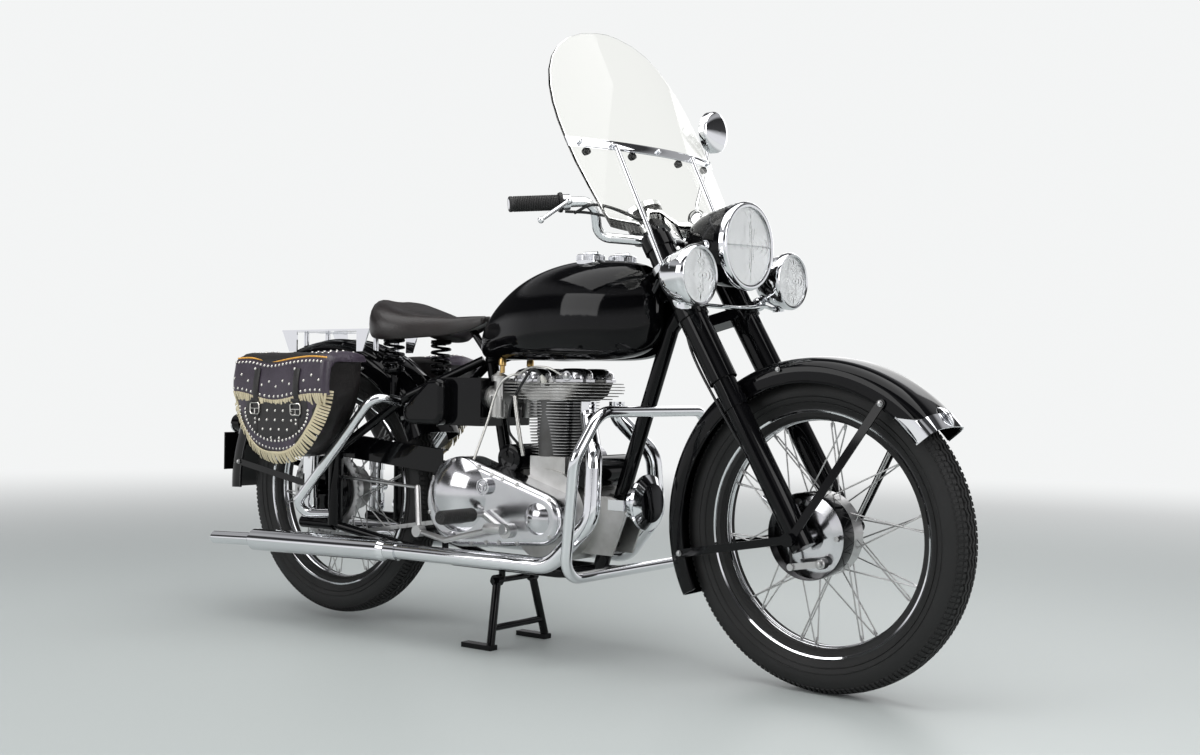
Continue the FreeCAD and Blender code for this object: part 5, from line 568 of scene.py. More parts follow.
def even_points(line, count):
    """Evenly spaced points along a closed line, and the line's length."""
    line = line + [line[0]]
    lengths = [0.0]
    for a, b in zip(line, line[1:]):
        lengths.append(lengths[-1] + (b - a).length)
    points, j = [], 0
    for i in range(count):
        want = lengths[-1] * i / count
        while lengths[j + 1] < want:
            j += 1
        points.append(line[j].lerp(line[j + 1], (want - lengths[j]) / max(lengths[j + 1] - lengths[j], 1e-9)))
    return points, lengths[-1]


print("front wheel centre", [round(c, 4) for c in FRONT_WHEEL.translation])

# %% [markdown]
# A tyre of this age has a nearly round section and a narrow tread of zigzag ribs with cut shoulders. The carcass is
# a turned profile. One pitch of the tread is built once, in the plane of the wheel's top, and set out round it.

# %% Tyres
TYRE_PROFILE = [(20, 236), (27, 242), (29, 252), (30, 258), (36, 266), (42, 278), (44.6, 292), (42, 306),
                (36, 317), (26, 322.6), (13, 325.2), (0, 326)]
CROWN = 330
PITCH_COUNT = 84
SCUFF_RIBS = [(272, 39, 41.2), (284, 43, 45)]


def tread_height(side):
    """Radius of the carcass at a distance from its middle plane."""
    side = abs(side)
    pairs = TYRE_PROFILE[:6:-1]
    for (y0, r0), (y1, r1) in zip(pairs, pairs[1:]):
        if side <= y1:
            return r0 + (r1 - r0) * (side - y0) / (y1 - y0)
    return pairs[-1][1]


def tread_pitch():
    """Zigzag ribs and slanted shoulder blocks over one pitch."""
    shape = Shape()
    half = math.pi * CROWN / PITCH_COUNT

    def bar(line, wide, lift):
        rings = []
        for run, side in line:
            inner, outer = side - wide / 2, side + wide / 2
            level = -CROWN - run * run / (2 * CROWN)
            root = tread_height(side) - 1.5
            rings.append([Vector((run, y, up + level)) * MM for y, up in (
                (inner, root), (outer, root), (outer - 0.7, tread_height(outer) + lift),
                (inner + 0.7, tread_height(inner) + lift))])
        shape.loft(rings)

    for side, wide, swing in ((0, 8, 3.0), (-12.5, 7, 3.0), (12.5, 7, 3.0)):
        bar([(-half, side - swing), (0, side + swing), (half, side - swing)], wide, 4.0)
    for sign in (-1, 1):
        for shift in (-half / 2, half / 2):
            bar([(shift - 3.6, sign * 25), (shift + 3.6, sign * 25)], 9, 4.2)
            bar([(shift - 2.2, sign * 35), (shift + 5.0, sign * 35)], 9, 3.2)
    return shape


def make_tyre(end, matrix):
    shape = Shape()
    profile = TYRE_PROFILE + [(-y, r) for y, r in TYRE_PROFILE[-2::-1]]
    shape.lathe((0, 0, 0), Y, [(y * MM, r * MM) for y, r in profile], 128, closed=True)
    for side in (-1, 1):
        for radius, low, high in SCUFF_RIBS:
            rib = mm(side * low, radius - 1.2, side * high, radius, side * low, radius + 1.2)
            shape.lathe((0, 0, 0), Y, rib, 96, closed=True)
    carcass = shape.placed(matrix).done(end + "_carcass", ["tyre_rubber"], 30)
    fit(carcass, end + "_wheel", "tyre_rubber", end + "_tyre")
    marks = ring_marks(matrix, (CROWN - 0.3) * MM, PITCH_COUNT)
    fit(set_out(end + "_tread", marks, tread_pitch(), "tyre_rubber", sharp=20), end + "_wheel", "tyre_rubber")


make_tyre("front", FRONT_WHEEL)
make_tyre("rear", REAR_WHEEL)

# %% [markdown]
# The rims are rolled steel with a curled edge on both sides and a well in the middle, all plated. Forty nipples
# stand on the inner face of each, where the spokes of the construction end.

# %% Rims and nipples
RIM_PROFILE = [(28, 256), (31, 257.5), (33.5, 255), (32, 251.5), (29, 250), (27, 246.5), (22, 243.6), (14, 242),
               (10, 236), (6, 233), (0, 232.4)]
SPOKE_REACH = 0.226
SPOKE_APART = 0.035
NIPPLE = mm(4, 2.6, -4, 2.6, -5, 1.8, -13, 1.7, -14, 1.2)


def spoke_ends(hub, matrix):
    """Angle and side of each spoke of the construction, read where it nears the rim."""
    home, found = matrix.inverted(), []
    for vert in frame["nodes"][hub].data.vertices:
        p = home @ vert.co
        if math.hypot(p.x, p.z) < SPOKE_REACH:
            continue
        angle = math.atan2(p.z, p.x)
        for group in found:
            if abs(math.remainder(angle - group[0], math.tau)) < SPOKE_APART:
                group[1].append((angle - group[0], p.y))
                break
        else:
            found.append((angle, [(0.0, p.y)]))
    return [(first + sum(a for a, _ in rows) / len(rows), sum(y for _, y in rows) / len(rows))
            for first, rows in found]


def make_rim(end, matrix):
    inner = [(max(y - 1.4, 0), r) for y, r in RIM_PROFILE]
    lining = [(y, r + 2.6) for y, r in inner[:4:-1]] + [(25.6, 249.6), (26.2, 256)]
    ring = inner + [(-y, r) for y, r in inner[-2::-1]] + [(-y, r) for y, r in lining[::-1]] + lining[1:]
    shape = Shape().lathe((0, 0, 0), Y, [(y * MM, r * MM) for y, r in ring], 160, closed=True)
    rim = shape.placed(matrix).done(end + "_rim_rolled", ["chrome_plate"], 40)
    fit(rim, end + "_wheel", "chrome_plate", end + "_rim")
    marks = [mark for angle, side in spoke_ends(end + "_hub", matrix)
             for mark in ring_marks(matrix, 0.2335, 1, side, angle / math.tau)]
    nipples = set_out(end + "_rim_nipples", marks, Shape().lathe((0, 0, 0), Z, NIPPLE, 8), "bright_steel")
    fit(nipples, end + "_wheel", "bright_steel")
    print(end, len(marks), "nipples")


make_rim("front", FRONT_WHEEL)
make_rim("rear", REAR_WHEEL)

# %% [markdown]
# Both mudguards are deep pressings: a round crown, straight skirts and a wired edge. One section is
# swept along the guard's arc, inside and out, and a raised bead runs along each skirt. The stays are flat bars
# that are bolted to the skirts. Lengths here are in millimetres from the wheel's axle.

# %% Mudguards
GUARD_SECTION = [(1.0, 0.0), (1.0, 0.35), (0.985, 0.58), (0.93, 0.75), (0.8, 0.88), (0.62, 0.95), (0.4, 0.985),
                 (0.12, 1.0)]
STAY_WIDE, STAY_THICK = 0.017, 0.004


def spot(degrees, radius, side):
    """A place beside a wheel, in metres."""
    return (wheel_way(math.radians(degrees)) * radius + Y * side) * MM


def guard_rings(radius, skirt, half, start, stop, steps, flare=0.0, wall=2.2):
    """Sections along an arc; the last tenth can flare out."""
    line = [(half * w, skirt + (radius - skirt) * u) for w, u in GUARD_SECTION]
    line = line + [(-w, r) for w, r in line[::-1]]
    line += [(w * (half - wall) / half, r - (wall if abs(w) < half * 0.96 else 0)) for w, r in line[::-1]]
    rings = []
    for i in range(steps + 1):
        share = i / steps
        lift = flare * max(0.0, (share - 0.9) / 0.1) ** 2
        rings.append([spot(start + (stop - start) * share, r + lift, w) for w, r in line])
    return rings


def edge_bead(shape, radius, half, start, stop, size, steps=60):
    for side in (-1, 1):
        points = [spot(start + (stop - start) * i / steps, radius, side * half) for i in range(steps + 1)]
        shape.tube(points, size * MM, 8)


def flat_bar(shape, start, stop, width, thick, facing, slot=0):
    """A flat bar with round eyes at both ends."""
    start, stop = Vector(start), Vector(stop)
    run = (stop - start).normalized()
    side = run.cross(Vector(facing)).normalized()
    facing = side.cross(run).normalized()
    ring = []
    for centre, first in ((stop, -90), (start, 90)):
        for k in range(9):
            angle = math.radians(first + 180 * k / 8)
            ring.append(centre + (run * math.cos(angle) + side * math.sin(angle)) * width / 2)
    shape.loft([[p - facing * thick / 2 for p in ring], [p + facing * thick / 2 for p in ring]], slot)


def bolt(shape, place, axis, size, slot=0):
    """A hexagon head on a washer, with a domed top."""
    axis = Vector(axis).normalized()
    shape.lathe(Vector(place), axis, [(-0.001, size * 0.5), (0.0016, size * 1.05), (0.0022, size * 1.05)], 18, slot)
    shape.lathe(Vector(place), axis, [(0.001, size * 0.88), (0.006, size * 0.88), (0.0072, size * 0.6)], 6, slot)


def make_front_guard():
    shape = Shape().loft(guard_rings(365, 312, 69, 39, 206, 96, -2))
    edge_bead(shape, 314, 69.5, 39, 206, 2.6)
    for side in (-1, 1):
        for angle in (58, 191):
            flat_bar(shape, spot(0, 0, side * 130), spot(angle, 322, side * 73), STAY_WIDE, STAY_THICK, Y * side)
            bolt(shape, spot(angle, 322, side * 75), Y * side, 0.006, 1)
        bolt(shape, spot(0, 0, side * 132), Y * side, 0.010, 1)
        for angle in (101, 119):
            bolt(shape, spot(angle, 345, side * 69), Y * side, 0.005, 1)
    guard = shape.placed(FRONT_WHEEL).done("front_guard", ["black_enamel", "bright_steel"], 40)
    fit(guard, "steering", "black_enamel", "front_mudguard")
    tip, model = Shape(), guard_rings(367, 313, 70.5, 0, 0, 1)[0]
    rings = []
    for i in range(17):
        ring = []
        for p in model:
            reach = 0.40 + 0.60 * min(1, max(0, (0.352 - p.x) / 0.036)) ** 1.5
            ring.append(wheel_way(math.radians(38.4 + 13.5 * reach * i / 16)) * p.x + Y * p.y)
        rings.append(ring)
    tip.loft(rings)
    crest = [spot(38.6 + 7.5 * i / 12, 366 + 7.0 * math.sin(math.pi * i / 12) ** 0.7, 0) for i in range(13)]
    tip.tube(crest, [0.0012 + 0.0052 * math.sin(math.pi * i / 12) for i in range(13)], 12)
    for side in (-1, 1):
        line = [spot(38.6 + 1.25 * i, 318, side * 70) for i in range(11)]
        tip.tube(line, [0.001 + 0.0022 * math.sin(math.pi * i / 10) for i in range(11)], 8)
    fit(tip.placed(FRONT_WHEEL).done("guard_tip", ["chrome_plate"], 40), "steering", "chrome_plate")


def make_rear_guard():
    shape = Shape().loft(guard_rings(398, 336, 76, 24, 182, 96))
    edge_bead(shape, 338, 76.5, 24, 182, 2.6)
    edge_bead(shape, 397.4, 26, 26, 180, 2.2)
    for side in (-1, 1):
        low = Vector((-4, side * 112, 12)) * MM
        flat_bar(shape, low, spot(170, 345, side * 79), STAY_WIDE, STAY_THICK, Y * side)
        bolt(shape, spot(170, 345, side * 81), Y * side, 0.006, 1)
        for angle in (34, 66, 96, 128):
            bolt(shape, spot(angle, 350, side * 76), Y * side, 0.005, 1)
    guard = shape.placed(REAR_WHEEL).done("rear_guard", ["black_enamel", "bright_steel"], 40)
    fit(guard, "frame", "black_enamel", "rear_mudguard")


make_front_guard()
make_rear_guard()

# %% [markdown]
# A lamp is four things: a shell, a plated rim, a silvered bowl and a fluted glass. The bowl and the glass have real
# depth here, so that light is caught inside as it is in the real lamp. The flutes are part of the glass's mesh.

# %% Lamps
def lens_shape(shape, origin, axis, radius, bulge, flutes, slot):
    """A shallow glass dome whose back is fluted upright."""
    across, up = frame_of(Vector(axis))
    front, back, rings, steps = [], [], 18, 96
    for r in range(rings + 1):
        share = r / rings
        front_ring, back_ring = [], []
        for k in range(steps):
            angle = math.tau * k / steps
            flat = (across * math.cos(angle) + up * math.sin(angle)) * max(share, 1e-4) * radius
            dome = bulge * (1 - share * share)
            wave = 0.0015 * abs(math.sin(flat.dot(across) / radius * math.pi * flutes)) * min(1, (1 - share) * 8)
            front_ring.append(Vector(origin) + flat + Vector(axis) * dome)
            back_ring.append(Vector(origin) + flat + Vector(axis) * (dome - 0.003 - wave))
        front.append(front_ring)
        back.append(back_ring)
    shape.loft(front[::-1] + back, slot, False)


def lamp(shape, centre, axis, radius, depth, rim, shell_slot, bars=False):
    """Slots: 0 plate, 1 enamel, 2 silvered bowl, 3 glass, 4 bulb."""
    r, d = radius, depth
    bowl_rim = r - rim
    shape.lathe(centre, axis, [(-0.012, r - 0.004), (-0.012, r), (-0.002, r + 0.0005), (0.003, r - 0.002),
                               (0.0045, r - rim * 0.45), (0.003, bowl_rim + 0.001), (0.0, bowl_rim),
                               (-0.004, bowl_rim + 0.0005)], 72, 0, True)
    shell = [(-0.010, r - 0.0035)]
    for k in range(1, 13):
        angle = math.radians(90 * k / 12)
        shell.append((-0.010 - (d - 0.012) * math.sin(angle) ** 1.25, (r - 0.0035) * math.cos(angle) ** 0.62))
    shell[-1] = (-d, 0)
    bowl = [(-0.006, bowl_rim + 0.0015)]
    for k in range(1, 13):
        share = k / 12
        bowl.append((-0.006 - (d * 0.62) * (1 - (1 - share) ** 2), (bowl_rim + 0.0015) * (1 - share) + 0.001))
    bowl[-1] = (bowl[-1][0], 0)
    shape.lathe(centre, axis, shell, 64, shell_slot)
    shape.lathe(centre, axis, [(a + 0.0015, b) for a, b in bowl][::-1] + [(-0.0045, bowl_rim + 0.0015)], 64, 2)
    shape.lathe(centre, axis, [(-d * 0.5, 0.0), (-d * 0.5, r * 0.1), (-d * 0.3, r * 0.13), (-d * 0.22, r * 0.1),
                               (-d * 0.2, 0.0)], 24, 4)
    lens_shape(shape, Vector(centre) + Vector(axis) * 0.0008, axis, bowl_rim + 0.001, 0.008, 14, 3)
    if bars:
        across, _ = frame_of(Vector(axis))
        middle = Vector(centre) + Vector(axis) * 0.0092
        shape.tube([middle + across * bowl_rim * (i / 6 - 1) - Vector(axis) * (0.0065 * (i / 6 - 1) ** 2)
                    for i in range(13)], 0.0011, 8, 0)


LAMP_FINISHES = ["chrome_plate", "black_enamel", "silvered_bowl", "lamp_glass", "bulb_glass"]


def make_headlamp():
    shape, centre = Shape(), at(183, 0, 931)
    lamp(shape, centre, X, 0.095, 0.148, 0.012, 1, True)
    for side in (-1, 1):
        bolt(shape, centre + Vector((-0.05, side * 0.088, 0)), Y * side, 0.010, 0)
        arm = [centre + Vector((-0.05, side * 0.092, 0)), centre + Vector((-0.085, side * 0.098, -0.006)),
               centre + Vector((-0.118, side * 0.1, -0.02))]
        shape.tube(smooth_line(arm), 0.009, 12, 1)
    shape.lathe(centre + Vector((-0.04, 0, 0.082)), Z, mm(0, 12, 6, 11, 9, 6, 9, 0), 20, 0)
    fit(shape.placed(STEER).done("headlamp_glazed", LAMP_FINISHES, 40), "steering", "chrome_plate", "headlamp")


def make_fog_lamps():
    shape = Shape()
    for side in (-1, 1):
        centre = at(186, side * 178, 862)
        lamp(shape, centre, X, 0.064, 0.088, 0.009, 0)
        foot = at(222, side * 178, 800)
        shape.tube([at(218, side * 178, 812), foot, at(232, side * 170, 800)], 0.007, 12, 0)
        shape.lathe(foot, Z, mm(-6, 0, -6, 10, 8, 10, 10, 6, 10, 0), 6, 0)
        ball = at(256, side * 150, 812)
        shape.lathe(ball, X, [(math.sin(math.radians(a)) * 0.016, math.cos(math.radians(a)) * 0.016)
                              for a in range(-90, 91, 15)], 24, 0)
        shape.lathe(centre + Vector((-0.03, 0, -0.063)), Z, mm(-4, 0, -4, 8, 3, 9, 4, 0), 20, 0)
    line = smooth_line([at(232, 176, 800), at(246, 150, 808), at(240, 110, 806), at(222, 60, 802), at(216, 0, 800)])
    line += [Vector((p.x, 2 * SHIFT.y - p.y, p.z)) for p in line[-2::-1]]
    rings = []
    for i, p in enumerate(line):
        run = (line[min(i + 1, len(line) - 1)] - line[max(i - 1, 0)]).normalized()
        flat = run.cross(Z).normalized()
        rings.append([p + flat * 0.011 * c + Z * 0.0045 * s for c, s in circle(16)])
    shape.loft(rings, 0)
    for side in (-1, 1):
        shape.tube([at(250, side * 118, 806), at(272, side * 104, 806)], 0.009, 12, 0)
    fit(shape.placed(STEER).done("fog_lamps_glazed", LAMP_FINISHES, 40), "steering", "chrome_plate", "fog_lamps")


make_headlamp()
make_fog_lamps()

# %% [markdown]
# The screen is a clear sheet, bowed sideways and leaning back. Its outline is wide at the band and closes in a
# round top. A smooth grid between the two edges gives an even curve, which a bent flat sheet has, and the sheet is
# then given its thickness. A plated band crosses it, held by bolts with rubber washers.

# %% Windscreen
SCREEN_OUTLINE = [(0.0, 0.90), (0.1, 0.93), (0.2, 0.96), (0.32, 0.99), (0.42, 1.0), (0.52, 0.997), (0.6, 0.98),
                  (0.68, 0.945), (0.76, 0.885), (0.83, 0.80), (0.89, 0.685), (0.94, 0.53), (0.975, 0.35),
                  (0.995, 0.14), (1.0, 0.02)]


SCREEN_LOW, SCREEN_TALL, SCREEN_HALF = 956, 483, 262
SCREEN_LEAN = math.tan(math.radians(26.6))
SCREEN_BOW = 900
BAND_HEIGHT, BAND_HALF = 1155, 263
SCREEN_FACE = X * 0.9 + Z * 0.42


def screen_point(side, height, ahead=0.0):
    """A place on the sheet, or ahead of it."""
    bow = SCREEN_BOW - math.sqrt(SCREEN_BOW ** 2 - side ** 2)
    return at(331 + (height - SCREEN_LOW) * SCREEN_LEAN + bow - ahead, side, height)


def make_screen():
    columns, rows, verts = 48, len(SCREEN_OUTLINE), []
    for share, wide in SCREEN_OUTLINE:
        for c in range(columns + 1):
            side = SCREEN_HALF * wide * (2 * c / columns - 1)
            notch = 40 * math.exp(-((abs(side) - 98) / 40) ** 4) + 14 * (abs(side) / 236) ** 4
            low = notch * (1 - share) ** 6 if share < 0.3 else 0
            verts.append(screen_point(side, SCREEN_LOW + low + (SCREEN_TALL - low) * share))
    faces = [(r * (columns + 1) + c, r * (columns + 1) + c + 1, (r + 1) * (columns + 1) + c + 1,
              (r + 1) * (columns + 1) + c) for r in range(rows - 1) for c in range(columns)]
    sheet = Shape().add(verts, faces).placed(STEER).done("screen_sheet_bowed", ["screen_sheet"], 60, solid=False)
    thick = sheet.modifiers.new("thickness", "SOLIDIFY")
    thick.thickness = 0.0032
    thick.offset = -1
    fit(sheet, "steering", "screen_sheet", "windscreen")


def make_band():
    shape, rings = Shape(), []
    for i in range(41):
        side = BAND_HALF * (i / 20 - 1)
        trim = 1.0 if abs(side) < 250 else max(0.35, (BAND_HALF - abs(side)) / 13)
        rings.append([screen_point(side, BAND_HEIGHT + up * 11 * trim, ahead) for up, ahead in
                      ((-1, 2.0), (-0.75, 5.0), (0.75, 5.0), (1, 2.0))])
    shape.loft(rings, 0)
    for side in (-235, -150, 0, 150, 235):
        bolt(shape, screen_point(side, BAND_HEIGHT, 5.0), SCREEN_FACE, 0.0055)
    for side in (-215, -85, 85, 215):
        shape.lathe(screen_point(side, 1138, -4.5), SCREEN_FACE, mm(-10, 0, -10, 7, -4, 9, 3, 9, 3, 0), 18, 1)
    fit(shape.placed(STEER).done("screen_band", ["chrome_plate", "black_rubber"], 40), "steering", "chrome_plate")


make_screen()
make_band()

# %% [markdown]
# Small things are set on faces that are already there: screws on the engine cover, studs on a bag. A ray is sent
# at the face from outside, and where it lands gives both the place and the direction that the face looks in. This
# keeps every screw seated, also on a domed face, which worked-out coordinates would not.

# %% Rays onto a face
def node_tree(name):
    mesh = frame["nodes"][name].data
    return BVHTree.FromPolygons([v.co for v in mesh.vertices], [tuple(p.vertices) for p in mesh.polygons])


def shape_tree(shape):
    return BVHTree.FromPolygons(shape.verts, shape.faces)


def landing(tree, start, way, lift=0.0):
    """Where a ray lands, lifted off the face, and the way the face looks; None if it misses."""
    way = Vector(way).normalized()
    place, normal, _, _ = tree.ray_cast(Vector(start), way)
    if place is None:
        return None
    if normal.dot(way) > 0:
        normal = -normal
    return place + normal * lift, normal


def dome_stud(radius, height=0.55):
    return Shape().lathe((0, 0, 0), Z, [(-radius * 0.4, radius * 0.8), (0, radius),
                                        (radius * height * 0.6, radius * 0.8), (radius * height, radius * 0.35),
                                        (radius * height * 1.05, 0)], 12)


print("cover face at its middle", landing(node_tree("outer_cover"), at(750, -400, 330), Y))

# %% [markdown]
# The saddle is one pressed hide on a pan: a crowned top, sides that fall in a soft skirt, and a lower edge that is
# rolled under. The construction's stations are joined here by a smooth curve, so the side has no steps, and the
# underside is hollow behind the roll. The hide moves in and out a little, as old leather does.

# %% Saddle
SADDLE_STATIONS = [(0, 0.14, 0.36, 0.56), (0.1, 0.22, 0.24, 0.56), (0.3, 0.44, 0.1, 0.56), (0.52, 0.84, 0.02, 0.62),
                   (0.72, 1, 0, 0.78), (0.88, 0.9, 0.08, 0.95), (0.97, 0.62, 0.3, 1), (1, 0.4, 0.5, 0.92)]
SADDLE_SECTION = [(0, 0.965), (0.2, 0.975), (0.4, 1.0), (0.58, 0.995), (0.74, 0.945), (0.87, 0.84), (0.95, 0.68),
                  (0.992, 0.5), (1.0, 0.32), (0.99, 0.16), (0.965, 0.05), (0.935, 0.0), (0.895, 0.0),
                  (0.865, 0.05), (0.85, 0.15), (0.7, 0.24), (0.4, 0.28), (0, 0.28)]


def soften(point, size, scale=9.0):
    """A small, smooth and repeatable unevenness."""
    return point + noise.noise_vector(point * scale) * size


def make_saddle():
    first = smooth_line([(a, w, 0) for a, w, _, _ in SADDLE_STATIONS])
    second = smooth_line([(low, high, 0) for _, _, low, high in SADDLE_STATIONS])
    section = SADDLE_SECTION + [(-w, u) for w, u in SADDLE_SECTION[-2:0:-1]]
    rings = []
    for one, two in zip(first, second):
        low, high = 737 + 104.5 * two.x, 737 + 104.5 * two.y
        rings.append([soften(at(936 + 318 * one.x, 142 * one.y * w, low + (high - low) * u), 0.0016)
                      for w, u in section])
    for end, share in ((0, 0.5), (-1, 0.55)):
        middle = sum(rings[end], Vector()) / len(rings[end])
        ring = [middle.lerp(p, share) + X * (0.0035 if end == 0 else -0.003) for p in rings[end]]
        rings = [ring] + rings if end == 0 else rings + [ring]
    saddle = Shape().loft(rings).done("saddle_hide", ["saddle_leather"], 70)
    fit(saddle, "frame", "saddle_leather", "saddle")


def coil_spring(shape, low, high, radius, wire, turns):
    """An open coil whose first and last turns lie flat."""
    points, steps = [], 18
    for i in range(turns * steps + 1):
        turn = i / steps
        share = min(1, max(0, (turn - 0.75) / (turns - 1.5)))
        lift = 1 + 0.6 * (turn - 0.75) if share == 0 else 0.6 * (turn - turns + 0.75) - 1 if share == 1 else 0
        points.append(low.lerp(high, share) + Vector((math.cos(math.tau * turn), math.sin(math.tau * turn),
                                                      0)) * radius + Z * wire * lift)
    shape.tube(points, wire, 8)


def make_springs():
    shape = Shape()
    for side in (-1, 1):
        low, high = at(1169.3, side * 86, 660), at(1169.3, side * 86, 738)
        coil_spring(shape, low, high, 0.0240, 0.0036, 6)
        shape.lathe(low, Z, mm(-12, 0, -12, 10, -3, 26, 1, 27, 1, 18, 6, 12, 12, 11, 12, 0), 32)
        shape.lathe(high, Z, mm(-10, 0, -10, 12, 0, 18, 0, 27, 4, 26, 6, 0), 32)
        shape.lathe(low, Z, mm(-75, 0, -75, 7.5, 10, 7.5, 10, 0), 16)
        shape.lathe(low, Z, mm(-30, 0, -30, 13, -18, 13, -18, 0), 6)
    fit(shape.done("saddle_coils", ["black_enamel"], 40), "frame", "black_enamel", "saddle_springs")


make_saddle()
make_springs()

# %% [markdown]
# Each pannier is a soft hide bag: a body with a U-shaped outer face, a lid that folds over its top, a pocket panel
# on its face, two straps with buckles, rows of round studs and a pale fringe along the lid's lower edge and round
# the face. The body is lofted from its outline with a crowned, slightly uneven face. Everything else lies on that
# face, so it is found with rays and needs no numbers of its own for depth.

# %% Pannier body and lid
BAG_CORNERS = [(0, 1), (0.03, 0.5), (0.32, 0), (0.74, 0), (1, 0.46), (0.95, 1)]
BAG_LONG, BAG_TALL = 350, 260
BAG_TOP_CORNERS = (0, 5)
HAND = ((-1, "right"), (1, "left"))


def bag_point(u, v, deep, side):
    """u runs back along the bag, v up it, and deep is millimetres out from its inner face."""
    return at(1205.85 + BAG_LONG * u, side * (152 + deep), 441 + BAG_TALL * v)


def bag_outline(radius=62, steps=7):
    """The outline with its corners rounded, in millimetres."""
    out = []
    corners = [Vector((u * BAG_LONG, v * BAG_TALL)) for u, v in BAG_CORNERS]
    for i, p in enumerate(corners):
        before, after = corners[i - 1] - p, corners[(i + 1) % len(corners)] - p
        cut = radius * (0.45 if i in BAG_TOP_CORNERS else 1)
        a = p + before.normalized() * min(cut, before.length * 0.48)
        b = p + after.normalized() * min(cut, after.length * 0.48)
        out += [a * (1 - t) ** 2 + p * 2 * t * (1 - t) + b * t * t for t in [k / steps for k in range(steps + 1)]]
    return out


def even_outline(count):
    """Evenly spaced points of the outline as (u, v), starting in the middle of the top."""
    return [Vector((p.x / BAG_LONG, p.y / BAG_TALL)) for p in even_points(bag_outline(), count)[0]]


BAG_RINGS = [(0, 0.86), (2, 0.95), (9, 0.99), (30, 1.0), (70, 1.005), (104, 1.0), (116, 0.985), (123, 0.955),
             (127, 0.91), (129, 0.84), (131, 0.72), (132.5, 0.56), (133.5, 0.38), (134, 0.2), (134, 0.05)]
BAG_MIDDLE = Vector((0.49, 0.52))


def bag_body(side):
    outline = even_outline(96)
    rings = []
    for deep, share in BAG_RINGS:
        ring = []
        for point in outline:
            p = BAG_MIDDLE.lerp(point, share)
            sag = 0.012 * math.sin(p.x * math.pi) * (1 - p.y)
            ring.append(soften(bag_point(p.x, p.y - sag, deep, side), 0.0030, 14))
        rings.append(ring)
    return Shape().loft(rings)


def lid_low(u):
    """Height of the lid's lower edge on the outer face."""
    return 0.60 - 0.05 * math.sin(min(max(u, 0), 1) * math.pi) + 0.02 * math.sin(u * 9)


def lid_top(u):
    """Height of the lid's outer top edge, with the dip of a soft, half-full bag."""
    return 0.985 - 0.045 * math.exp(-((u - 0.6) / 0.16) ** 2) + 0.01 * math.sin(u * 11)


def lid_shape(side):
    rings, stations = [], 44
    for i in range(stations + 1):
        share = i / stations
        u = -0.022 + 1.0 * share
        close = min(1.0, min(share, 1 - share) / 0.045)
        round_in = math.sqrt(max(0.0, 1 - (1 - close) ** 2))
        top = lid_top(u) - 0.05 * (1 - round_in)
        low = lid_low(u)
        outer = [(4 + t * 100, top + 0.03 * math.sin(math.pi * t) * round_in) for t in [k / 8 for k in range(9)]]
        outer += [(104 + 30 * math.sin(a), top - 0.10 * (1 - math.cos(a)))
                  for a in [math.radians(15 * k) for k in range(1, 7)]]
        outer += [(134 + 4.5 * math.sin(math.pi * t * 0.8), top - 0.10 + (low - top + 0.10) * t)
                  for t in [k / 8 for k in range(1, 9)]]
        outer = [(d - (1 - round_in) * (14 if d > 60 else 0), v) for d, v in outer]
        inner = [(d - 3.0 if j > 10 else d, v - (0.014 if j <= 12 else 0)) for j, (d, v) in enumerate(outer)][::-1]
        rings.append([soften(bag_point(u, v, d, side), 0.0026, 14) for d, v in outer + inner])
    return Shape().loft(rings)


BAG_BODY = {side: bag_body(side) for side in (-1, 1)}
BAG_LID = {side: lid_shape(side) for side in (-1, 1)}
BAG_TREE = {side: shape_tree(BAG_BODY[side]) for side in (-1, 1)}
LID_TREE = {side: shape_tree(BAG_LID[side]) for side in (-1, 1)}


def on_bag(u, v, side, lift=0.0, lid=False):
    """A place on the bag's outer face, or on its lid where the lid covers it."""
    start = bag_point(u, v, 400, side)
    hit = landing(LID_TREE[side], start, Y * -side, lift * MM) if lid else None
    return hit or landing(BAG_TREE[side], start, Y * -side, lift * MM)


for side, word in HAND:
    body = BAG_BODY[side].done("bag_body_" + word, ["dark_hide"], 60)
    fit(body, "frame", "bag_leather", "pannier_" + word)
    lid = BAG_LID[side].done("bag_lid_" + word, ["purple_hide"], 60)
    fit(lid, "frame", "bag_leather")

# %% [markdown]
# The pocket panel, the purple band round the face, the piping and the straps are strips of hide. A strip is a row
# of cross-sections laid along a path on the face. The studs and the fringe tongues are set out at marks on the
# same paths, so they follow the bag if its shape changes.

# %% Pannier trim
def face_path(pairs, side, lift, lid=False):
    hits = [on_bag(u, v, side, lift, lid) for u, v in pairs]
    return [hit for hit in hits if hit]


STRIP_SECTION = [(-1, 0.0), (-0.96, 0.7), (-0.8, 1.0), (0.8, 1.0), (0.96, 0.7), (1, 0.0), (0.8, -0.4), (-0.8, -0.4)]
FACE_MIDDLE = Vector((0.5, 0.42))
PANEL_MIDDLE = (0.5, 0.47)
STRAPS = (0.27, 0.70)
TIP_WIDTHS = [18.0, 12.0, 5.0]


def strip(shape, path, width, thick, slot=0):
    """A flat strip with rounded edges along a path of (place, normal); width may be a list."""
    rings = []
    for i, (place, normal) in enumerate(path):
        run = (path[min(i + 1, len(path) - 1)][0] - path[max(i - 1, 0)][0]).normalized()
        across = run.cross(normal).normalized()
        wide = width[i] if isinstance(width, list) else width
        rings.append([place + across * (x * wide / 2 * MM) + normal * (z * thick * MM) for x, z in STRIP_SECTION])
    shape.loft(rings, slot)


def inset_pairs(share, top):
    """Points on the outline drawn in towards its middle, only below a height."""
    pairs = [BAG_MIDDLE.lerp(p, share) for p in even_outline(80) if p.y < top]
    start = max(range(len(pairs)), key=lambda i: (pairs[i] - pairs[i - 1]).length)
    return pairs[start:] + pairs[:start]


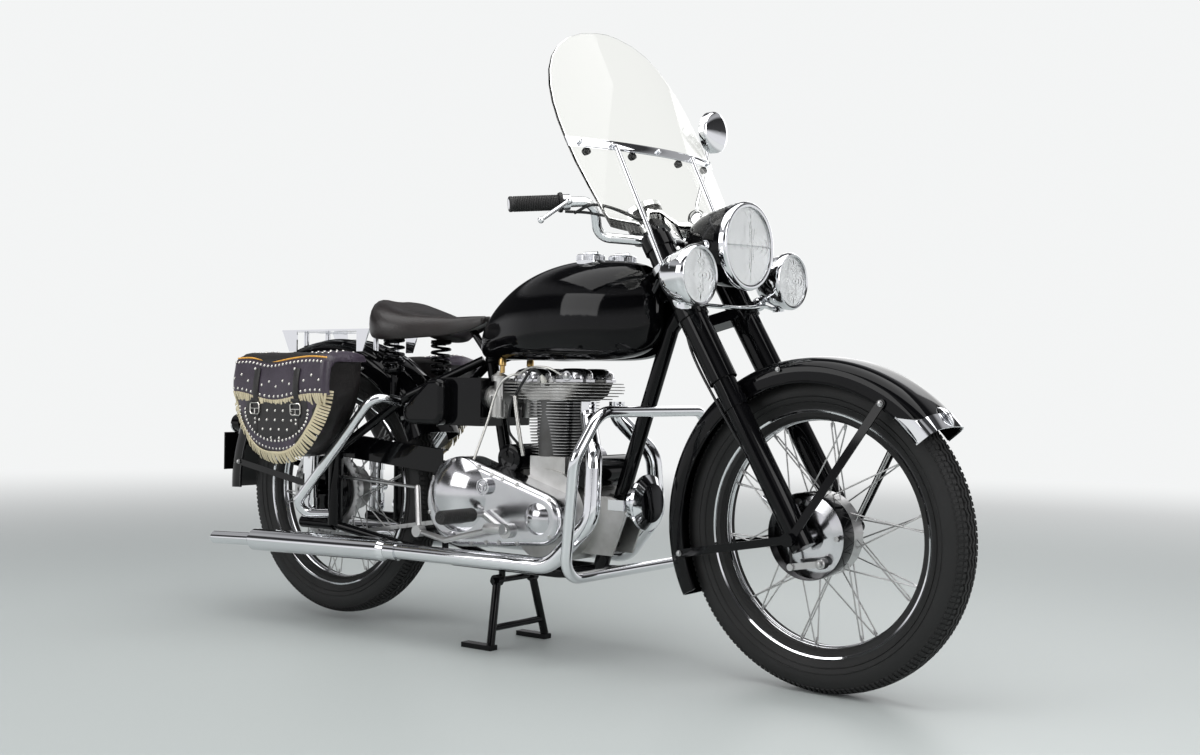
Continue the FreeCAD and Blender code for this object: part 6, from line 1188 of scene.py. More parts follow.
def panel(side, grow, lift, slot, shape, top):
    """A U-shaped panel on the face, as rings from its edge to its middle."""
    u, v = PANEL_MIDDLE
    edge = [Vector((u + 0.38 * grow * c, v + (0.36 * grow * s if s < 0 else (top - v) * s ** 0.4)))
            for c, s in circle(64)]
    rings = []
    for share, up in ((1.0, -0.5), (0.995, lift * 0.7)) + tuple((share, lift) for share in (0.97, 0.8, 0.55, 0.3,
                                                                                            0.05)):
        ring = []
        for point in edge:
            p = FACE_MIDDLE.lerp(point, share)
            hit = on_bag(p.x, p.y, side, up)
            while hit is None:
                p = FACE_MIDDLE.lerp(p, 0.97)
                hit = on_bag(p.x, p.y, side, up)
            ring.append(hit[0])
        rings.append(ring)
    shape.loft(rings, slot)


def straps(side, shape, marks):
    """Slots: 1 dark hide, 3 nickel. Adds the straps' own studs to the marks."""
    high, low, steps = 0.86, 0.20, 24
    for u in STRAPS:
        edge, path = lid_low(u), []
        for i in range(steps + 1):
            v = high + (low - high) * i / steps
            path.append(on_bag(u + 0.015 * math.sin(v * 5), v, side, 2.0 if v < edge - 0.02 else 1.5,
                               v > edge + 0.01))
        smooth = []
        for i in range(len(path)):
            places, normals = zip(*path[max(0, i - 1):i + 2])
            smooth.append((sum(places, Vector()) / len(places), sum(normals, Vector()).normalized()))
        strip(shape, smooth, [20.0] * (len(path) - len(TIP_WIDTHS)) + TIP_WIDTHS, 2.6, 1)
        place, normal = on_bag(u + 0.01, 0.46, side, 6.0)
        across = (X - normal * X.dot(normal)).normalized()
        up = normal.cross(across) * (1 if normal.cross(across).z > 0 else -1)
        corner = [place + across * (a * 0.0165) + up * (b * 0.014) for a, b in
                  ((-1, -0.7), (-0.8, -1), (0.8, -1), (1, -0.7), (1, 0.7), (0.8, 1), (-0.8, 1), (-1, 0.7))]
        shape.tube(corner, 0.0021, 8, 3, True)
        shape.tube([place - across * 0.0155, place + across * 0.0155], 0.0017, 8, 3)
        shape.tube([place, place - up * 0.0145 + normal * 0.001], 0.0013, 6, 3)
        for v in (0.40, 0.545):
            loop = [on_bag(u + 0.01 + s / BAG_LONG, v, side, 5.2) for s in (-14, -12, -6, 0, 6, 12, 14)]
            strip(shape, loop, 9.0, 1.8, 1)
        for v in (0.84, 0.32, 0.36):
            marks.append((*on_bag(u + 0.012, v, side, 4.4, v > 0.6), X))


def stud_marks(side):
    """Rows along the lid, two rows round the face, a few on the panel and rows across the lid's top."""
    marks = []

    def row(pairs, lid=False, lift=0.6):
        marks.extend((*hit, X) for hit in face_path(pairs, side, lift, lid))

    def arc(wide, tall, middle, count, lift):
        row([(0.5 - wide * math.cos(a), middle - tall * math.sin(a))
             for a in [math.pi * k / count for k in range(count + 1)]], False, lift)

    for long, count, line in ((0.92, 23, lambda u: lid_top(u) - 0.075), (0.92, 19, lambda u: lid_low(u) + 0.045)):
        row([(u, line(u)) for u in [0.03 + long * i / count for i in range(count + 1)]], True)
    row([(u, lid_low(u) + 0.14 + 0.045 * (i % 2)) for i, u in enumerate([0.04 + 0.90 * i / 12 for i in range(13)])],
        True)
    arc(0.41, 0.395, 0.47, 34, 0.6)
    arc(0.33, 0.30, 0.45, 26, 3.6)
    for v, count in ((0.44, 5), (0.35, 5), (0.26, 4), (0.18, 2)):
        row([(0.5 + (k - (count - 1) / 2) * 0.085, v) for k in range(count)], False, 3.6)
    for deep, shift in ((22, 0), (50, 0.02), (78, 0), (98, 0.02)):
        for k in range(15):
            hit = landing(LID_TREE[side], bag_point(0.05 + 0.88 * k / 14 + shift, 2.0, deep, side), -Z, 0.0006)
            if hit:
                marks.append((*hit, X))
    return marks


def fringe_marks(side):
    """Tongues hang from the lid's edge, and stand out from the face's edge below it."""
    marks = []
    for i in range(45):
        u = -0.005 + 0.965 * i / 44
        hit = on_bag(u, lid_low(u) + 0.015, side, 1.0, True)
        if hit:
            marks.append((hit[0] - hit[1] * 0.001, hit[1], -Z + X * 0.10 * math.sin(i * 1.7)))
    for point in even_outline(122):
        p = BAG_MIDDLE.lerp(point, 0.935)
        hit = on_bag(p.x, p.y, side, 1.6) if point.y <= 0.66 else None
        if hit:
            away = point - BAG_MIDDLE
            out = Vector((-away.x * BAG_LONG, 0, away.y * BAG_TALL)).normalized()
            marks.append((hit[0], (Y * side * 0.94 + out * 0.34).normalized(), (out - Z * 0.22).normalized()))
    return marks


def fringe_tongue():
    """One tongue of hide that curls back a little at its end."""
    rings = []
    for t in [i / 5 for i in range(6)]:
        half, bend = 3.0 - 0.4 * t, -7.5 * t * t
        rings.append([Vector((31 * t, y, z)) * MM for y, z in ((-half, bend), (half, bend), (half, bend + 1.4),
                                                               (-half, bend + 1.4))])
    return Shape().loft(rings)


for side, word in HAND:
    trim = Shape()
    panel(side, 1.16, 1.6, 0, trim, 0.62)
    panel(side, 0.86, 3.0, 1, trim, 0.60)
    strip(trim, face_path(inset_pairs(0.93, 0.8), side, 1.2), 6.0, 1.8, 2)
    piping = [(u, lid_top(u) - 0.035) for u in [0.955 * i / 60 for i in range(61)]]
    trim.tube([hit[0] for hit in face_path(piping, side, 0.6, True)], 0.0023, 10, 4)
    marks = stud_marks(side)
    straps(side, trim, marks)
    fit(trim.done("bag_trim_" + word, ["purple_hide", "dark_hide", "fringe_hide", "nickel_plate", "piping_hide"], 40),
        "frame", "bag_leather")
    fit(set_out("bag_studs_" + word, marks, dome_stud(0.0036), "nickel_plate"), "frame", "bright_steel")
    fit(set_out("bag_fringe_" + word, fringe_marks(side), fringe_tongue(), "fringe_hide", 0.09, 7, 50),
        "frame", "bag_leather")

# %% [markdown]
# The polished cover is held by a row of slotted screws close to its edge. Rays walk inwards from outside until
# they land on the cover, which finds the edge at every angle, and the screws sit a little inside it. The same
# helper serves the cover on the other side.

# %% Screws round the covers
def cheese_screw(radius):
    """A round slotted head: two half discs with the slot between them."""
    shape = Shape()
    for sign in (-1, 1):
        ring = [(sign * radius * 0.14, -radius * 0.98)]
        ring += [(sign * radius * math.cos(math.radians(a)), radius * math.sin(math.radians(a)))
                 for a in range(-78, 79, 13)]
        ring += [(sign * radius * 0.14, radius * 0.98)]
        rows = [[Vector((x * g, y * g, z)) for x, y in ring] for g, z in
                ((1.0, -radius * 0.4), (1.0, radius * 0.35), (0.85, radius * 0.55))]
        shape.loft(rows)
    return shape.lathe((0, 0, 0), Z, [(-radius * 0.4, radius * 0.9), (radius * 0.12, radius * 0.9),
                                      (radius * 0.12, 0)], 14)


def rim_marks(tree, centre, side, count, inset, reach=0.42, depth=0.03, phase=0.0):
    """Marks a little inside the edge of a cover that faces sideways."""
    marks = []
    for k in range(count):
        out, radius = wheel_way(math.tau * (k + phase) / count), reach
        while radius > 0.03:
            hit = landing(tree, centre + out * radius + Y * side * 0.12, Y * -side)
            if hit and abs(hit[0].y - centre.y) < depth:
                break
            radius -= 0.0015
        hit = landing(tree, centre + out * (radius - inset) + Y * side * 0.12, Y * -side)
        if hit:
            marks.append((hit[0], hit[1], wheel_way(k * 2.4)))
    return marks


cover_tree, timing_tree = node_tree("outer_cover"), node_tree("timing_cover")
cover_marks = rim_marks(cover_tree, at(790, -155, 345), -1, 14, 0.010, 0.30, 0.05, 0.3)
cover_marks += rim_marks(timing_tree, at(672, 110, 350), 1, 9, 0.008, 0.20, 0.05)
fit(set_out("cover_screws", cover_marks, cheese_screw(0.0052), "bright_steel"), "frame", "bright_steel")


def make_filler_cap():
    """Screwed plug with a rim, a raised ring and a three-armed grip."""
    shape, axis = Shape(), -Y
    hit, _ = landing(cover_tree, at(799.85, -400, 390.5), Y)
    shape.lathe(hit, axis, mm(-2, 0, -2, 19.5, 4.5, 19.5, 6, 18, 6, 15.5, 3.5, 14.5, 3.5, 0), 48)
    shape.lathe(hit, axis, mm(2, 10, 5.5, 10, 5.5, 12, 2, 12), 40, 0, True)
    for k in range(3):
        out = wheel_way(math.tau * k / 3 + 0.5)
        shape.tube([hit + axis * 0.0045, hit + out * 0.0065 + axis * 0.0052, hit + out * 0.0125 + axis * 0.0045],
                   [0.0016, 0.0024, 0.0016], 10)
    for back, height in ((742, 285), (905, 268)):
        place, _ = landing(cover_tree, at(back, -400, height), Y)
        for profile, steps in (([(-0.002, 0), (-0.002, 0.0105), (0.003, 0.0105), (0.0045, 0.009),
                                            (0.0045, 0.006)], 24),
                               ([(0.002, 0), (0.002, 0.0062), (0.009, 0.0062), (0.010, 0.005), (0.010, 0)], 6)):
            shape.lathe(place, axis, profile, steps)
    fit(shape.done("cover_plugs", ["polished_alloy"], 40), "frame", "polished_alloy")


make_filler_cap()

# %% [markdown]
# Air cools this engine, so the barrels and heads are stacks of thin fins. One fin is built as a plate with rounded
# corners and set out up the engine, a little shorter lower down, as cast barrels are. The outer edge of an iron
# fin is rubbed bright, and that bright line is what makes fins readable from a distance, so it is a piece itself.

# %% Barrels and heads
ENGINE_BACK = 689.85


def rounded(long, wide, corner, grow=0.0, up=0.0):
    """A flat rectangle with rounded corners, given in millimetres."""
    line = []
    for cx, cy, first in ((1, 1, 0), (-1, 1, 90), (-1, -1, 180), (1, -1, 270)):
        for angle in [math.radians(first + 18 * k) for k in range(6)]:
            line.append(Vector((cx * (long / 2 - corner) + math.cos(angle) * (corner + grow),
                                cy * (wide / 2 - corner) + math.sin(angle) * (corner + grow), up)) * MM)
    return line


def round_plate(long, wide, corner, thick, wall=None, edge=0.0):
    """A plate with rounded corners, or only its rim where a wall is given."""
    half = thick / 2
    if wall is None:
        rows = [(-edge, -half), (0, -half * 0.4), (0, half * 0.4), (-edge, half)]
    else:
        rows = [(-wall, -half), (0, -half), (0, half), (-wall, half), (-wall, -half)]
    return Shape().loft([rounded(long, wide, corner, *row) for row in rows], caps=wall is None)


def fin_marks(low, pitch, count, shrink):
    return [(at(ENGINE_BACK, 0, low + pitch * i), Z, X, (shrink(i / (count - 1)), shrink(i / (count - 1)), 1))
            for i in range(count)]


def make_barrels():
    marks = fin_marks(468, 7.05, 18, lambda t: 0.87 + 0.13 * min(1, t * 1.25))
    fins = set_out("barrel_fins", marks, round_plate(132, 151, 34, 2.0, edge=0.8), "barrel_iron")
    fit(fins, "frame", "barrel_iron", "cylinder_barrels")
    rims = set_out("barrel_fin_edges", marks, round_plate(132.6, 151.6, 34, 1.3, 1.2), "bright_steel")
    fit(rims, "frame", "bright_steel")
    core = Shape()
    for side in (-1, 1):
        core.lathe(at(ENGINE_BACK, side * 36, 462), Z, mm(0, 0, 0, 37, 131, 41, 131, 0), 48)
    core.block(at(ENGINE_BACK, 0, 527), (0.092, 0.050, 0.130))
    fit(core.done("barrel_cores", ["barrel_iron"], 40), "frame", "barrel_iron")


def loft_box(shape, centre, sizes, corner, slot=0):
    """A box with rounded corners whose size changes with height; sizes are (height, long, wide)."""
    shape.loft([[centre + p for p in rounded(long, wide, min(corner, long * 0.49, wide * 0.49), 0, height)]
                for height, long, wide in sizes], slot)


def make_heads():
    """Slots: 0 cast, 1 polished, 2 steel, 3 plug body."""
    marks = [(at(ENGINE_BACK, 0, 596 + 7.2 * i), Z, X, (s, 1, 1)) for i, s in
             enumerate((0.72, 0.86, 0.98, 1.0, 1.0, 0.97))]
    fins = set_out("head_fins", marks, round_plate(267, 163, 30, 2.4, edge=0.9), "cast_alloy")
    fit(fins, "frame", "cast_alloy", "cylinder_heads")
    shape = Shape()
    loft_box(shape, at(ENGINE_BACK, 0, 592), [(0, 128, 146), (14, 176, 146), (46, 214, 138), (50, 208, 132)], 26)
    for back in (-62, 62):
        for side in (-1, 1):
            foot = at(ENGINE_BACK + back, side * 41, 636)
            loft_box(shape, foot, [(0, 92, 70), (6, 92, 70), (8, 86, 66), (20, 84, 62), (27, 74, 52), (31, 52, 34),
                                   (31.8, 20, 12)], 24, 1)
            for bx, by in ((-40, 0), (40, 0), (0, 30)):
                place = foot + Vector((bx, by * side, 8)) * MM
                shape.lathe(place, Z, mm(-4, 0, -4, 7.5, 6, 7.5, 7, 6), 6, 2)
                shape.lathe(place, Z, mm(5, 5.6, 10, 5.2, 12.5, 3, 13, 0), 12, 2)
            end = foot + Vector((6, side * 34, 14)) * MM
            shape.lathe(end, Y * side, mm(-6, 0, -6, 12.5, 3, 12.5, 4.5, 11, 4.5, 4), 24, 1)
            shape.lathe(end, Y * side, mm(0, 0, 0, 7.5, 9, 7.5, 10, 6, 10, 0), 6, 2)
    for side in (-1, 1):
        root = at(ENGINE_BACK, side * 70, 628)
        tip = root + Vector((0, side * 16, 22)) * MM
        axis = (tip - root).normalized()
        shape.lathe(root, axis, mm(0, 0, 0, 11, 8, 11, 8, 0), 6, 2)
        shape.lathe(root, axis, mm(7, 0, 7, 6.5, 12, 7.5, 20, 6, 26, 4, 30, 2.2, 32, 0), 16, 3)
        for back in (-50, -18, 18, 50):
            place = at(ENGINE_BACK + back, side * 68, 640)
            shape.lathe(place, Z, mm(-6, 0, -6, 7.5, 4, 7.5, 5, 6), 6, 2)
            shape.lathe(place, Z, mm(3, 5.5, 8, 5, 10, 3, 10.5, 0), 12, 2)
    fit(shape.done("head_castings", ["cast_alloy", "polished_alloy", "bright_steel", "plug_body"], 38),
        "frame", "cast_alloy")


make_barrels()
make_heads()

# %% [markdown]
# Pipes and wires tell that an engine could run. The oil pipe and the plug leads stay on the engine. A smooth
# curve through a few points gives the slack that a real pipe or lead has.

# %% Pipes and leads on the engine
def make_engine_pipes():
    """Slots: 0 bright pipe, 1 black lead, 2 brass, 3 alloy. Oil pipes, leads, fuel taps and carburettors' mouths."""
    shape = Shape()
    oil = [at(838, -150, 452), at(834, -140, 480), at(826, -118, 540), at(816, -104, 600), at(800, -98, 634),
           at(775, -92, 650), at(762, -84, 652)]
    shape.tube(smooth_line(oil), 0.0030, 10, 0)
    cross = [at(762, -84, 652), at(720, -92, 668), at(668, -92, 668), at(632, -84, 652)]
    shape.tube(smooth_line(cross), 0.0026, 10, 0)
    beads = smooth_line([at(770, -86, 602), at(762, -88, 560), at(748, -90, 500), at(742, -86, 462)], 12)
    shape.tube(beads, [0.0042 + 0.0010 * (i % 2) for i in range(len(beads))], 10, 0)
    for side in (-1, 1):
        plug = at(ENGINE_BACK, side * 70, 628) + Vector((0, side * 32, 44)) * 0.55 * MM
        lead = [plug, plug + Vector((-0.012, side * 0.016, 0.012)), at(740, side * 96, 630), at(792, side * 74, 580),
                at(812, side * 56, 520), at(792, side * 44, 486)]
        shape.tube(smooth_line(lead), 0.0033, 10, 1)
        tap = at(838, side * 52, 676)
        shape.lathe(tap, Z, mm(-20, 0, -20, 6, -4, 6, -2, 9, 10, 9, 16, 6, 16, 0), 16, 2)
        shape.tube(smooth_line([tap - Z * 0.018, at(842, side * 56, 640), at(846, side * 60, 612)]), 0.0030, 10, 0)
        mouth = at(868, side * 52, 596)
        bell = [(-0.006 + 0.030 * math.sin(math.radians(a)), 0.0235 + 0.0055 * math.cos(math.radians(a * 1.4)))
                for a in range(0, 91, 15)]
        bell = [(-0.006, 0.0)] + bell + [(0.027, 0.019), (0.029, 0.010), (0.0295, 0.0)]
        shape.lathe(mouth, -X, bell, 32, 3)
        top = at(846, side * 52, 644)
        shape.lathe(top, Z, mm(-8, 0, -8, 20.5, 4, 20.5, 6, 18, 10, 10, 16, 6, 16, 0), 24, 3)
    fit(shape.done("engine_pipes", ["oil_pipe", "cable_black", "brass_fitting", "cast_alloy"], 45), "frame",
        "bright_steel")


make_engine_pipes()

# %% [markdown]
# The horn has a plated bell, a raised ring and a grille with curved slots. The magneto's end cap and the dynamo get
# their screws and band here as well, since all of them are turned parts.

# %% Horn and ignition
def arc_bar(shape, centre, axis, radius, wide, start, stop, height, slot, steps=4):
    """A raised bar along part of a circle; start and stop in degrees."""
    across, up = frame_of(axis)
    rings = []
    for i in range(steps + 1):
        angle = math.radians(start + (stop - start) * i / steps)
        out = across * math.cos(angle) + up * math.sin(angle)
        rings.append([centre + out * (radius - wide / 2), centre + out * (radius + wide / 2),
                      centre + out * (radius + wide / 2 - 0.0004) + axis * height,
                      centre + out * (radius - wide / 2 + 0.0004) + axis * height])
    shape.loft(rings, slot)


def make_horn():
    centre, shape = at(391, -60, 371), Shape()
    shape.lathe(centre, X, mm(-49, 0, -49, 30, -40, 44, -26, 49, -18, 60, -15, 61.8, -12, 61.2, -9, 55, -7, 46.5, -2,
                              44, -1, 41.5, -4.5, 39.5, -5.5, 0), 72, 0)
    shape.lathe(centre, X, mm(-6, 0, -6, 39, -4.8, 39, -4.8, 0), 48, 1)
    for radius, wide in ((0.0370, 0.0034), (0.0250, 0.0030), (0.0115, 0.0045)):
        shape.lathe(centre + X * -0.005, X, [(0, radius - wide / 2), (0.0028, radius - wide / 2 + 0.0004),
                                             (0.0028, radius + wide / 2 - 0.0004), (0, radius + wide / 2)], 56, 2,
                    True)
    for radius, wide, first, cover in ((0.0310, 0.0095, 0, 16), (0.0182, 0.0110, 30, 20)):
        for start in range(first, first + 360, 60):
            arc_bar(shape, centre + X * -0.005, X, radius, wide, start, start + cover, 0.0026, 2)
    shape.lathe(centre, X, mm(-5, 0, -5, 6, -1, 5.8, 0, 4, 0, 0), 16, 1)
    shape.tube(smooth_line([at(440, -52, 366), at(455, -50, 352), at(468, -46, 340)]), 0.007)
    fit(shape.done("horn_grille", ["chrome_plate", "black_enamel", "grille_plate"], 35), "frame", "chrome_plate")
    screws = [(at(785.9 + 26 * c, -84.5, 453.5 + 26 * s), -Y, X) for c, s in circle(6)]
    fit(set_out("magneto_screws", screws, cheese_screw(0.0042), "bright_steel"), "frame", "bright_steel")
    ends = Shape()
    ends.lathe(at(785.9, -84, 453.5), -Y, mm(-1, 0, -1, 33.5, 2, 33.5, 3, 32, 3, 20, 5, 18, 5, 0), 40)
    ends.lathe(at(572.8, -86, 430.8), -Y, mm(-1, 0, -1, 36.5, 3, 35.5, 5, 30, 5, 10, 7, 9, 7, 0), 40)
    fit(ends.done("ignition_end_caps", ["black_enamel"], 35), "frame", "black_enamel")


make_horn()

# %% [markdown]
# The drive chain has about a hundred links. A link is two shaped side plates and a roller. Every second link is
# narrower, so that it fits inside its neighbours, which needs two sets of marks. The path is two straight runs and
# two arcs round the sprockets, measured by length, so that the pitch stays even.

# %% Drive chain
REAR_SPROCKET, FRONT_SPROCKET = Vector((1433.85, 345)), Vector((871.9, 366.5))
REAR_PITCH_RADIUS, FRONT_PITCH_RADIUS = 121.0, 54.5
CHAIN_PITCH, CHAIN_SIDE = 15.875, -58
LINK_SETS = [("chain_outer_links", 4.6, 6.5, 2.1, ["drive_chain"]), ("chain_inner_links", 3.2, 3.2, 4.2, [])]


def chain_line():
    """The closed path of the pins as (back, height)."""
    gap = REAR_SPROCKET - FRONT_SPROCKET
    lean = math.atan2(gap.y, gap.x)
    tilt = math.asin((REAR_PITCH_RADIUS - FRONT_PITCH_RADIUS) / gap.length)
    top, low = lean + math.pi / 2 + tilt, lean - math.pi / 2 - tilt
    line = []
    for centre, radius, start, stop in ((REAR_SPROCKET, REAR_PITCH_RADIUS, top, low),
                                        (FRONT_SPROCKET, FRONT_PITCH_RADIUS, low, top - math.tau)):
        count = int(abs(stop - start) * radius / 3)
        for a in [start + (stop - start) * i / count for i in range(count + 1)]:
            line.append(centre + Vector((math.cos(a), math.sin(a))) * radius)
    return line


def chain_link(pitch, gap_half, reach, pin_radius):
    """Two waisted side plates and their pins or rollers."""
    link = Shape()
    for sign in (-1, 1):
        ring = []
        for c, s in circle(16):
            waist = 1 if abs(c) > 0.3 else 0.72
            ring.append(Vector((math.copysign(pitch / 2, c) + 6.0 * c, 6.0 * s * waist, 0)) * MM)
        link.loft([[p + Z * sign * out * MM for p in ring] for out in (gap_half, gap_half + 1.3)])
    for x in (-pitch / 2, pitch / 2):
        link.lathe(X * x * MM, Z, mm(-reach, 0, -reach, pin_radius, reach, pin_radius, reach, 0), 8)
    return link


def make_chain():
    line = chain_line()
    _, length = even_points(line, 1)
    links = 2 * round(length / CHAIN_PITCH / 2)
    pins, _ = even_points(line, links)
    marks = []
    for pin, after in zip(pins, pins[1:] + pins[:1]):
        middle, run = (pin + after) / 2, (after - pin).normalized()
        marks.append((at(middle.x, CHAIN_SIDE, middle.y), -Y, Vector((-run.x, 0, run.y))))
    for first, (name, gap_half, reach, pin_radius, nodes) in enumerate(LINK_SETS):
        link = chain_link(length / links, gap_half, reach, pin_radius)
        fit(set_out(name, marks[first::2], link, "bright_steel"), "frame", "bright_steel", *nodes)
    print("chain", links, "links, pitch", round(length / links, 2), "mm")


make_chain()

# %% [markdown]
# At the bars the hands need detail: ribbed grips with a flange and an end cap, and the cables.
# The cables leave the lever perches, sweep forward of the bars and go down to the frame behind the headlamp. They
# cross the steering joint, and each is built where it lies, on no body.

# %% Grips, cables and instruments
GRIP_RIBS, DIAL_MARKS, CAP_TEETH = 26, 24, 44
DIAL_AXIS = Vector((-0.5, 0, 0.866))


def make_grips():
    shape = Shape()
    for side in (-1, 1):
        axis = Vector((-111, side * 150, -10)).normalized()
        end = at(566, side * 340, 1022)
        profile = [(-0.1155, 0.0125), (-0.1155, 0.0215), (-0.1120, 0.0220), (-0.1085, 0.0205), (-0.1070, 0.0150)]
        for i in range(GRIP_RIBS):
            along = -0.1060 + 0.0965 * i / GRIP_RIBS
            profile += [(along, 0.0157), (along + 0.0010, 0.0169), (along + 0.0026, 0.0169), (along + 0.0035, 0.0157)]
        profile += [(-0.0080, 0.0160), (-0.0060, 0.0170), (-0.0015, 0.0168), (-0.0002, 0.0150), (0.0, 0.0)]
        shape.lathe(end, axis, profile, 32)
    fit(shape.placed(STEER).done("grip_ribs", ["black_rubber"], 40), "steering", "black_rubber", "grips")


def make_bar_cables():
    """Cables over the steering joint, built where they lie and set on no body."""
    for name, points in (
            ("clutch_cable", [at(500, 215, 1000), at(455, 200, 1012), at(405, 165, 1000), at(370, 110, 968),
                              at(362, 70, 930), at(384, 50, 890), at(420, 44, 840), at(452, 40, 780)]),
            ("brake_cable_upper", [at(500, -215, 1000), at(455, -205, 1016), at(400, -172, 1000), at(362, -120, 972),
                                   at(350, -80, 930), at(372, -56, 880), at(408, -46, 830), at(440, -40, 780)]),
            ("throttle_cable", [at(520, -222, 1004), at(470, -190, 1000), at(420, -150, 984), at(380, -100, 950),
                                at(376, -62, 900), at(400, -50, 850), at(436, -44, 800), at(470, -40, 750)])):
        obj = Shape().tube(smooth_line(points, 10), 0.0032).done(name, ["cable_black"], 60)
        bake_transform(obj)


def make_dial():
    """Slots: 0 black face, 1 white marks, 2 plated rim."""
    shape, axis = Shape(), DIAL_AXIS
    face = at(442.2228, 0, 968) + axis * 0.0655
    shape.lathe(face, axis, mm(-10, 44.5, -10, 46.2, 1, 46.2, 2.4, 44, 1.5, 40.5, -1, 40), 56, 2, True)
    shape.lathe(face, axis, mm(-3, 0, -3, 40.5, -1.2, 40.5, -1.2, 0), 48, 0)
    across, up = frame_of(axis)
    for k in range(DIAL_MARKS + 1):
        angle = math.radians(-30 + 240 * k / DIAL_MARKS)
        out = across * math.cos(angle) + up * math.sin(angle)
        long = 0.0065 if k % 4 == 0 else 0.0035
        shape.tube([face + out * (0.0380 - long) - axis * 0.0009, face + out * 0.0380 - axis * 0.0009], 0.0006, 6, 1)
    needle = across * math.cos(math.radians(-30)) + up * math.sin(math.radians(-30))
    shape.tube([face - axis * 0.0002 - needle * 0.008, face - axis * 0.0002 + needle * 0.030], [0.0013, 0.0004], 8, 1)
    shape.lathe(face, axis, mm(-1.5, 0, -1.5, 4, 0.8, 3.5, 0.8, 0), 16, 2)
    fit(shape.placed(STEER).done("speedometer_dial", ["black_enamel", "dial_white", "chrome_plate"], 40), "steering",
        "chrome_plate")


make_grips()
make_bar_cables()
make_dial()

# %% [markdown]
# The rest is small: a cam lever and cable at the front brake, black bands on the drums, the mirror's shell, the red
# glass of the tail lamp, ribs on the footrest rubbers and knurled edges on the fuel caps.

# %% Brake lever, footrest ribs, caps and tail lamp
def make_front_brake():
    """Slots: 0 steel, 1 black cable."""
    shape, side = Shape(), -0.074
    pivot = Vector((0.038, side, -0.052))
    shape.lathe(pivot, -Y, mm(-10, 0, -10, 11, 6, 11, 8, 9, 8, 0), 24)
    shape.lathe(pivot, -Y, mm(7, 0, 7, 6.5, 13, 6.5, 14, 5, 14, 0), 6)
    tip = Vector((-0.030, side - 0.004, -0.064))
    flat_bar(shape, pivot + Y * -0.004, tip, 0.013, 0.005, -Y)
    shape.lathe(tip, -Y, mm(-6, 0, -6, 7.5, 7, 7.5, 7, 0), 16)
    for back, up in ((0.070, 0.0), (-0.02, 0.070)):
        shape.lathe(Vector((back, side + 0.006, up)), -Y, mm(-6, 0, -6, 6, 3, 6, 3, 0), 6)
    cable = [tip, tip + Vector((-0.004, 0, 0.045)), Vector((-0.052, side - 0.010, 0.060)),
             Vector((-0.104, side - 0.030, 0.140)), Vector((-0.180, side - 0.044, 0.262)),
             Vector((-0.250, side - 0.040, 0.372)), Vector((-0.290, side - 0.020, 0.46))]
    shape.tube(smooth_line(cable), 0.0030, 10, 1)
    fit(shape.placed(FRONT_WHEEL).done("front_brake_lever", ["bright_steel", "cable_black"], 40), "steering",
        "bright_steel")


def make_drum_bands():
    """The drums are black; only their cover plates are polished."""
    ring = mm(-33, 88.2, -33, 89.6, -35, 90, -70, 90, -73.5, 89.2, -73.5, 88.2)
    for end, matrix in (("front", FRONT_WHEEL), ("rear", REAR_WHEEL)):
        band = Shape().lathe((0, 0, 0), Y, ring, 72, 0, True).placed(matrix)
        fit(band.done(end + "_drum_band", ["black_enamel"], 35), end + "_wheel", "black_enamel")


def make_mirror_shell():
    """A plated dome ahead and the glass behind, as a rider sees it."""
    shape, centre = Shape(), at(504, 316, 1243)
    dome = [(0.0, 0.0505)] + [(0.0125 * math.sin(math.radians(a)), 0.0505 * math.cos(math.radians(a)))
                              for a in range(10, 81, 10)] + [(0.0125, 0)]
    shape.lathe(centre + X * 0.0135, X, mm(-14, 0, -14, 49.5, -12.5, 50.8) + dome, 48, 0)
    shape.lathe(centre, -X, mm(-1, 0, -1, 45.5, 1.2, 45.5, 1.2, 0), 48, 1)
    fit(shape.placed(STEER).done("mirror_shell", ["chrome_plate", "mirror_glass"], 35), "steering", "chrome_plate")


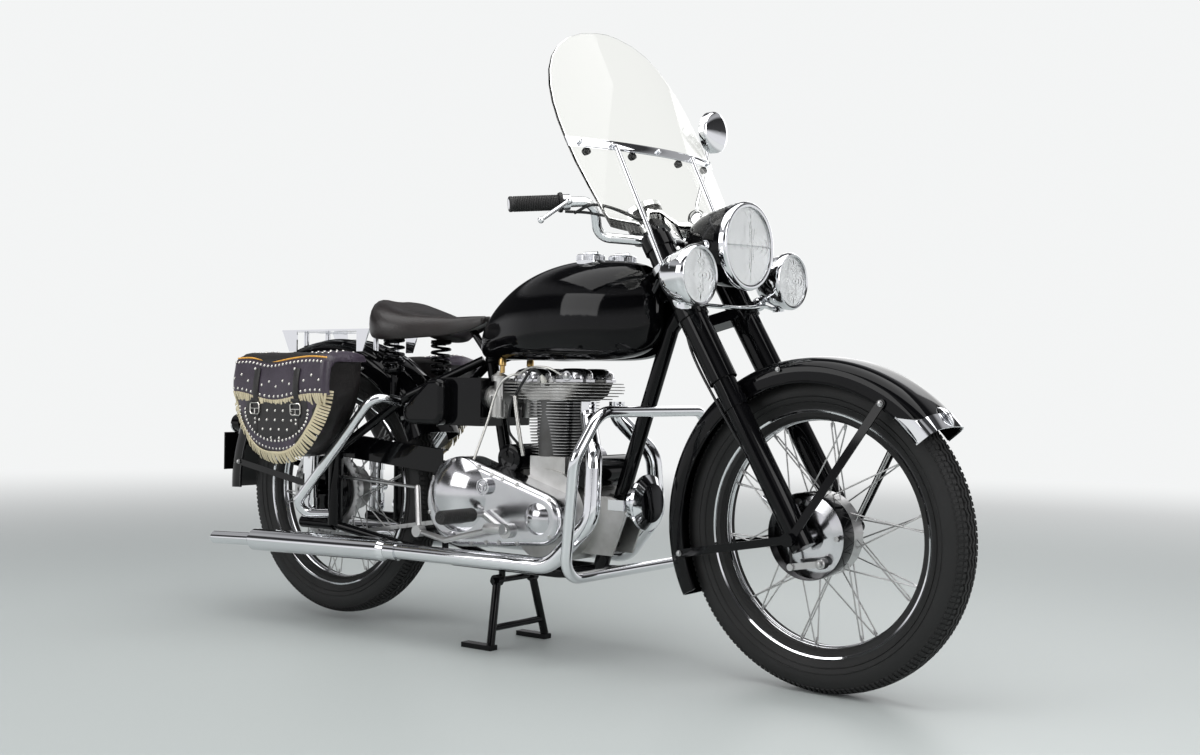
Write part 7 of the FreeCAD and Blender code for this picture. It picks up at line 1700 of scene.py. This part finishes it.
def make_tail_lens():
    """Red pressed glass with rings, in a plated rim."""
    place, axis = landing(node_tree("tail_lamp"), at(2100, 0, 505), X)
    rings = [(0.010 * math.cos(math.radians(a)) + 0.0008 * (i % 2), 0.0215 * math.sin(math.radians(a)))
             for i, a in enumerate(range(90, 9, -8))]
    shape = Shape().lathe(place, axis, [(-0.002, 0.0)] + rings + [(0.0102, 0.0)], 36, 1)
    shape.lathe(place, axis, mm(-3, 21.2, -3, 24.8, 2, 24.8, 3, 23.2, 2, 21.2), 36, 0, True)
    fit(shape.done("tail_lens", ["chrome_plate", "tail_glass"], 40), "frame", "chrome_plate")


def make_small_pieces():
    ribs = Shape()
    for side in (-1, 1):
        profile = [(-0.0545, 0.0), (-0.0545, 0.0150)]
        for i in range(15):
            along = -0.0520 + 0.0070 * i
            profile += [(along, 0.0148), (along + 0.0010, 0.0160), (along + 0.0042, 0.0160), (along + 0.0052, 0.0148)]
        profile += [(0.0545, 0.0145), (0.0545, 0.0)]
        ribs.lathe(at(796.85, side * 253.5, 328), Y * side, profile, 32)
    fit(ribs.done("footrest_ribs", ["black_rubber"], 30), "frame", "black_rubber", "footrest_rubbers")
    knurl, caps = [], Shape()
    for back, side in ((592, -33), (549, 33)):
        top = landing(node_tree("tank_caps"), at(back, side, 1100), -Z)[0]
        caps.lathe(top, Z, mm(-4, 0, -4, 32.2, 0.5, 32.2, 2.2, 30, 3.2, 20, 3.6, 8, 3.6, 0), 56)
        caps.tube([top + Vector((-0.020, 0, 0.006)), top + Vector((0.020, 0, 0.006))], 0.0034, 12)
        for c, s in circle(CAP_TEETH):
            out = Vector((c, s, 0))
            knurl.append((top + out * 0.0322 - Z * 0.0065, out, Z))
    fit(caps.done("cap_tops", ["chrome_plate"], 35), "frame", "chrome_plate")
    tooth = Shape().loft([[Vector((x, y, 0)) * MM for x, y in ((-5.5, -1.3), (5.5, -1.3), (5.5, 1.3), (-5.5, 1.3))],
                          [Vector((x, y, 0.9)) * MM for x, y in ((-5, -0.6), (5, -0.6), (5, 0.6), (-5, 0.6))]])
    fit(set_out("cap_knurls", knurl, tooth, "chrome_plate"), "frame", "chrome_plate")


make_front_brake()
make_drum_bands()
make_mirror_shell()
make_tail_lens()
make_small_pieces()
